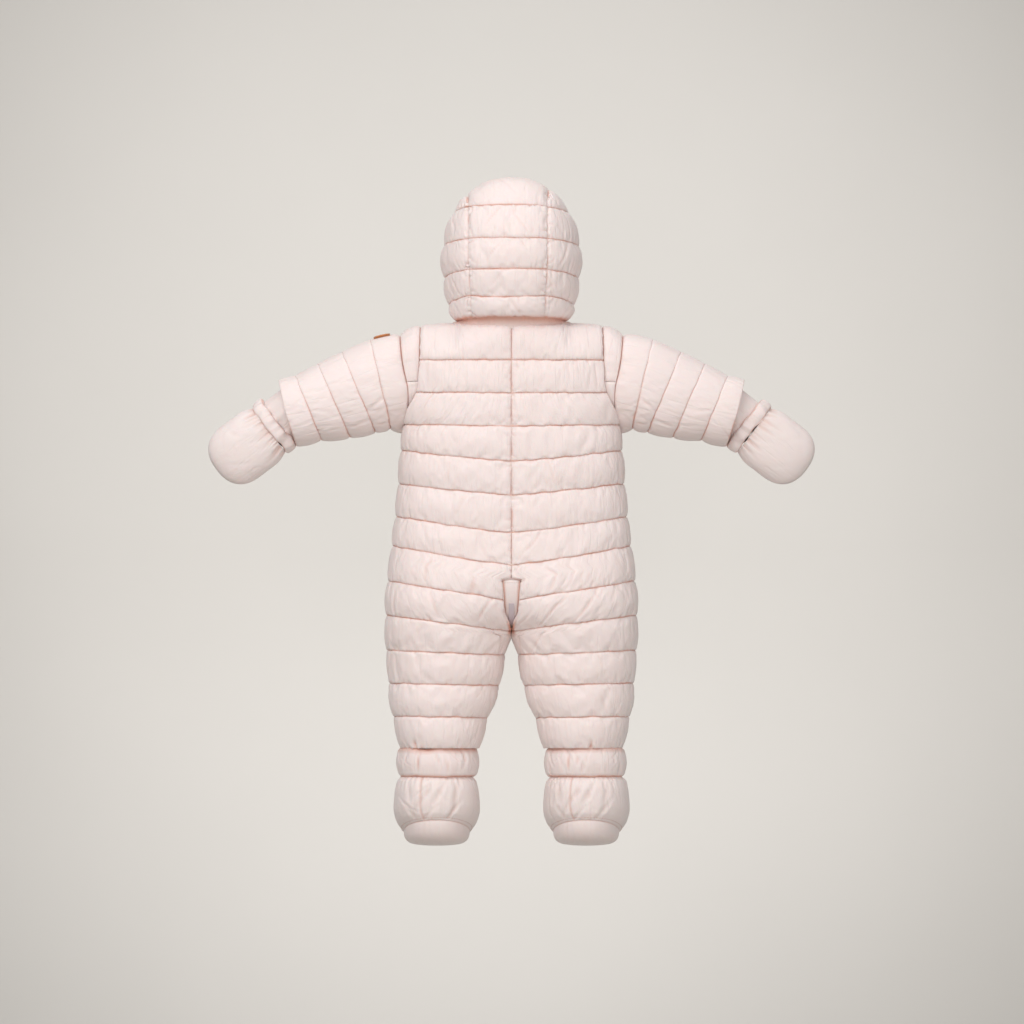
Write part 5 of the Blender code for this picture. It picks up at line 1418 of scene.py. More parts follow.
def leather_patch(sleeve):
    """A plain patch laid over the sleeve's first channel at its top, towards the front."""
    top, low = sleeve.lines[0], sleeve.lines[1]
    rows = np.arange(int(top + (low - top) * PATCH_FROM), int(top + (low - top) * PATCH_TO))
    columns = PATCH_BEHIND - np.arange(0, PATCH_COLUMNS)
    grid = smoothed(sleeve.outer[np.ix_(rows, columns)], 5)
    facing = surface(grid)
    if facing[..., 2].sum() < 0:
        facing = -facing
    lifted = grid + facing * (SEAM + PATCH_CLEAR + PATCH_THICK)
    count = len(rows)
    places = np.linspace(0, 1, count)
    panel = Panel("leather_patch_tooled", lifted, facing, np.zeros(grid.shape[:2]), places, [0, count - 1])
    rim = np.minimum(np.arange(count), np.arange(count)[::-1])
    side = np.minimum(np.arange(PATCH_COLUMNS), np.arange(PATCH_COLUMNS)[::-1])
    near = np.minimum(rim[:, None], side[None])
    panel.outer = lifted - facing * (0.35 * np.clip(1 - near / 1.5, 0, 1))[..., None]
    panel.crease = np.clip(1 - near / 2.0, 0, 1)
    return panel, near


def smoothed(grid, rounds):
    """A grid eased a little, with its edges kept."""
    out = grid.copy()
    for _ in range(rounds):
        out[1:-1] = (out[:-2] + 2 * out[1:-1] + out[2:]) / 4
        out[:, 1:-1] = (out[:, :-2] + 2 * out[:, 1:-1] + out[:, 2:]) / 4
    return out


# ---------------------------------------------------------------- rings: cuffs, bands and booties


def ring_points(middle, across, half_width, half_depth, count, power=1.0):
    """A closed ring round a middle: half a width along a direction and half a depth along Y."""
    turns = np.linspace(0, 2 * math.pi, count, endpoint=False)
    c, s = np.cos(turns), np.sin(turns)
    aside = half_width * np.sign(c) * np.abs(c) ** power
    ring = np.array(middle, float) + np.outer(aside, across)
    ring[:, 1] += half_depth * np.sign(s) * np.abs(s) ** power
    return ring


def curve_through(values, at, spots):
    """Smooth values between rows of numbers or rings, at more places."""
    values = np.asarray(values, float)
    flat = values.reshape(len(values), -1)
    columns = [
        [smooth({"at": np.asarray(at, float), "it": flat[:, k]}, "it", "at", s) for s in spots]
        for k in range(flat.shape[1])
    ]
    return np.array(columns).T.reshape(len(spots), *values.shape[1:])


def ring_panel(name, rings, at, heights, rows, sign, seed, gathers=(), straight=False):
    """A tube through a few rings, with soft gathers. A gather is a depth, a pitch and its fade."""
    spots = steps(rows, 0.4)
    at = (np.asarray(at, float) - at[0]) / (at[-1] - at[0])
    if straight:
        base = np.array([[np.interp(s, at, np.array(rings)[:, i, k]) for i in range(len(rings[0])) for k in range(3)] for s in spots])
        base = base.reshape(len(spots), len(rings[0]), 3)
    else:
        base = curve_through(rings, at, spots)
    normals = grid_normals(base, True)
    lifted = curve_through(np.asarray(heights, float)[:, None], at, spots) * np.ones(base.shape[1])
    flip = np.array([sign, 1, 1])
    places = np.array(spots)
    panel = Panel(name, base * flip, normals * flip, lifted, places, [0, rows], True, seed)
    along, length = panel.across(rows // 2)
    for depth, pitch, start, end, near_end in gathers:
        wave = ripple(panel.rng, along, pitch, length)
        turn = ripple(panel.rng, along, pitch * 0.8, length)
        share = np.clip((places - start) / (end - start), 0, 1)
        fade = (share if near_end else 1 - share)[:, None]
        fade = fade * edge_rise(np.minimum(places, 1 - places), 0.08)[:, None]
        panel.heights = panel.heights + depth * fade * (wave * fade + turn * (1 - fade) * 0.8)[:]
    panel.outer = panel.base + panel.normals * panel.heights[..., None]
    return panel


def mitten_panel(name, sign_y, sign, seed):
    """The back or the palm of a mitten, gathered into its band."""
    wrist, along, across = mitten_frame()
    across_at = np.sin(np.linspace(-1, 1, 49) * math.pi / 2)
    along_at = steps(36, 0.35)
    base = np.zeros((len(along_at), len(across_at), 3))
    for r, v in enumerate(along_at):
        for c, u in enumerate(across_at):
            curve = max(1 - abs(u) ** MITTEN_TIP_SQUARE, 0) ** (1 / MITTEN_TIP_SQUARE)
            length = MITTEN_LENGTH - MITTEN_TIP * (1 - curve)
            spread = math.sin(min(v / MITTEN_WIDEST, 1.0) * math.pi / 2)
            width = MITTEN_HALF_WIDTH * (MITTEN_WRIST_SHARE + (1 - MITTEN_WRIST_SHARE) * spread)
            depth = MITTEN_HALF_DEPTH * math.sqrt(1 - abs(u) ** MITTEN_EDGE_SQUARE)
            depth *= math.sqrt(1 - v**MITTEN_END_SQUARE)
            point = wrist + along * (MITTEN_START + (length - MITTEN_START) * v) + across * width * u
            point[1] = max(depth, HALF_SEAM)
            base[r, c] = point
    normals = -grid_normals(base, False)
    middle = wrist + along * (MITTEN_LENGTH - MITTEN_TIP)
    edge = base[..., 1] <= HALF_SEAM + 0.01
    outward = (base - middle) * FLAT_Y
    outward -= along * np.minimum(outward @ along, 0.0)[..., None]
    normals[edge] = unit(outward)[edge]
    flip = np.array([sign, sign_y, 1])
    places = along_at
    heights = np.zeros(base.shape[:2])
    panel = Panel(name, base * flip, normals * flip, heights, places, [0, 36], seed=seed)
    rng = panel.rng
    arc = across_at * MITTEN_HALF_WIDTH * 1.15
    deep = np.zeros(heights.shape)
    far = along_at[:, None] * (MITTEN_LENGTH - MITTEN_START)
    place = -44.0
    while place < 44:
        reach = rng.uniform(8, 34)
        lean = place * 0.004 + rng.normal(0, 0.06)
        fold = np.exp(-(((arc[None] * (1 + far * 0.002) - place - lean * far) / rng.uniform(1.0, 1.8)) ** 2) / 2)
        deep -= rng.uniform(0.7, 2.1) * fold * np.clip(1 - far / reach, 0, 1) * np.clip(far / 1.0, 0.35, 1)
        place += rng.uniform(2.4, 5.5)
    for _ in range(7):
        spot, lean = rng.uniform(-30, 30), rng.normal(0, 0.5)
        centre, half = rng.uniform(30, 62), rng.uniform(8, 16)
        fold = np.exp(-(((arc[None] - spot - lean * (far - centre)) / rng.uniform(2.0, 3.6)) ** 2) / 2)
        deep -= rng.uniform(0.12, 0.35) * fold * np.clip(1 - ((far - centre) / half) ** 2, 0, 1)
    rim = edge_rise(1 - np.abs(across_at), 0.03)[None] * edge_rise(1 - along_at, 0.03)[:, None]
    panel.heights = deep * rim
    panel.outer = panel.base + panel.normals * panel.heights[..., None]
    # Painted shade in the folds.
    panel.crease = np.clip(-deep * 0.22, 0, 0.45)
    panel.refine()
    return panel


def band_panel(side, sign):
    """The band folded over at the mitten's wrist, drawn in unevenly by its elastic."""
    wrist, along, across = mitten_frame()
    half_width = MITTEN_HALF_WIDTH * MITTEN_WRIST_SHARE
    rings = [
        ring_points(wrist + along * s, across, half_width, MITTEN_HALF_DEPTH, 84) for s in BAND["along"]
    ]
    gathers = ((1.6, 5.0, 0.0, 1.6, False), (1.7, 8.0, -0.6, 1.0, True))
    panel = ring_panel(
        f"mitten_band_{side}_cloth", rings, BAND["along"], BAND["out"], 14, sign, 81 + sign, gathers
    )
    at, length = panel.across(7)
    sway = 1.3 * ripple(panel.rng, at, 9, length) + 1.0 * ripple(panel.rng, at, 22, length)
    move = sway[None, :, None] * along * np.array([sign, 1, 1])
    panel.outer += move
    panel.under += move
    edges = np.minimum(panel.places, 1 - panel.places)[:, None]
    # Painted shade at the band's folded edges, where it turns under.
    panel.crease = np.clip(1 - edges / 0.12, 0, 1) * (0.55 + 0.35 * ripple(panel.rng, at, 7, length))
    panel.refine()
    return panel


def sleeve_cuff_panel(side, sign):
    """The plain inner cuff: it starts on the sleeve's lining, narrows and ends in the mitten."""
    wrist, along, across = mitten_frame()
    last = len(SLEEVE["top_x"]) - 1
    top = np.array([SLEEVE["top_x"][last], 0.0, SLEEVE["top_z"][last]])
    low = np.array([SLEEVE["low_x"][last], 0.0, SLEEVE["low_z"][last]])
    slope = unit(top - low)
    middle, half = (top + low) / 2, float(np.linalg.norm(top - low)) / 2
    inward = np.array([-slope[2], 0.0, slope[0]])
    depth = SLEEVE["half_depth"][last]
    inside = WALL + SEAM + SLEEVE_CUFF_CLEAR
    start = middle + inward * SLEEVE_HEM_GAP
    at, width, reach = CUFF_AT_HEM
    rings = [
        ring_points(start, slope, half - inside, depth - inside, 84, SLEEVE_ROUND),
        ring_points(middle + inward * at, slope, width, reach, 84),
    ]
    for at, width, reach in CUFF_AT_WRIST:
        rings.append(ring_points(wrist + along * at, across, width, reach, 84))
    return ring_panel(
        f"sleeve_inner_cuff_{side}_cloth",
        rings,
        (0, 18, 26, 33, 43),
        (0, 3.4, 3.2, 0, 0),
        16,
        sign,
        91 + sign,
        ((1.5, 7.0, -0.1, 0.7, True),),
        straight=True,
    )


# ---------------------------------------------------------------- hood and collar


def hood_centre_panel():
    """The middle panel, from the neck up over the crown to the forehead."""
    places = channel_places(len(HOOD_BACK["middle"]) + len(HOOD_CROWN["middle"]) - 1)
    low, high = HOOD_SEAM_RIGHT + HOOD_HALF_SEAM, HOOD_SEAM_LEFT - HOOD_HALF_SEAM
    columns = steps(HOOD_CENTRE_COLUMNS, 0.4)
    rows = []
    for channel, v in places:
        row = []
        for x in low + (high - low) * columns:
            angle = hood_line_angle(channel, x) * (1 - v) + hood_line_angle(channel + 1, x) * v
            row.append(hood_seam_point(x, angle))
        rows.append(row)
    egg = np.array(rows)
    ways = hood_ways(egg)
    ways[:, [0, -1], 0] = 0.0
    ways[0, :, 2] = 0.0
    base = hood_finish(egg, 0)
    rows_at = [v for c, v in places]
    edge = np.minimum(columns, 1 - columns)
    across = HOOD_SEAM_LIFT + (1 - HOOD_SEAM_LIFT) * edge_rise(edge, 0.16)
    held = [i for i, v in enumerate(rows_at) if v in (0.0, 1.0)]
    within = [0.0 if v == 1.0 else v for v in rows_at]
    heights = HOOD_PUFF * np.outer(lift(rows_at), across)
    panel = Panel("hood_centre_quilted", base, unit(ways), heights, within, held, seed=103)
    panel.raise_lines(LINE_SHARE * hood_raise(places)[:, None] * (across**0.8)[None], HOOD_PUFF)
    uneven(panel, LINE_WAVE, LUMP)
    return panel


def hood_raise(places):
    """How far the hood's lines come out: less at its lower edge."""
    return 0.35 + 0.65 * edge_rise(np.array([c + v for c, v in places]), 0.7)


def hood_side_panel(side, sign):
    """A side panel, from the neck up to the seam over the crown, and round to the face opening."""
    seam_x = HOOD_SEAM_LEFT if sign > 0 else -HOOD_SEAM_RIGHT
    columns = steps(HOOD_SIDE_COLUMNS, 0.4)
    count = len(HOOD_SIDE_LINES["side"])
    places = channel_places(count)
    crown_turn = math.radians(HOOD_CROWN["seam"][-1]) - HOOD_CROWN_START
    crown = [hood_seam_point(seam_x, HOOD_CROWN_START + crown_turn * u) for u in columns]
    top_line = hood_side_row(count - 1.0, columns, seam_x)
    rows = []
    for channel, v in places:
        if channel < count - 1:
            rows.append(hood_side_row(channel + v, columns, seam_x))
            continue
        row = [on_hood(a * (1 - v) + b * v) for a, b in zip(top_line, crown)]
        row[0] = on_seam(row[0], seam_x)
        rows.append(row)
    rows[-1] = crown
    egg = np.array(rows)
    ways = hood_ways(egg)
    ways[:, 0, 0] = 0.0
    ways[-1, :, 0] = 0.0
    ways[0, :, 2] = 0.0
    egg[:, 0, 0] += HOOD_HALF_SEAM
    egg[-1, 1:, 0] += HOOD_HALF_SEAM
    base = hood_finish(egg, 0)
    lifts = (HOOD_SEAM_LIFT + (1 - HOOD_SEAM_LIFT) * edge_rise(columns, 0.09)) * edge_rise(
        1 - columns, 0.09
    )
    rows_at = [v for c, v in places]
    held = [i for i, v in enumerate(rows_at) if v in (0.0, 1.0)]
    within = [0.0 if v == 1.0 else v for v in rows_at]
    flip = np.array([sign, 1, 1])
    heights = HOOD_PUFF * np.outer(lift(rows_at), lifts)
    panel = Panel(
        f"hood_side_{side}_quilted",
        base * flip,
        unit(ways) * flip,
        heights,
        within,
        held,
        seed=113 + sign,
    )
    panel.raise_lines(LINE_SHARE * hood_raise(places)[:, None] * (lifts**0.8)[None], HOOD_PUFF)
    uneven(panel, LINE_WAVE, LUMP)
    return panel


def collar_panel():
    """The neck band, open at the front for the zip, with soft folds where the hood draws it in, and painted shade at
    its foot and under the hood's hem.
    """
    start = math.asin(ZIP_HALF_GAP / GAP_RADIUS)
    turns = np.linspace(-math.pi / 2 + start, 1.5 * math.pi - start, 150)
    shares = steps(16, 0.3)
    base = np.zeros((len(shares), len(turns), 3))
    for c, turn in enumerate(turns):
        x, y = math.cos(turn), math.sin(turn)
        neck_y, neck_z = NECK_BACK if y > 0 else NECK_FRONT
        foot_z = NECK_SHOULDER[1] + (neck_z - NECK_SHOULDER[1]) * abs(y) - COLLAR_DROP
        foot = np.array([(NECK_SHOULDER[0] - COLLAR_IN_SIDE) * x, (neck_y - COLLAR_IN_DEPTH) * y, foot_z])
        head = hood_tucked(hood_ring_point(turn))
        head[2] = HOOD_EDGE_Z + HOOD_EDGE_SLOPE * head[1] - HALF_SEAM
        for r, share in enumerate(shares):
            bow = share**COLLAR_BOW
            base[r, c] = foot + (head - foot) * np.array([bow, bow, share])
    base[:, 0, 0] = ZIP_HALF_GAP
    base[:, -1, 0] = -ZIP_HALF_GAP
    normals = -grid_normals(base, False)
    normals[-1] = unit(normals[-1] * FLAT_Z)
    normals[0] = unit(normals[0] * FLAT_Z)
    normals[:, [0, -1], 0] = 0.0
    normals = unit(normals)
    panel = Panel("collar_cloth", base, normals, np.zeros(base.shape[:2]), shares, [0, 16], seed=121)
    at, _ = panel.across(8)
    soft = 0.5 * ripple(panel.rng, at, 11) - 0.4 * np.abs(ripple(panel.rng, at, 6))
    body = np.sin(shares * math.pi)[:, None] * edge_rise(np.minimum(at, at[::-1]), 8)[None]
    panel.heights = body * (8.0 + soft)[None]
    panel.outer = panel.base + panel.normals * panel.heights[..., None]
    for surface in (panel.outer, panel.under):
        surface[-1, :, 2] += COLLAR_LAP
    # Painted shade: a dark line at the foot and a stronger one under the hood's overhanging hem.
    ends = np.maximum(np.exp(-shares / 0.12), 1.3 * np.exp(-(1 - shares) / 0.2))
    panel.crease = np.clip(ends, 0, 1)[:, None] * np.ones(len(turns)) * 0.8
    return panel


# ---------------------------------------------------------------- gusset


def gusset_panel():
    """The strip from the back, under the crotch, to the front, plump between its seams."""
    heights_at = np.linspace(GUSSET_TOP_Z, CROTCH_Z, 30)

    def edge(z, front):
        x = inner_edge(z, front)
        return x, section_point(section_angle(x, z), z, front)[1]

    back = [(*edge(z, False), z) for z in heights_at]
    front = [(edge(z, True)[0], -edge(z, True)[1], z) for z in heights_at[:-1]][::-1]
    across = np.linspace(-1, 1, 11)
    base = np.array([[(s * (x - HALF_SEAM), y, z) for s in across] for x, y, z in back + front])
    base[[0, -1], :, 2] += GUSSET_TUCK
    normals = -grid_normals(base, False)
    normals[:, :, 0] = 0.0
    normals = unit(normals)
    plump = 1.6 * np.outer(edge_rise(np.minimum(np.arange(len(base)), np.arange(len(base))[::-1]), 3), lift((across + 1) / 2))
    count = len(base)
    panel = Panel("gusset_cloth", base, normals, plump, np.linspace(0, 1, count), [0, count - 1], seed=131)
    # Painted shade along its side seams and at its ends.
    panel.crease = np.clip(np.abs(across) ** 6, 0, 1)[None] * np.ones((count, 1))
    panel.crease[[0, -1]] = 0.8
    return panel, len(back)


def gusset_tab(panel, back_rows):
    """A small plain woven tab that hangs at the gusset, above the crotch."""
    low = back_rows - 7
    rows = np.arange(low - 11, low)
    spots = panel.outer[rows, 5]
    facing = panel.normals[rows, 5]
    across = np.linspace(-1, 1, 9)
    base = np.array([[p + np.array([TAB_HALF_WIDTH * s, 0, 0]) for s in across] for p in spots])
    ways = np.repeat(facing[:, None], len(across), axis=1)
    lifted = base + ways * (SEAM + TAB_CLEAR + TAB_THICK)
    curl = 0.25 * np.outer(np.linspace(0, 1, len(rows)) ** 2, across**2)
    count = len(rows)
    return Panel("gusset_tab_woven", lifted, ways, curl, np.linspace(0, 1, count), [0, count - 1])


# ---------------------------------------------------------------- ankles and feet


def ankle_panel(side, sign):
    """The plain inner cuff that hangs from inside the leg's hem into the bootie."""
    top = HEM_Z + ANKLE_TOP
    leg_x = smooth(BODY, "middle", "z", top)
    inside = WALL + SEAM + ANKLE_CLEAR
    reach = smooth(BODY, "half_width", "z", top) - leg_x - inside
    depth = smooth(BODY, "half_depth", "z", top) - inside
    neck = (CUFF_HALF_WIDTH - ANKLE_NECK_INSET, CUFF_HALF_DEPTH - ANKLE_NECK_INSET)
    low = (CUFF_HALF_WIDTH - ANKLE_INSET, CUFF_HALF_DEPTH - ANKLE_INSET)
    rows = (
        (top, leg_x, reach, depth),
        (HEM_Z + 1.0, BOOTIE_X - 2.0, *neck),
        (CUFF_TOP_Z - 7.0, BOOTIE_X - 1.0, *low),
        (CUFF_LOW_Z + 4.0, BOOTIE_X - 1.0, *low),
    )
    rings = [ring_points((x, 0.0, z), (1.0, 0.0, 0.0), w, d, 96) for z, x, w, d in rows]
    at = [top - z for z, *_ in rows]
    gathers = ((0.8, 6.0, 0.0, 1.0, False),)
    name = f"ankle_cuff_{side}_cloth"
    return ring_panel(name, rings, at, [0] * 4, 14, sign, 141 + sign, gathers, straight=True)


def bootie_cuff_panel(side, sign):
    """The turned-up cuff at the top of the bootie, full and soft over its drawstring channel."""
    tall = CUFF_TOP_Z - CUFF_LOW_Z
    reach, depth = CUFF_HALF_WIDTH - CUFF_INSET, CUFF_HALF_DEPTH - CUFF_INSET
    rings = []
    for at in CUFF_ROLL["at"]:
        middle = (BOOTIE_X - 1.0, 0.0, CUFF_TOP_Z - tall * at)
        rings.append(ring_points(middle, (1.0, 0.0, 0.0), reach, depth, 110))
    name = f"bootie_cuff_{side}_cloth"
    gathers = ((1.3, 9.0, -0.2, 1.1, True), (1.2, 14.0, -0.4, 1.2, False))
    panel = ring_panel(
        name, rings, CUFF_ROLL["at"], CUFF_ROLL["out"], 26, sign, 151 + sign, gathers
    )
    rng = panel.rng
    along, length = panel.across(13)
    down = panel.places[:, None] * tall
    deep = np.zeros(panel.heights.shape)
    for _ in range(26):
        spot, start = rng.uniform(0, length), rng.uniform(-6, 14)
        depth, width, slant = rng.uniform(0.5, 1.3), rng.uniform(1.2, 2.6), rng.normal(0, 0.9)
        deep += trough(along[None], down, spot, slant, width, depth, start, start + rng.uniform(9, 24), length)
    behind = panel.base[13, :, 1] > 0
    at_x = panel.base[13, :, 0] - sign * BOOTIE_X
    seam = float(along[behind][np.argmin(np.abs(at_x[behind] - HEEL_SEAM_X))])
    off = np.abs(along[None] - seam - 0.12 * (down - tall / 2))
    groove = np.exp(-((off / 0.9) ** 2))
    edges = np.minimum(panel.places, 1 - panel.places)
    keep = edge_rise(edges, 0.12)[:, None]
    panel.outer += panel.normals * ((deep - 0.9 * groove) * keep)[..., None]
    drop = -0.3 - 0.9 * np.abs(ripple(rng, along, 11, length)) - 0.8 * np.abs(ripple(rng, along, 24, length))
    rise = 2.8 + 1.0 * ripple(rng, along, 13, length) + 1.6 * ripple(rng, along, 30, length)
    panel.outer[..., 2] += drop * panel.places[:, None] ** 2 + rise * (1 - panel.places[:, None]) ** 2
    panel.under[..., 2] += drop * panel.places[:, None] ** 2 + rise * (1 - panel.places[:, None]) ** 2
    # Painted shade at both edges, widest under the leg's hem above, in the heel seam's groove and in the folds.
    near = np.maximum(1 - edges / 0.07, 0.8 - panel.places / 0.3)
    panel.crease = np.clip(near, 0, 1)[:, None] * np.ones(110)
    panel.crease = np.maximum(panel.crease, groove * 0.55)
    panel.crease = np.maximum(panel.crease, np.clip(-deep * 0.2, 0, 0.4))
    panel.refine()
    return panel


def foot_ring(down):
    """A ring of the bootie, from the ankle at 0 to the sole's seam at 1."""
    half = smooth(BOOTIE, "half_width", "down", down)
    back = smooth(BOOTIE, "back", "down", down)
    front = smooth(BOOTIE, "front", "down", down)
    middle, depth = (back + front) / 2, (back - front) / 2
    half *= 1 - SOLE_DRAWN_IN * (max(down - 0.6, 0.0) / 0.4) ** 2
    ring = ring_points((BOOTIE_X, middle, 0.0), (1.0, 0.0, 0.0), half, depth, FOOT_COLUMNS, BOOTIE_SQUARE)
    toe = np.clip((middle - ring[:, 1]) / depth, 0, 1)
    ring[:, 0] = BOOTIE_X + (ring[:, 0] - BOOTIE_X) * (1 - TOE_NARROWER * down * toe**2)
    top = CUFF_LOW_Z - SEAM
    ring[:, 2] = [top * (1 - down) + sole_height(p[1]) * down for p in ring]
    return ring


FOOT_COLUMNS = 120
# Folds behind the bootie: x from the wearer's middle of the foot, how far down it starts,
# its slant and length, its depth and width. The same leans are used on both feet.
FOOT_FOLDS = (
    (-26, 0.10, 0.35, 40, 1.6, 3.0),
    (-12, 0.12, 0.9, 36, 1.8, 3.0),
    (2, 0.22, 1.4, 42, 1.7, 3.2),
    (-30, 0.45, 1.1, 34, 1.3, 2.8),
    (8, 0.05, 0.2, 26, 1.5, 2.6),
    (-4, 0.62, 1.8, 28, 1.2, 2.8),
    (34, 0.10, -0.3, 30, 1.3, 2.8),
    (36, 0.55, -0.8, 22, 1.0, 2.6),
)


def bootie_panel(side, sign):
    """The bootie from its cuff down to the sole's seam: gathers, a heel seam and soft folds."""
    spots = steps(36, 0.35)
    base = np.array([foot_ring(d) for d in spots])
    normals = grid_normals(base, True)
    normals[0] = unit(normals[0] * FLAT_Z)
    normals[-1] = unit(normals[-1] * FLAT_Z)
    tilt = (SOLE_TOE[1] - SOLE_HEEL[1]) / (SOLE_TOE[0] - SOLE_HEEL[0])
    normals[-1, :, 2] = normals[-1, :, 1] * tilt
    flip = np.array([sign, 1, 1])
    name = f"bootie_upper_{side}_cloth"
    heights = np.zeros(base.shape[:2])
    panel = Panel(name, base * flip, normals * flip, heights, spots, [0, 36], True, 161 + sign)
    rng = panel.rng
    along, length = panel.across(18)
    fall = np.linalg.norm(np.diff(base[:, FOOT_COLUMNS // 4], axis=0), axis=-1)
    down = np.concatenate([[0], np.cumsum(fall)])[:, None]
    tall = float(down[-1, 0])
    crease = np.zeros(heights.shape)
    deep = 0.5 * edge_rise(spots, 0.3)[:, None] * ripple(rng, along, 26, length)[None]
    place = 0.0
    while place < length:
        reach = rng.uniform(7, 20)
        deep += trough(along[None], down, place, rng.normal(0, 0.25), rng.uniform(1.2, 2.2), rng.uniform(0.5, 1.4), -3, reach, length)
        place += rng.uniform(4, 9)
    at_x = panel.base[18, :, 0] - sign * BOOTIE_X
    behind = panel.base[18, :, 1] > 0
    for x, start, slant, reach, depth, width in FOOT_FOLDS:
        spot = float(along[behind][np.argmin(np.abs(at_x[behind] - x))])
        way = 1.0 if at_x[behind][0] < at_x[behind][-1] else -1.0
        drop = down - start * tall
        off = (along[None] - spot) * way - slant * drop * 0.6
        t = (off / (width * 1.2)) ** 2
        fade = np.clip(1 - ((drop - reach / 2) / (reach / 2)) ** 2, 0, 1)
        deep -= 0.85 * depth * (1 - 0.6 * t) * np.exp(-t / 2) * fade
    for _ in range(12):
        spot = rng.uniform(0, length)
        start = rng.uniform(0.1, 0.6) * tall
        deep += trough(along[None], down, spot, rng.normal(0, 0.8), rng.uniform(2, 3.4), rng.uniform(0.4, 1.0), start, start + rng.uniform(14, 30), length)
    seam_spot = float(along[behind][np.argmin(np.abs(at_x[behind] - HEEL_SEAM_X))])
    off = np.abs(along[None] - seam_spot) * np.ones((len(spots), 1))
    groove = np.exp(-((off / 0.9) ** 2))
    deep -= 0.9 * groove * edge_rise(spots, 0.1)[:, None]
    keep = edge_rise(np.minimum(spots, 1 - spots), 0.06)[:, None]
    panel.heights = deep * keep
    panel.outer = panel.base + panel.normals * panel.heights[..., None]
    # Painted shade in the heel seam, in the folds, under the cuff at the top and faintly at the sole's seam.
    crease = np.maximum(groove * 0.4, np.clip(-deep * 0.14, 0, 0.32))
    crease = np.maximum(crease, np.exp(-spots / 0.02)[:, None] * 0.9)
    crease = np.maximum(crease, np.exp(-(1 - spots) / 0.012)[:, None] * 0.25)
    panel.crease = crease
    panel.refine()
    return panel


def sole_panel(side, sign):
    """The padded sole, rounded below, as a closed shape: its edge rings, then its flat faces."""
    edge = foot_ring(1.0)
    middle = edge.mean(axis=0)
    last = len(SOLE_CUSHION) - 1
    layers = curve_through([list(layer) for layer in SOLE_CUSHION], range(last + 1), np.linspace(0, last, 2 * last + 1))
    rings = []
    for size, down in list(layers) + [(0.4, 1.0), (0.2, 1.0)]:
        ring = middle + (edge - middle) * size
        share = (ring[:, 1] - SOLE_HEEL[0]) / (SOLE_TOE[0] - SOLE_HEEL[0])
        seam = SOLE_HEEL[1] + (SOLE_TOE[1] - SOLE_HEEL[1]) * share - SEAM
        under = SOLE_UNDER[0] + (SOLE_UNDER[1] - SOLE_UNDER[0]) * share
        ring[:, 2] = seam + (under - seam) * down
        rings.append(ring * np.array([sign, 1, 1]))
    return rings


# ---------------------------------------------------------------- zip


def teeth(name, side_sign, material):
    """One side's row of moulded teeth, each gripping the tape's edge."""
    low, high = ZIP_END_Z + 2.0, ZIP_TOP_Z - 1.0
    offset = 0.0 if side_sign > 0 else TOOTH_PITCH / 2
    points, faces = [], []
    outline = ((2.5, 0.45), (0.7, 0.3), (0.1, 0.42), (-0.75, 0.34), (-0.75, -0.34), (0.1, -0.42), (0.7, -0.3), (2.5, -0.45))
    z = low + offset
    while z < high:
        y = -tape_depth(z)
        first = len(points)
        for depth, shrink in ((-1.15, 0.8), (-0.2, 1.0)):
            points += [(side_sign * x, y + depth, z + dz * shrink) for x, dz in outline]
        n = len(outline)
        faces.append(tuple(first + i for i in range(n)))
        faces.append(tuple(first + n + i for i in range(n))[::-1])
        faces += [(first + i, first + (i + 1) % n, first + n + (i + 1) % n, first + n + i) for i in range(n)]
        z += TOOTH_PITCH
    mesh = bpy.data.meshes.new(name)
    mesh.from_pydata([tuple(np.array(p) * MM) for p in points], [], faces)
    shape = bmesh.new()
    shape.from_mesh(mesh)
    bmesh.ops.recalc_face_normals(shape, faces=shape.faces)
    shape.to_mesh(mesh)
    shape.free()
    made = new_object(name, mesh, material)
    return made


def block(name, low, high, bevel):
    """A block between two corners with rounded edges."""
    low, high = np.array(low, float) * MM, np.array(high, float) * MM
    bpy.ops.object.select_all(action="DESELECT")
    bpy.ops.mesh.primitive_cube_add(
        size=1.0, location=tuple((low + high) / 2), scale=tuple(np.abs(high - low))
    )
    made = bpy.context.object
    made.name = name
    bpy.ops.object.transform_apply(location=True, rotation=True, scale=True)
    round_edges(made, bevel)
    return made


def round_edges(thing, width):
    """Rounds a piece's edges with a bevel that is applied."""
    step = thing.modifiers.new("round", "BEVEL")
    step.width = width * MM
    step.segments = 3
    step.limit_method = "ANGLE"
    bpy.context.view_layer.objects.active = thing
    bpy.ops.object.modifier_apply(modifier=step.name)


def cut_or_add(thing, other, way):
    """Cuts another shape out of a piece or unites it with it, and removes the other."""
    step = thing.modifiers.new(way, "BOOLEAN")
    step.operation = way
    step.solver = "EXACT"
    step.object = other
    bpy.context.view_layer.objects.active = thing
    bpy.ops.object.modifier_apply(modifier=step.name)
    bpy.data.objects.remove(other, do_unlink=True)


def finish_metal(thing, material, body):
    """Shades a metal piece and lets it ride on a body."""
    thing.data.materials.clear()
    thing.data.materials.append(material)
    thing.data.shade_smooth()
    thing.data.set_sharp_from_angle(angle=math.radians(35))
    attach(thing, body)


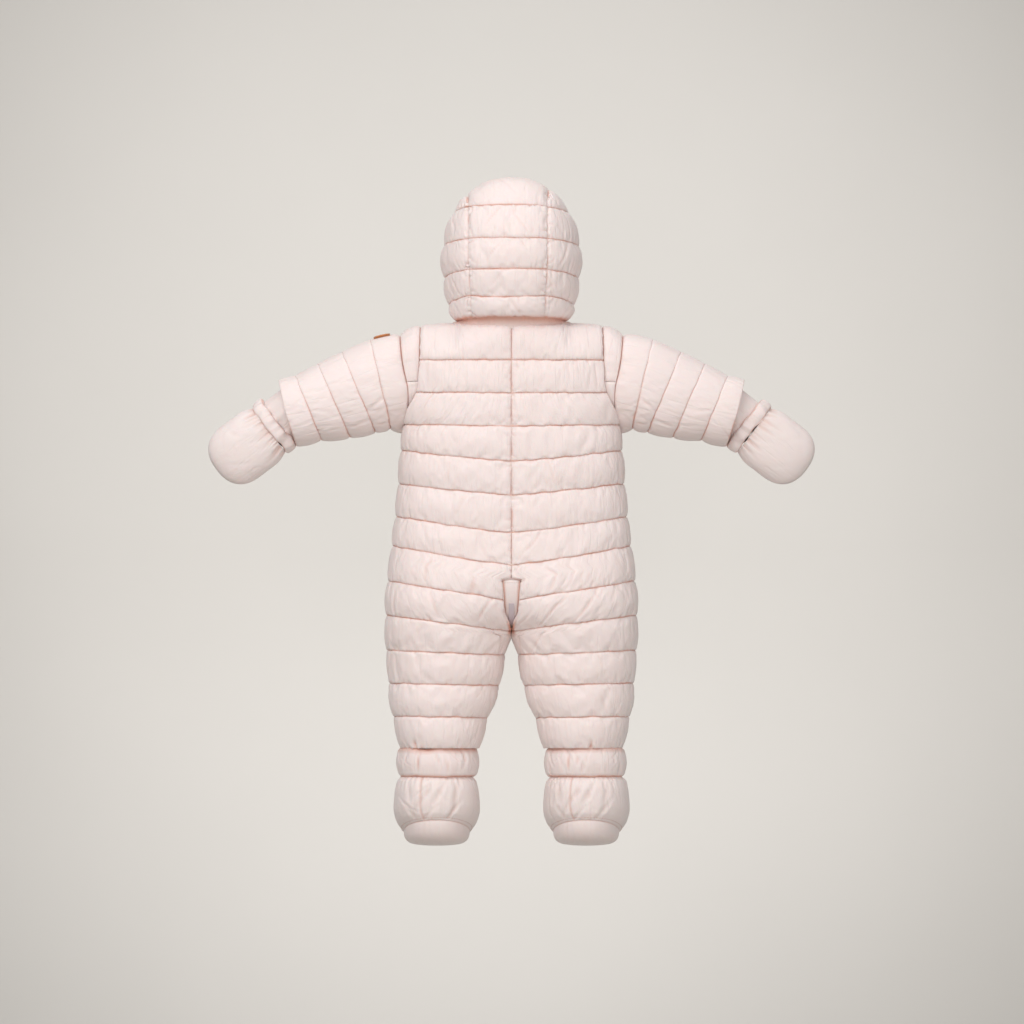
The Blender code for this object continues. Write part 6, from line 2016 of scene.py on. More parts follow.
def cast_slider(material):
    """The slider: two shoulders over the teeth, a neck between them and a bridge for the pull."""
    back, front, _ = slider_depths()
    half, bottom = SLIDER_WIDTH / 2, SLIDER_TOP_Z - SLIDER_HEIGHT
    low, high = bottom + SLIDER_END, SLIDER_TOP_Z - SLIDER_END
    made = block("zip_slider_cast", (-half, front + 1.4, bottom), (half, back, SLIDER_TOP_Z), 0.9)
    narrow_low_end(made, bottom)
    plate = block("slider_face", (-half + 0.6, front, bottom + 0.8), (half - 0.6, front + 1.8, SLIDER_TOP_Z - 0.8), 0.8)
    cut_or_add(made, plate, "UNION")
    neck = block(
        "slider_neck",
        (-SLIDER_NECK_HALF, back - SLIDER_BITE, low),
        (SLIDER_NECK_HALF, back + SLIDER_NECK_REACH, high),
        0.3,
    )
    cut_or_add(made, neck, "UNION")
    bridge = block(
        "slider_bridge",
        (-BRIDGE_THICK / 2, front - BRIDGE_REACH, low),
        (BRIDGE_THICK / 2, front + SLIDER_BITE, high),
        0.4,
    )
    hole = block(
        "slider_bridge_hole",
        (-BRIDGE_THICK, front - BRIDGE_REACH + BRIDGE_ROOF, low + BRIDGE_LEG),
        (BRIDGE_THICK, front, high - BRIDGE_LEG),
        0.4,
    )
    cut_or_add(bridge, hole, "DIFFERENCE")
    cut_or_add(made, bridge, "UNION")
    finish_metal(made, material, SUIT)
    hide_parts("zip_slider")
    return made


def narrow_low_end(thing, bottom):
    """Draws the slider's lower end in, where the two rows of teeth leave it as one."""
    for vertex in thing.data.vertices:
        share = min(max((vertex.co.z / MM - bottom) / 5.0, 0.0), 1.0)
        vertex.co.x *= 0.78 + 0.22 * share


def stamped_pull(material):
    """The pull: a plate with a slot, a rounded tip and a raised rim."""
    _, _, tilt = pull_axis()
    half, thick = PULL_WIDTH / 2, PULL_THICK / 2
    made = block("zip_pull_stamped", (-half, -thick, -PULL_LENGTH), (half, thick, PULL_BAR), 0.6)
    slot = block(
        "pull_slot",
        (PULL_SIDE - half, -thick - PULL_THROUGH, -PULL_SLOT),
        (half - PULL_SIDE, thick + PULL_THROUGH, -PULL_BAR),
        0.4,
    )
    cut_or_add(made, slot, "DIFFERENCE")
    for way in (-1, 1):
        dish = block(
            "pull_dish",
            (-half + 1.1, way * (thick - 0.3), -PULL_LENGTH + 1.6),
            (half - 1.1, way * (thick + 1.0), -PULL_SLOT - 1.6),
            0.5,
        )
        cut_or_add(made, dish, "DIFFERENCE")
    axis_y, axis_z, _ = pull_axis()
    turn = Matrix.Rotation(-tilt, 4, "X")
    made.data.transform(Matrix.Translation((0.0, axis_y * MM, axis_z * MM)) @ turn)
    finish_metal(made, material, PULL)
    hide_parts("zip_pull")
    return made


# ---------------------------------------------------------------- materials


def fresh_material(name):
    """An empty node material with its shader."""
    made = bpy.data.materials.new(name)
    made.use_nodes = True
    nodes, links = made.node_tree.nodes, made.node_tree.links
    shader = nodes["Principled BSDF"]
    return made, nodes, links, shader


def add_node(nodes, kind, **values):
    """A node with its options and unlinked inputs set."""
    node = nodes.new(kind)
    for key, value in values.items():
        if key in node.inputs:
            node.inputs[key].default_value = value
        else:
            setattr(node, key, value)
    return node


def mix_colours(nodes, links, factor, one, two):
    """Mixes two colours, each a value or a socket, by a socket."""
    mix = nodes.new("ShaderNodeMix")
    mix.data_type = "RGBA"
    links.new(factor, mix.inputs["Factor"])
    for socket, colour in ((mix.inputs[6], one), (mix.inputs[7], two)):
        if hasattr(colour, "is_linked"):
            links.new(colour, socket)
        else:
            socket.default_value = (*colour[:3], 1.0)
    return mix.outputs[2]


def nylon(name, colour, seam_colour, weave=True):
    """Down-proof nylon: a fine weave and micro creases, with painted shade, darker and warmer, deep in the seams and
    folds.
    """
    made, nodes, links, shader = fresh_material(name)
    place = nodes.new("ShaderNodeTexCoord").outputs["Object"]
    crease = add_node(nodes, "ShaderNodeAttribute", attribute_name="crease").outputs["Fac"]
    tone = add_node(nodes, "ShaderNodeTexNoise", Scale=14.0, Detail=3.0)
    links.new(place, tone.inputs["Vector"])
    fair = tuple(min(c * 1.02, 1.0) for c in colour)
    warm = (colour[0] * 0.985, colour[1] * 0.955, colour[2] * 0.93)
    cloth = mix_colours(nodes, links, tone.outputs["Fac"], warm, fair)
    # Painted shade: the cloth's colour goes towards the seam shade colour as the mask attribute rises.
    depth = add_node(nodes, "ShaderNodeMapRange")
    links.new(crease, depth.inputs["Value"])
    for key, value in (("From Min", 0.05), ("From Max", 1.0), ("To Min", 0.0), ("To Max", 0.85)):
        depth.inputs[key].default_value = value
    shade = mix_colours(nodes, links, depth.outputs["Result"], cloth, seam_colour)
    links.new(shade, shader.inputs["Base Color"])
    gloss = add_node(nodes, "ShaderNodeMapRange")
    links.new(tone.outputs["Fac"], gloss.inputs["Value"])
    gloss.inputs["To Min"].default_value = 0.46
    gloss.inputs["To Max"].default_value = 0.56
    links.new(gloss.outputs["Result"], shader.inputs["Roughness"])
    crumple = add_node(nodes, "ShaderNodeTexNoise", Scale=70.0, Detail=5.0, Roughness=0.6)
    links.new(place, crumple.inputs["Vector"])
    bump = add_node(nodes, "ShaderNodeBump", Strength=0.14, Distance=0.0009)
    links.new(crumple.outputs["Fac"], bump.inputs["Height"])
    normal = bump.outputs["Normal"]
    if weave:
        laid = add_node(nodes, "ShaderNodeUVMap", uv_map="cloth").outputs["UV"]
        for across, down, strength in ((190.0, 26.0, 0.48), (95.0, 60.0, 0.28)):
            drawn = add_node(nodes, "ShaderNodeMapping")
            drawn.inputs["Scale"].default_value = (across, down, 1.0)
            links.new(laid, drawn.inputs["Vector"])
            wrinkle = add_node(nodes, "ShaderNodeTexNoise", Scale=1.0, Detail=2.0, Distortion=0.5)
            links.new(drawn.outputs["Vector"], wrinkle.inputs["Vector"])
            sharp = add_node(nodes, "ShaderNodeMapRange", interpolation_type="SMOOTHSTEP")
            links.new(wrinkle.outputs["Fac"], sharp.inputs["Value"])
            sharp.inputs["From Min"].default_value = 0.30
            sharp.inputs["From Max"].default_value = 0.52
            drawn_in = add_node(nodes, "ShaderNodeBump", Strength=strength, Distance=0.0006)
            links.new(sharp.outputs["Result"], drawn_in.inputs["Height"])
            links.new(normal, drawn_in.inputs["Normal"])
            normal = drawn_in.outputs["Normal"]
        for direction in ("X", "Y"):
            wave = add_node(nodes, "ShaderNodeTexWave", Scale=WEAVE_SCALE, Distortion=0.6)
            wave.bands_direction = direction
            links.new(laid, wave.inputs["Vector"])
            fine = add_node(nodes, "ShaderNodeBump", Strength=0.05, Distance=0.0001)
            links.new(wave.outputs["Fac"], fine.inputs["Height"])
            links.new(normal, fine.inputs["Normal"])
            normal = fine.outputs["Normal"]
    links.new(normal, shader.inputs["Normal"])
    shader.inputs["Specular IOR Level"].default_value = 0.35
    shader.inputs["Sheen Weight"].default_value = 0.18
    shader.inputs["Sheen Roughness"].default_value = 0.45
    shader.inputs["Subsurface Weight"].default_value = 0.12
    shader.inputs["Subsurface Radius"].default_value = (1.0, 0.45, 0.3)
    shader.inputs["Subsurface Scale"].default_value = 0.006
    return made


def woven_tape(name, colour, scale):
    """Close woven tape: a herringbone of fine ribs."""
    made, nodes, links, shader = fresh_material(name)
    place = nodes.new("ShaderNodeTexCoord").outputs["Object"]
    rib = add_node(nodes, "ShaderNodeTexWave", Scale=scale, Distortion=1.2)
    rib.bands_direction = "Z"
    links.new(place, rib.inputs["Vector"])
    dark = tuple(c * 0.82 for c in colour)
    links.new(mix_colours(nodes, links, rib.outputs["Fac"], dark, colour), shader.inputs["Base Color"])
    bump = add_node(nodes, "ShaderNodeBump", Strength=0.3, Distance=0.0002)
    links.new(rib.outputs["Fac"], bump.inputs["Height"])
    links.new(bump.outputs["Normal"], shader.inputs["Normal"])
    shader.inputs["Roughness"].default_value = 0.75
    shader.inputs["Sheen Weight"].default_value = 0.2
    return made


def tanned_leather(name, colour):
    """Plain tan leather: pebbled grain, darker at its edges."""
    made, nodes, links, shader = fresh_material(name)
    place = nodes.new("ShaderNodeTexCoord").outputs["Object"]
    grain = add_node(nodes, "ShaderNodeTexVoronoi", Scale=900.0)
    links.new(place, grain.inputs["Vector"])
    cloud = add_node(nodes, "ShaderNodeTexNoise", Scale=160.0, Detail=4.0)
    links.new(place, cloud.inputs["Vector"])
    light = tuple(min(c * 1.25, 1.0) for c in colour)
    base = mix_colours(nodes, links, cloud.outputs["Fac"], colour, light)
    edge = add_node(nodes, "ShaderNodeAttribute", attribute_name="crease").outputs["Fac"]
    dark = tuple(c * 0.45 for c in colour)
    links.new(mix_colours(nodes, links, edge, base, dark), shader.inputs["Base Color"])
    bump = add_node(nodes, "ShaderNodeBump", Strength=0.35, Distance=0.0002)
    links.new(grain.outputs["Distance"], bump.inputs["Height"])
    links.new(bump.outputs["Normal"], shader.inputs["Normal"])
    shader.inputs["Roughness"].default_value = 0.5
    return made


def brushed_metal(name, colour):
    """Rose-tinted zinc with a soft brushed finish."""
    made, nodes, links, shader = fresh_material(name)
    place = nodes.new("ShaderNodeTexCoord").outputs["Object"]
    brush = add_node(nodes, "ShaderNodeTexNoise", Scale=700.0, Detail=2.0)
    links.new(place, brush.inputs["Vector"])
    span = add_node(nodes, "ShaderNodeMapRange")
    links.new(brush.outputs["Fac"], span.inputs["Value"])
    span.inputs["To Min"].default_value = 0.24
    span.inputs["To Max"].default_value = 0.42
    links.new(span.outputs["Result"], shader.inputs["Roughness"])
    worn = tuple(min(c * 1.15, 1.0) for c in colour)
    links.new(mix_colours(nodes, links, brush.outputs["Fac"], colour, worn), shader.inputs["Base Color"])
    shader.inputs["Metallic"].default_value = 1.0
    return made


def backdrop_paper(name, colour, corner_shade_colour):
    """Matt studio paper with a painted pool of light in its middle and painted shade that deepens towards its corners,
    and clear from behind for views of the front.
    """
    made, nodes, links, shader = fresh_material(name)
    place = nodes.new("ShaderNodeTexCoord").outputs["Object"]
    apart = nodes.new("ShaderNodeSeparateXYZ")
    links.new(place, apart.inputs["Vector"])
    flat = nodes.new("ShaderNodeCombineXYZ")
    links.new(apart.outputs["X"], flat.inputs["X"])
    links.new(apart.outputs["Z"], flat.inputs["Z"])
    away = add_node(nodes, "ShaderNodeVectorMath", operation="DISTANCE")
    links.new(flat.outputs["Vector"], away.inputs[0])
    away.inputs[1].default_value = BACKDROP_PAINTED_LIGHT_MIDDLE
    # Painted shade: the paper's colour darkens from the painted pool of light towards the corners.
    span = add_node(nodes, "ShaderNodeMapRange", interpolation_type="SMOOTHSTEP")
    links.new(away.outputs["Value"], span.inputs["Value"])
    span.inputs["From Min"].default_value = BACKDROP_PAINTED_LIGHT_REACH
    span.inputs["From Max"].default_value = BACKDROP_PAINTED_SHADE_REACH
    base = mix_colours(nodes, links, span.outputs["Result"], colour, corner_shade_colour)
    mottle = add_node(nodes, "ShaderNodeTexNoise", Scale=3.0, Detail=5.0)
    links.new(place, mottle.inputs["Vector"])
    faint = add_node(nodes, "ShaderNodeMapRange")
    links.new(mottle.outputs["Fac"], faint.inputs["Value"])
    faint.inputs["To Min"].default_value = 0.0
    faint.inputs["To Max"].default_value = 0.10
    links.new(mix_colours(nodes, links, faint.outputs["Result"], base, corner_shade_colour), shader.inputs["Base Color"])
    shader.inputs["Roughness"].default_value = 0.9
    shader.inputs["Specular IOR Level"].default_value = 0.1
    behind = nodes.new("ShaderNodeNewGeometry").outputs["Backfacing"]
    either = nodes.new("ShaderNodeMixShader")
    links.new(behind, either.inputs[0])
    links.new(shader.outputs["BSDF"], either.inputs[1])
    links.new(nodes.new("ShaderNodeBsdfTransparent").outputs["BSDF"], either.inputs[2])
    links.new(either.outputs["Shader"], nodes["Material Output"].inputs["Surface"])
    return made


def finishes():
    """The suit's materials by name, made once."""
    cloth = bpy.context.scene.snowsuit_cloth
    if not FINISHES:
        # seam is the colour of the painted shade in seams, folds and shaded gaps.
        pink, seam = tuple(cloth.colour), tuple(cloth.seam_colour)
        FINISHES["nylon"] = nylon("Quilted pale pink nylon", pink, seam)
        FINISHES["plain"] = nylon("Plain pale pink nylon", tuple(c * 0.985 for c in pink), seam)
        FINISHES["thread"] = woven_tape("Pink sewing thread", (0.66, 0.42, 0.36), 900.0)
        FINISHES["tape"] = woven_tape("Lilac-grey woven tape", tuple(cloth.tape_colour), 260.0)
        FINISHES["leather"] = tanned_leather("Tan leather", tuple(cloth.leather_colour))
        FINISHES["metal"] = brushed_metal("Rose zinc", tuple(cloth.metal_colour))
    return FINISHES


FINISHES = {}


# ---------------------------------------------------------------- the add-on


class SnowsuitCloth(bpy.types.PropertyGroup):
    """How full and how soft the cloth is, and its colours."""

    pressure: bpy.props.FloatProperty(
        name="Down pressure", description="How hard the down pushes the cloth out", default=2.6, min=0.0
    )
    ease: bpy.props.FloatProperty(
        name="Ease", description="How much larger the outer cloth is cut than its lining",
        default=0.03, min=0.0, max=0.3, subtype="FACTOR",
    )
    pucker: bpy.props.FloatProperty(
        name="Pucker depth", description="The deepest pucker beside a stitched line, in millimetres",
        default=0.75, min=0.0,
    )
    colour: bpy.props.FloatVectorProperty(
        name="Cloth", description="Colour of the nylon", subtype="COLOR", size=3,
        default=(0.875, 0.768, 0.75), min=0.0, max=1.0,
    )
    # Painted shade: the colour the cloth darkens to deep in the stitched lines, seams, folds and shaded gaps.
    seam_colour: bpy.props.FloatVectorProperty(
        name="Seam shade", description="Colour deep in the stitched lines", subtype="COLOR", size=3,
        default=(0.64, 0.23, 0.12), min=0.0, max=1.0,
    )
    tape_colour: bpy.props.FloatVectorProperty(
        name="Tape", description="Colour of the woven tapes", subtype="COLOR", size=3,
        default=(0.70, 0.60, 0.64), min=0.0, max=1.0,
    )
    leather_colour: bpy.props.FloatVectorProperty(
        name="Leather", description="Colour of the patch", subtype="COLOR", size=3,
        default=(0.58, 0.18, 0.035), min=0.0, max=1.0,
    )
    metal_colour: bpy.props.FloatVectorProperty(
        name="Metal", description="Colour of the zip's metal", subtype="COLOR", size=3,
        default=(0.75, 0.62, 0.55), min=0.0, max=1.0,
    )


class SnowsuitStage(bpy.types.PropertyGroup):
    """The studio round the suit."""

    key: bpy.props.FloatProperty(
        name="Key light", description="Power of the large soft light", default=57.5, unit="POWER", min=0.0
    )
    fill: bpy.props.FloatProperty(
        name="Fill light", description="Power of the light from the other side", default=17.0,
        unit="POWER", min=0.0,
    )
    room: bpy.props.FloatProperty(
        name="Room light", description="Strength of the even light all round", default=0.56, min=0.0
    )
    distance: bpy.props.FloatProperty(
        name="Camera distance", description="From the camera to the suit", default=30.0, unit="LENGTH"
    )
    backdrop: bpy.props.FloatVectorProperty(
        name="Backdrop", description="Colour behind the suit", subtype="COLOR", size=3,
        default=(0.955, 0.925, 0.88), min=0.0, max=1.0,
    )
    # The painted shade that the backdrop's colour deepens to towards its corners.
    backdrop_corner_shade: bpy.props.FloatVectorProperty(
        name="Backdrop corner shade", description="Colour towards the corners", subtype="COLOR", size=3,
        default=(0.32, 0.305, 0.28), min=0.0, max=1.0,
    )


class SNOWSUIT_OT_body(bpy.types.Operator):
    """Make the two backs and the two fronts, with their stitching"""

    bl_idname = "snowsuit.body"
    bl_label = "Body panels"

    def execute(self, context):
        looks = finishes()
        depth = context.scene.snowsuit_cloth.pucker
        panels = body_panels()
        settle(panels, 0.8)
        names = ("back_left", "back_right", "front_left", "front_right")
        for panel, node in zip(panels, names):
            side = node.split("_")[1]
            creases = BACK_CREASES[side] if node.startswith("back") else BACK_CREASES[side][::2]
            panel.refine()
            pucker(panel, depth, PUCKER_SPACING, creases)
            pucker_seam(panel, 0, 2.2)
            hold_at_middle(panel)
            close_wall(panel, node, looks["nylon"])
            sew(f"stitching_{node}", line_runs(panel), looks["thread"])
        return {"FINISHED"}


class SNOWSUIT_OT_sleeves(bpy.types.Operator):
    """Make the sleeves, the shoulder strips and the leather patch"""

    bl_idname = "snowsuit.sleeves"
    bl_label = "Sleeves and shoulders"

    def execute(self, context):
        looks = finishes()
        depth = context.scene.snowsuit_cloth.pucker
        sleeves = [sleeve_panel(side, sign, 201 + sign) for side, sign in SIDES]
        settle(sleeves, 0.4)
        for panel, (side, sign) in zip(sleeves, SIDES):
            panel.refine()
            pucker(panel, depth * 0.8, PUCKER_SPACING * 0.9, SLEEVE_CREASES, 1.4)
            # Painted shade: the lines' shade is stronger where the sleeve faces down and weaker on top.
            panel.crease *= np.clip(0.62 - 0.6 * panel.normals[..., 2], 0.15, 1)
            close_wall(panel, f"sleeve_{side}", looks["nylon"])
            sew(f"stitching_sleeve_{side}", line_runs(panel), looks["thread"])
            for strip in shoulder_strips(side, sign):
                node = strip.name.replace("_cloth", "")
                close_wall(strip, node, looks["plain"])
        patch, near = leather_patch(sleeves[0])
        close_wall(patch, "leather_patch", looks["leather"], PATCH_THICK)
        inset = 4
        outline = [(inset, c) for c in range(inset, PATCH_COLUMNS - inset)]
        rows = patch.base.shape[0]
        outline += [(r, PATCH_COLUMNS - 1 - inset) for r in range(inset, rows - inset)]
        outline += [(rows - 1 - inset, c) for c in range(PATCH_COLUMNS - inset - 1, inset - 1, -1)]
        outline += [(r, inset) for r in range(rows - inset - 1, inset - 1, -1)]
        points = np.array([patch.outer[r, c] for r, c in outline])
        normals = np.array([patch.normals[r, c] for r, c in outline])
        sew("stitching_leather_patch", [(points, normals, 2.4, 1.7)], looks["thread"])
        return {"FINISHED"}


class SNOWSUIT_OT_hood(bpy.types.Operator):
    """Make the hood's three panels and the collar"""

    bl_idname = "snowsuit.hood"
    bl_label = "Hood and collar"

    def execute(self, context):
        looks = finishes()
        depth = context.scene.snowsuit_cloth.pucker
        panels = [hood_centre_panel()] + [hood_side_panel(side, sign) for side, sign in SIDES]
        settle(panels, 0.7)
        for panel in panels:
            node = panel.name.replace("_quilted", "")
            panel.refine()
            pucker(panel, depth * 1.2, PUCKER_SPACING * 0.9, HOOD_CREASES.get(node, ()), 1.5)
            pucker_seam(panel, 0, 2.2)
            if node == "hood_centre":
                pucker_seam(panel, -1, 2.2)
                panel.outer[:, 0, 0] -= HOOD_HALF_SEAM * 0.8
                panel.outer[:, -1, 0] += HOOD_HALF_SEAM * 0.8
            else:
                panel.outer[:, 0, 0] -= math.copysign(HOOD_HALF_SEAM * 0.8, panel.outer[0, 0, 0])
            # Painted shade along the hood's lower hem, where it overhangs the collar.
            edge = np.exp(-((np.arange(len(panel.outer)) / 3.2) ** 2))
            panel.crease = np.maximum(panel.crease, edge[:, None])
            close_wall(panel, node, looks["nylon"])
            sew(f"stitching_{node}", line_runs(panel), looks["thread"])
        collar = collar_panel()
        close_wall(collar, "collar", looks["plain"], PLAIN_WALL)
        sew("stitching_collar", [(collar.outer[2], collar.normals[2])], looks["thread"])
        return {"FINISHED"}


class SNOWSUIT_OT_mittens(bpy.types.Operator):
    """Make the mittens, their bands and the inner cuffs"""

    bl_idname = "snowsuit.mittens"
    bl_label = "Mittens"

    def execute(self, context):
        looks = finishes()
        for side, sign in SIDES:
            for word, sign_y in (("back", 1), ("palm", -1)):
                node = f"mitten_{word}_{side}"
                panel = mitten_panel(node + "_cloth", sign_y, sign, 301 + sign + 5 * sign_y)
                close_wall(panel, node, looks["plain"])
            band = band_panel(side, sign)
            close_wall(band, f"mitten_band_{side}", looks["plain"], BAND_THICK)
            cuff = sleeve_cuff_panel(side, sign)
            # Painted shade on the inner cuff, darker where it faces down.
            cuff.crease = np.clip(-0.9 * cuff.normals[..., 2] - 0.1, 0.05, 0.7)
            node = f"sleeve_inner_cuff_{side}"
            close_wall(cuff, node, looks["plain"], PLAIN_WALL)
        return {"FINISHED"}


class SNOWSUIT_OT_feet(bpy.types.Operator):
    """Make the ankle cuffs, the booties and their soles"""

    bl_idname = "snowsuit.feet"
    bl_label = "Booties"

    def execute(self, context):
        looks = finishes()
        for side, sign in SIDES:
            ankle = ankle_panel(side, sign)
            # Painted shade, even over the inner cuff, which lies in the shadow of the leg's hem.
            ankle.crease[:] = 0.15
            close_wall(ankle, f"ankle_cuff_{side}", looks["plain"], PLAIN_WALL)
            cuff = bootie_cuff_panel(side, sign)
            close_wall(cuff, f"bootie_cuff_{side}", looks["plain"], CUFF_THICK)
            upper = bootie_panel(side, sign)
            close_wall(upper, f"bootie_upper_{side}", looks["plain"])
            sole = make_sole(side, sign, looks["plain"])
            ring = upper.outer[-6]
            ways = upper.normals[-6]
            runs = [(np.concatenate([ring, ring[:1]]), np.concatenate([ways, ways[:1]]), 3.6, 2.4, 0.33)]
            sew(f"stitching_bootie_{side}", runs, looks["thread"])
        return {"FINISHED"}


def hold_at_middle(panel):
    """Keeps a back or front panel on its own side of the middle, and closes the legs' tops together, with painted shade
    in the gap behind.
    """
    sign = math.copysign(1.0, float(panel.base[..., 0].mean()))
    x = panel.outer[..., 0] * sign
    near = np.exp(-(((panel.outer[..., 2] - PINCH_Z) / PINCH_TALL) ** 2))
    near = near * np.clip(1 - (x - x[:, :1]) / PINCH_WIDE, 0, 1) ** 1.5
    if panel.name.startswith("back"):
        x = x - PINCH_CLOSE * near
        panel.outer[..., 1] += PINCH_OUT * near
        # Painted shade in the dark gap where the legs' tops close together.
        dark = near**3 * np.exp(-(((x - x[:, :1]) / 2.2) ** 2))
        panel.crease = np.maximum(panel.crease, np.clip(1.3 * dark, 0, 1))
        rows = panel.outer[:, 0, 2] > GUSSET_TOP_Z
        x[rows, 0] = CLOSED_SEAM
    panel.outer[..., 0] = np.maximum(x, CLOSED_SEAM) * sign


def make_sole(side, sign, material):
    """Skins the sole's rings and replaces the solid one."""
    rings = sole_panel(side, sign)
    points = np.concatenate(rings)
    count = len(rings[0])
    ids = np.arange(len(points)).reshape(len(rings), count)
    faces = [tuple(f) for f in grid_faces(ids, True).tolist()]
    faces.append(tuple(ids[0].tolist()))
    faces.append(tuple(ids[-1].tolist()))
    mesh = bpy.data.meshes.new(f"bootie_sole_{side}_padded")
    mesh.from_pydata((points * MM).tolist(), [], faces)
    shape = bmesh.new()
    shape.from_mesh(mesh)
    bmesh.ops.recalc_face_normals(shape, faces=shape.faces)
    shape.to_mesh(mesh)
    shape.free()
    layer = mesh.attributes.new("crease", "FLOAT", "POINT")
    values = np.zeros(len(points), np.float32)
    # Painted shade round the sole's seam.
    values[:count] = 0.45
    layer.data.foreach_set("value", values)
    flat = np.stack([points[:, 0], points[:, 1]], axis=1) * MM
    corners = np.zeros(len(mesh.loops), np.int32)
    mesh.loops.foreach_get("vertex_index", corners)
    mesh.uv_layers.new(name="cloth").data.foreach_set("uv", flat[corners].astype(np.float32).ravel())
    made = new_object(mesh.name, mesh, material)
    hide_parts(f"bootie_sole_{side}")
    return made


class SNOWSUIT_OT_gusset(bpy.types.Operator):
    """Make the gusset between the legs and its tab"""

    bl_idname = "snowsuit.gusset"
    bl_label = "Gusset"

    def execute(self, context):
        looks = finishes()
        panel, back_rows = gusset_panel()
        close_wall(panel, "gusset", looks["plain"])
        tab = gusset_tab(panel, back_rows)
        close_wall(tab, "gusset_tab", looks["tape"], TAB_THICK)
        sides = [(panel.outer[:, c], panel.normals[:, c], 2.6, 1.8, 0.22) for c in (1, -2)]
        top = [(panel.outer[2], panel.normals[2], 2.6, 1.8, 0.22)]
        sew("stitching_gusset", sides + top, looks["thread"])
        return {"FINISHED"}


class SNOWSUIT_OT_zip(bpy.types.Operator):
    """Make the zip's teeth, slider and pull, and finish its tapes"""

    bl_idname = "snowsuit.zip"
    bl_label = "Zip"

    def execute(self, context):
        looks = finishes()
        for side, sign in SIDES:
            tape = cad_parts[f"zip_tape_{side}"]
            tape.data.materials.clear()
            tape.data.materials.append(looks["tape"])
            teeth(f"zip_teeth_{side}", sign, looks["metal"])
        cast_slider(looks["metal"])
        stamped_pull(looks["metal"])
        return {"FINISHED"}


class SNOWSUIT_OT_stage(bpy.types.Operator):
    """Set up the camera, the soft lights and the paper sweep"""

    bl_idname = "snowsuit.stage"
    bl_label = "Studio"

    def execute(self, context):
        studio = context.scene.snowsuit_stage
        camera_data = bpy.data.cameras.new("camera")
        camera = bpy.data.objects.new("camera", camera_data)
        context.scene.collection.objects.link(camera)
        camera.location = (VIEW_X, studio.distance, VIEW_Z)
        camera.rotation_euler = (math.pi / 2, 0.0, math.pi)
        camera_data.sensor_width = SENSOR
        camera_data.lens = SENSOR * studio.distance / (VIEW_SPAN * MM)
        context.scene.camera = camera
        for name, place, size, power, tint in (
            ("key", (1.3, 2.4, 2.0), 2.2, studio.key, (1.0, 1.0, 1.0)),
            ("fill", (-2.2, 2.2, 0.2), 2.6, studio.fill, (1.0, 0.99, 0.98)),
            ("low", (0.2, 1.9, -1.02), 1.3, studio.fill * 0.6, (1.0, 0.97, 0.955)),
            ("rim", (0.0, -0.9, 2.4), 1.6, studio.fill * 0.8, (1.0, 1.0, 1.0)),
        ):
            soft_light(name, place, size, power, tint)
        world = bpy.data.worlds.new("room")
        world.use_nodes = True
        world.node_tree.nodes["Background"].inputs["Color"].default_value = (1.0, 0.99, 0.985, 1.0)
        world.node_tree.nodes["Background"].inputs["Strength"].default_value = studio.room
        context.scene.world = world
        context.scene.view_settings.view_transform = "Standard"
        sweep = paper_sweep(backdrop_paper("Warm grey paper", tuple(studio.backdrop), tuple(studio.backdrop_corner_shade)))
        return {"FINISHED"}


def soft_light(name, place, size, power, tint):
    """A large square light that faces the suit's middle."""
    data = bpy.data.lights.new(name, "AREA")
    data.size = size
    data.energy = power
    data.color = tint
    made = bpy.data.objects.new(name, data)
    made.location = place
    way = Vector((0.0, 0.0, VIEW_Z)) - Vector(place)
    made.rotation_euler = way.to_track_quat("-Z", "Y").to_euler()
    bpy.context.scene.collection.objects.link(made)


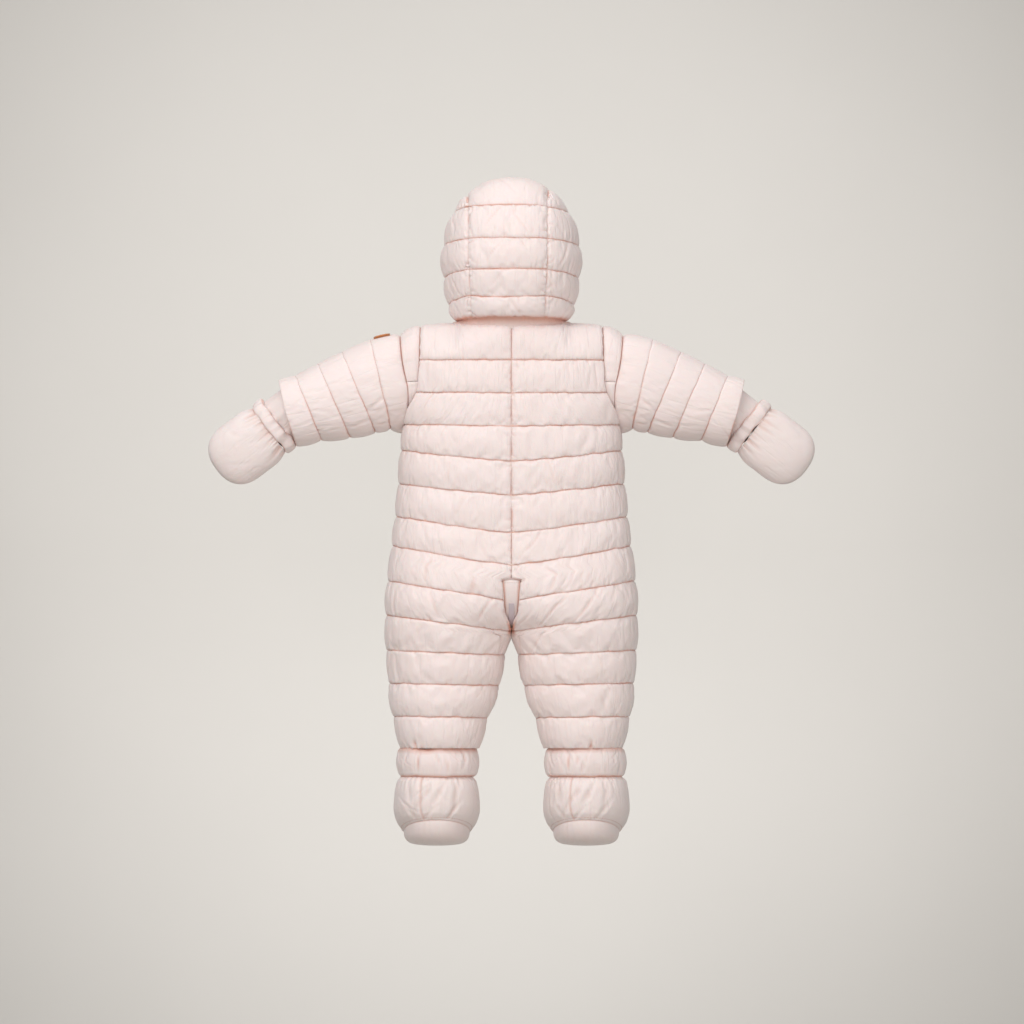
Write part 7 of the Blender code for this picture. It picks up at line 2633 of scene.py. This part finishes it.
def paper_sweep(material):
    """Paper that lies on the floor and curves up behind the suit."""
    bend, floor_z, wall_y = 0.9, -1.15, -1.6
    profile = [(4.5, floor_z), (wall_y + bend, floor_z)]
    for turn in np.linspace(0, math.pi / 2, 14)[1:]:
        profile.append((wall_y + bend - bend * math.sin(turn), floor_z + bend - bend * math.cos(turn)))
    profile.append((wall_y, 3.6))
    points = [(x, y, z) for y, z in profile for x in (-5.0, 5.0)]
    faces = [(2 * i, 2 * i + 2, 2 * i + 3, 2 * i + 1) for i in range(len(profile) - 1)]
    mesh = bpy.data.meshes.new("paper_sweep")
    mesh.from_pydata(points, [], faces)
    mesh.materials.append(material)
    mesh.shade_smooth()
    made = bpy.data.objects.new("paper_sweep", mesh)
    bpy.context.scene.collection.objects.link(made)
    return made


class SNOWSUIT_PT_sidebar(bpy.types.Panel):
    """Lists the suit's pieces and settings"""

    bl_idname = "SNOWSUIT_PT_sidebar"
    bl_label = "Snowsuit"
    bl_space_type = "VIEW_3D"
    bl_region_type = "UI"
    bl_category = "Snowsuit"

    def draw(self, context):
        layout = self.layout
        for group in (context.scene.snowsuit_cloth, context.scene.snowsuit_stage):
            box = layout.box()
            for key in group.__annotations__:
                box.prop(group, key)
        for operator in OPERATORS:
            layout.operator(operator.bl_idname)


OPERATORS = (
    SNOWSUIT_OT_body,
    SNOWSUIT_OT_sleeves,
    SNOWSUIT_OT_hood,
    SNOWSUIT_OT_mittens,
    SNOWSUIT_OT_feet,
    SNOWSUIT_OT_gusset,
    SNOWSUIT_OT_zip,
    SNOWSUIT_OT_stage,
)
CLASSES = (SnowsuitCloth, SnowsuitStage, *OPERATORS, SNOWSUIT_PT_sidebar)


def register():
    for each in CLASSES:
        bpy.utils.register_class(each)
    bpy.types.Scene.snowsuit_cloth = bpy.props.PointerProperty(type=SnowsuitCloth)
    bpy.types.Scene.snowsuit_stage = bpy.props.PointerProperty(type=SnowsuitStage)


def unregister():
    del bpy.types.Scene.snowsuit_cloth
    del bpy.types.Scene.snowsuit_stage
    for each in reversed(CLASSES):
        bpy.utils.unregister_class(each)


def main():
    """Makes every piece in order."""
    register()
    for make in (
        bpy.ops.snowsuit.body,
        bpy.ops.snowsuit.sleeves,
        bpy.ops.snowsuit.hood,
        bpy.ops.snowsuit.mittens,
        bpy.ops.snowsuit.feet,
        bpy.ops.snowsuit.gusset,
        bpy.ops.snowsuit.zip,
        bpy.ops.snowsuit.stage,
    ):
        make()


if __name__ == "__main__":
    main()
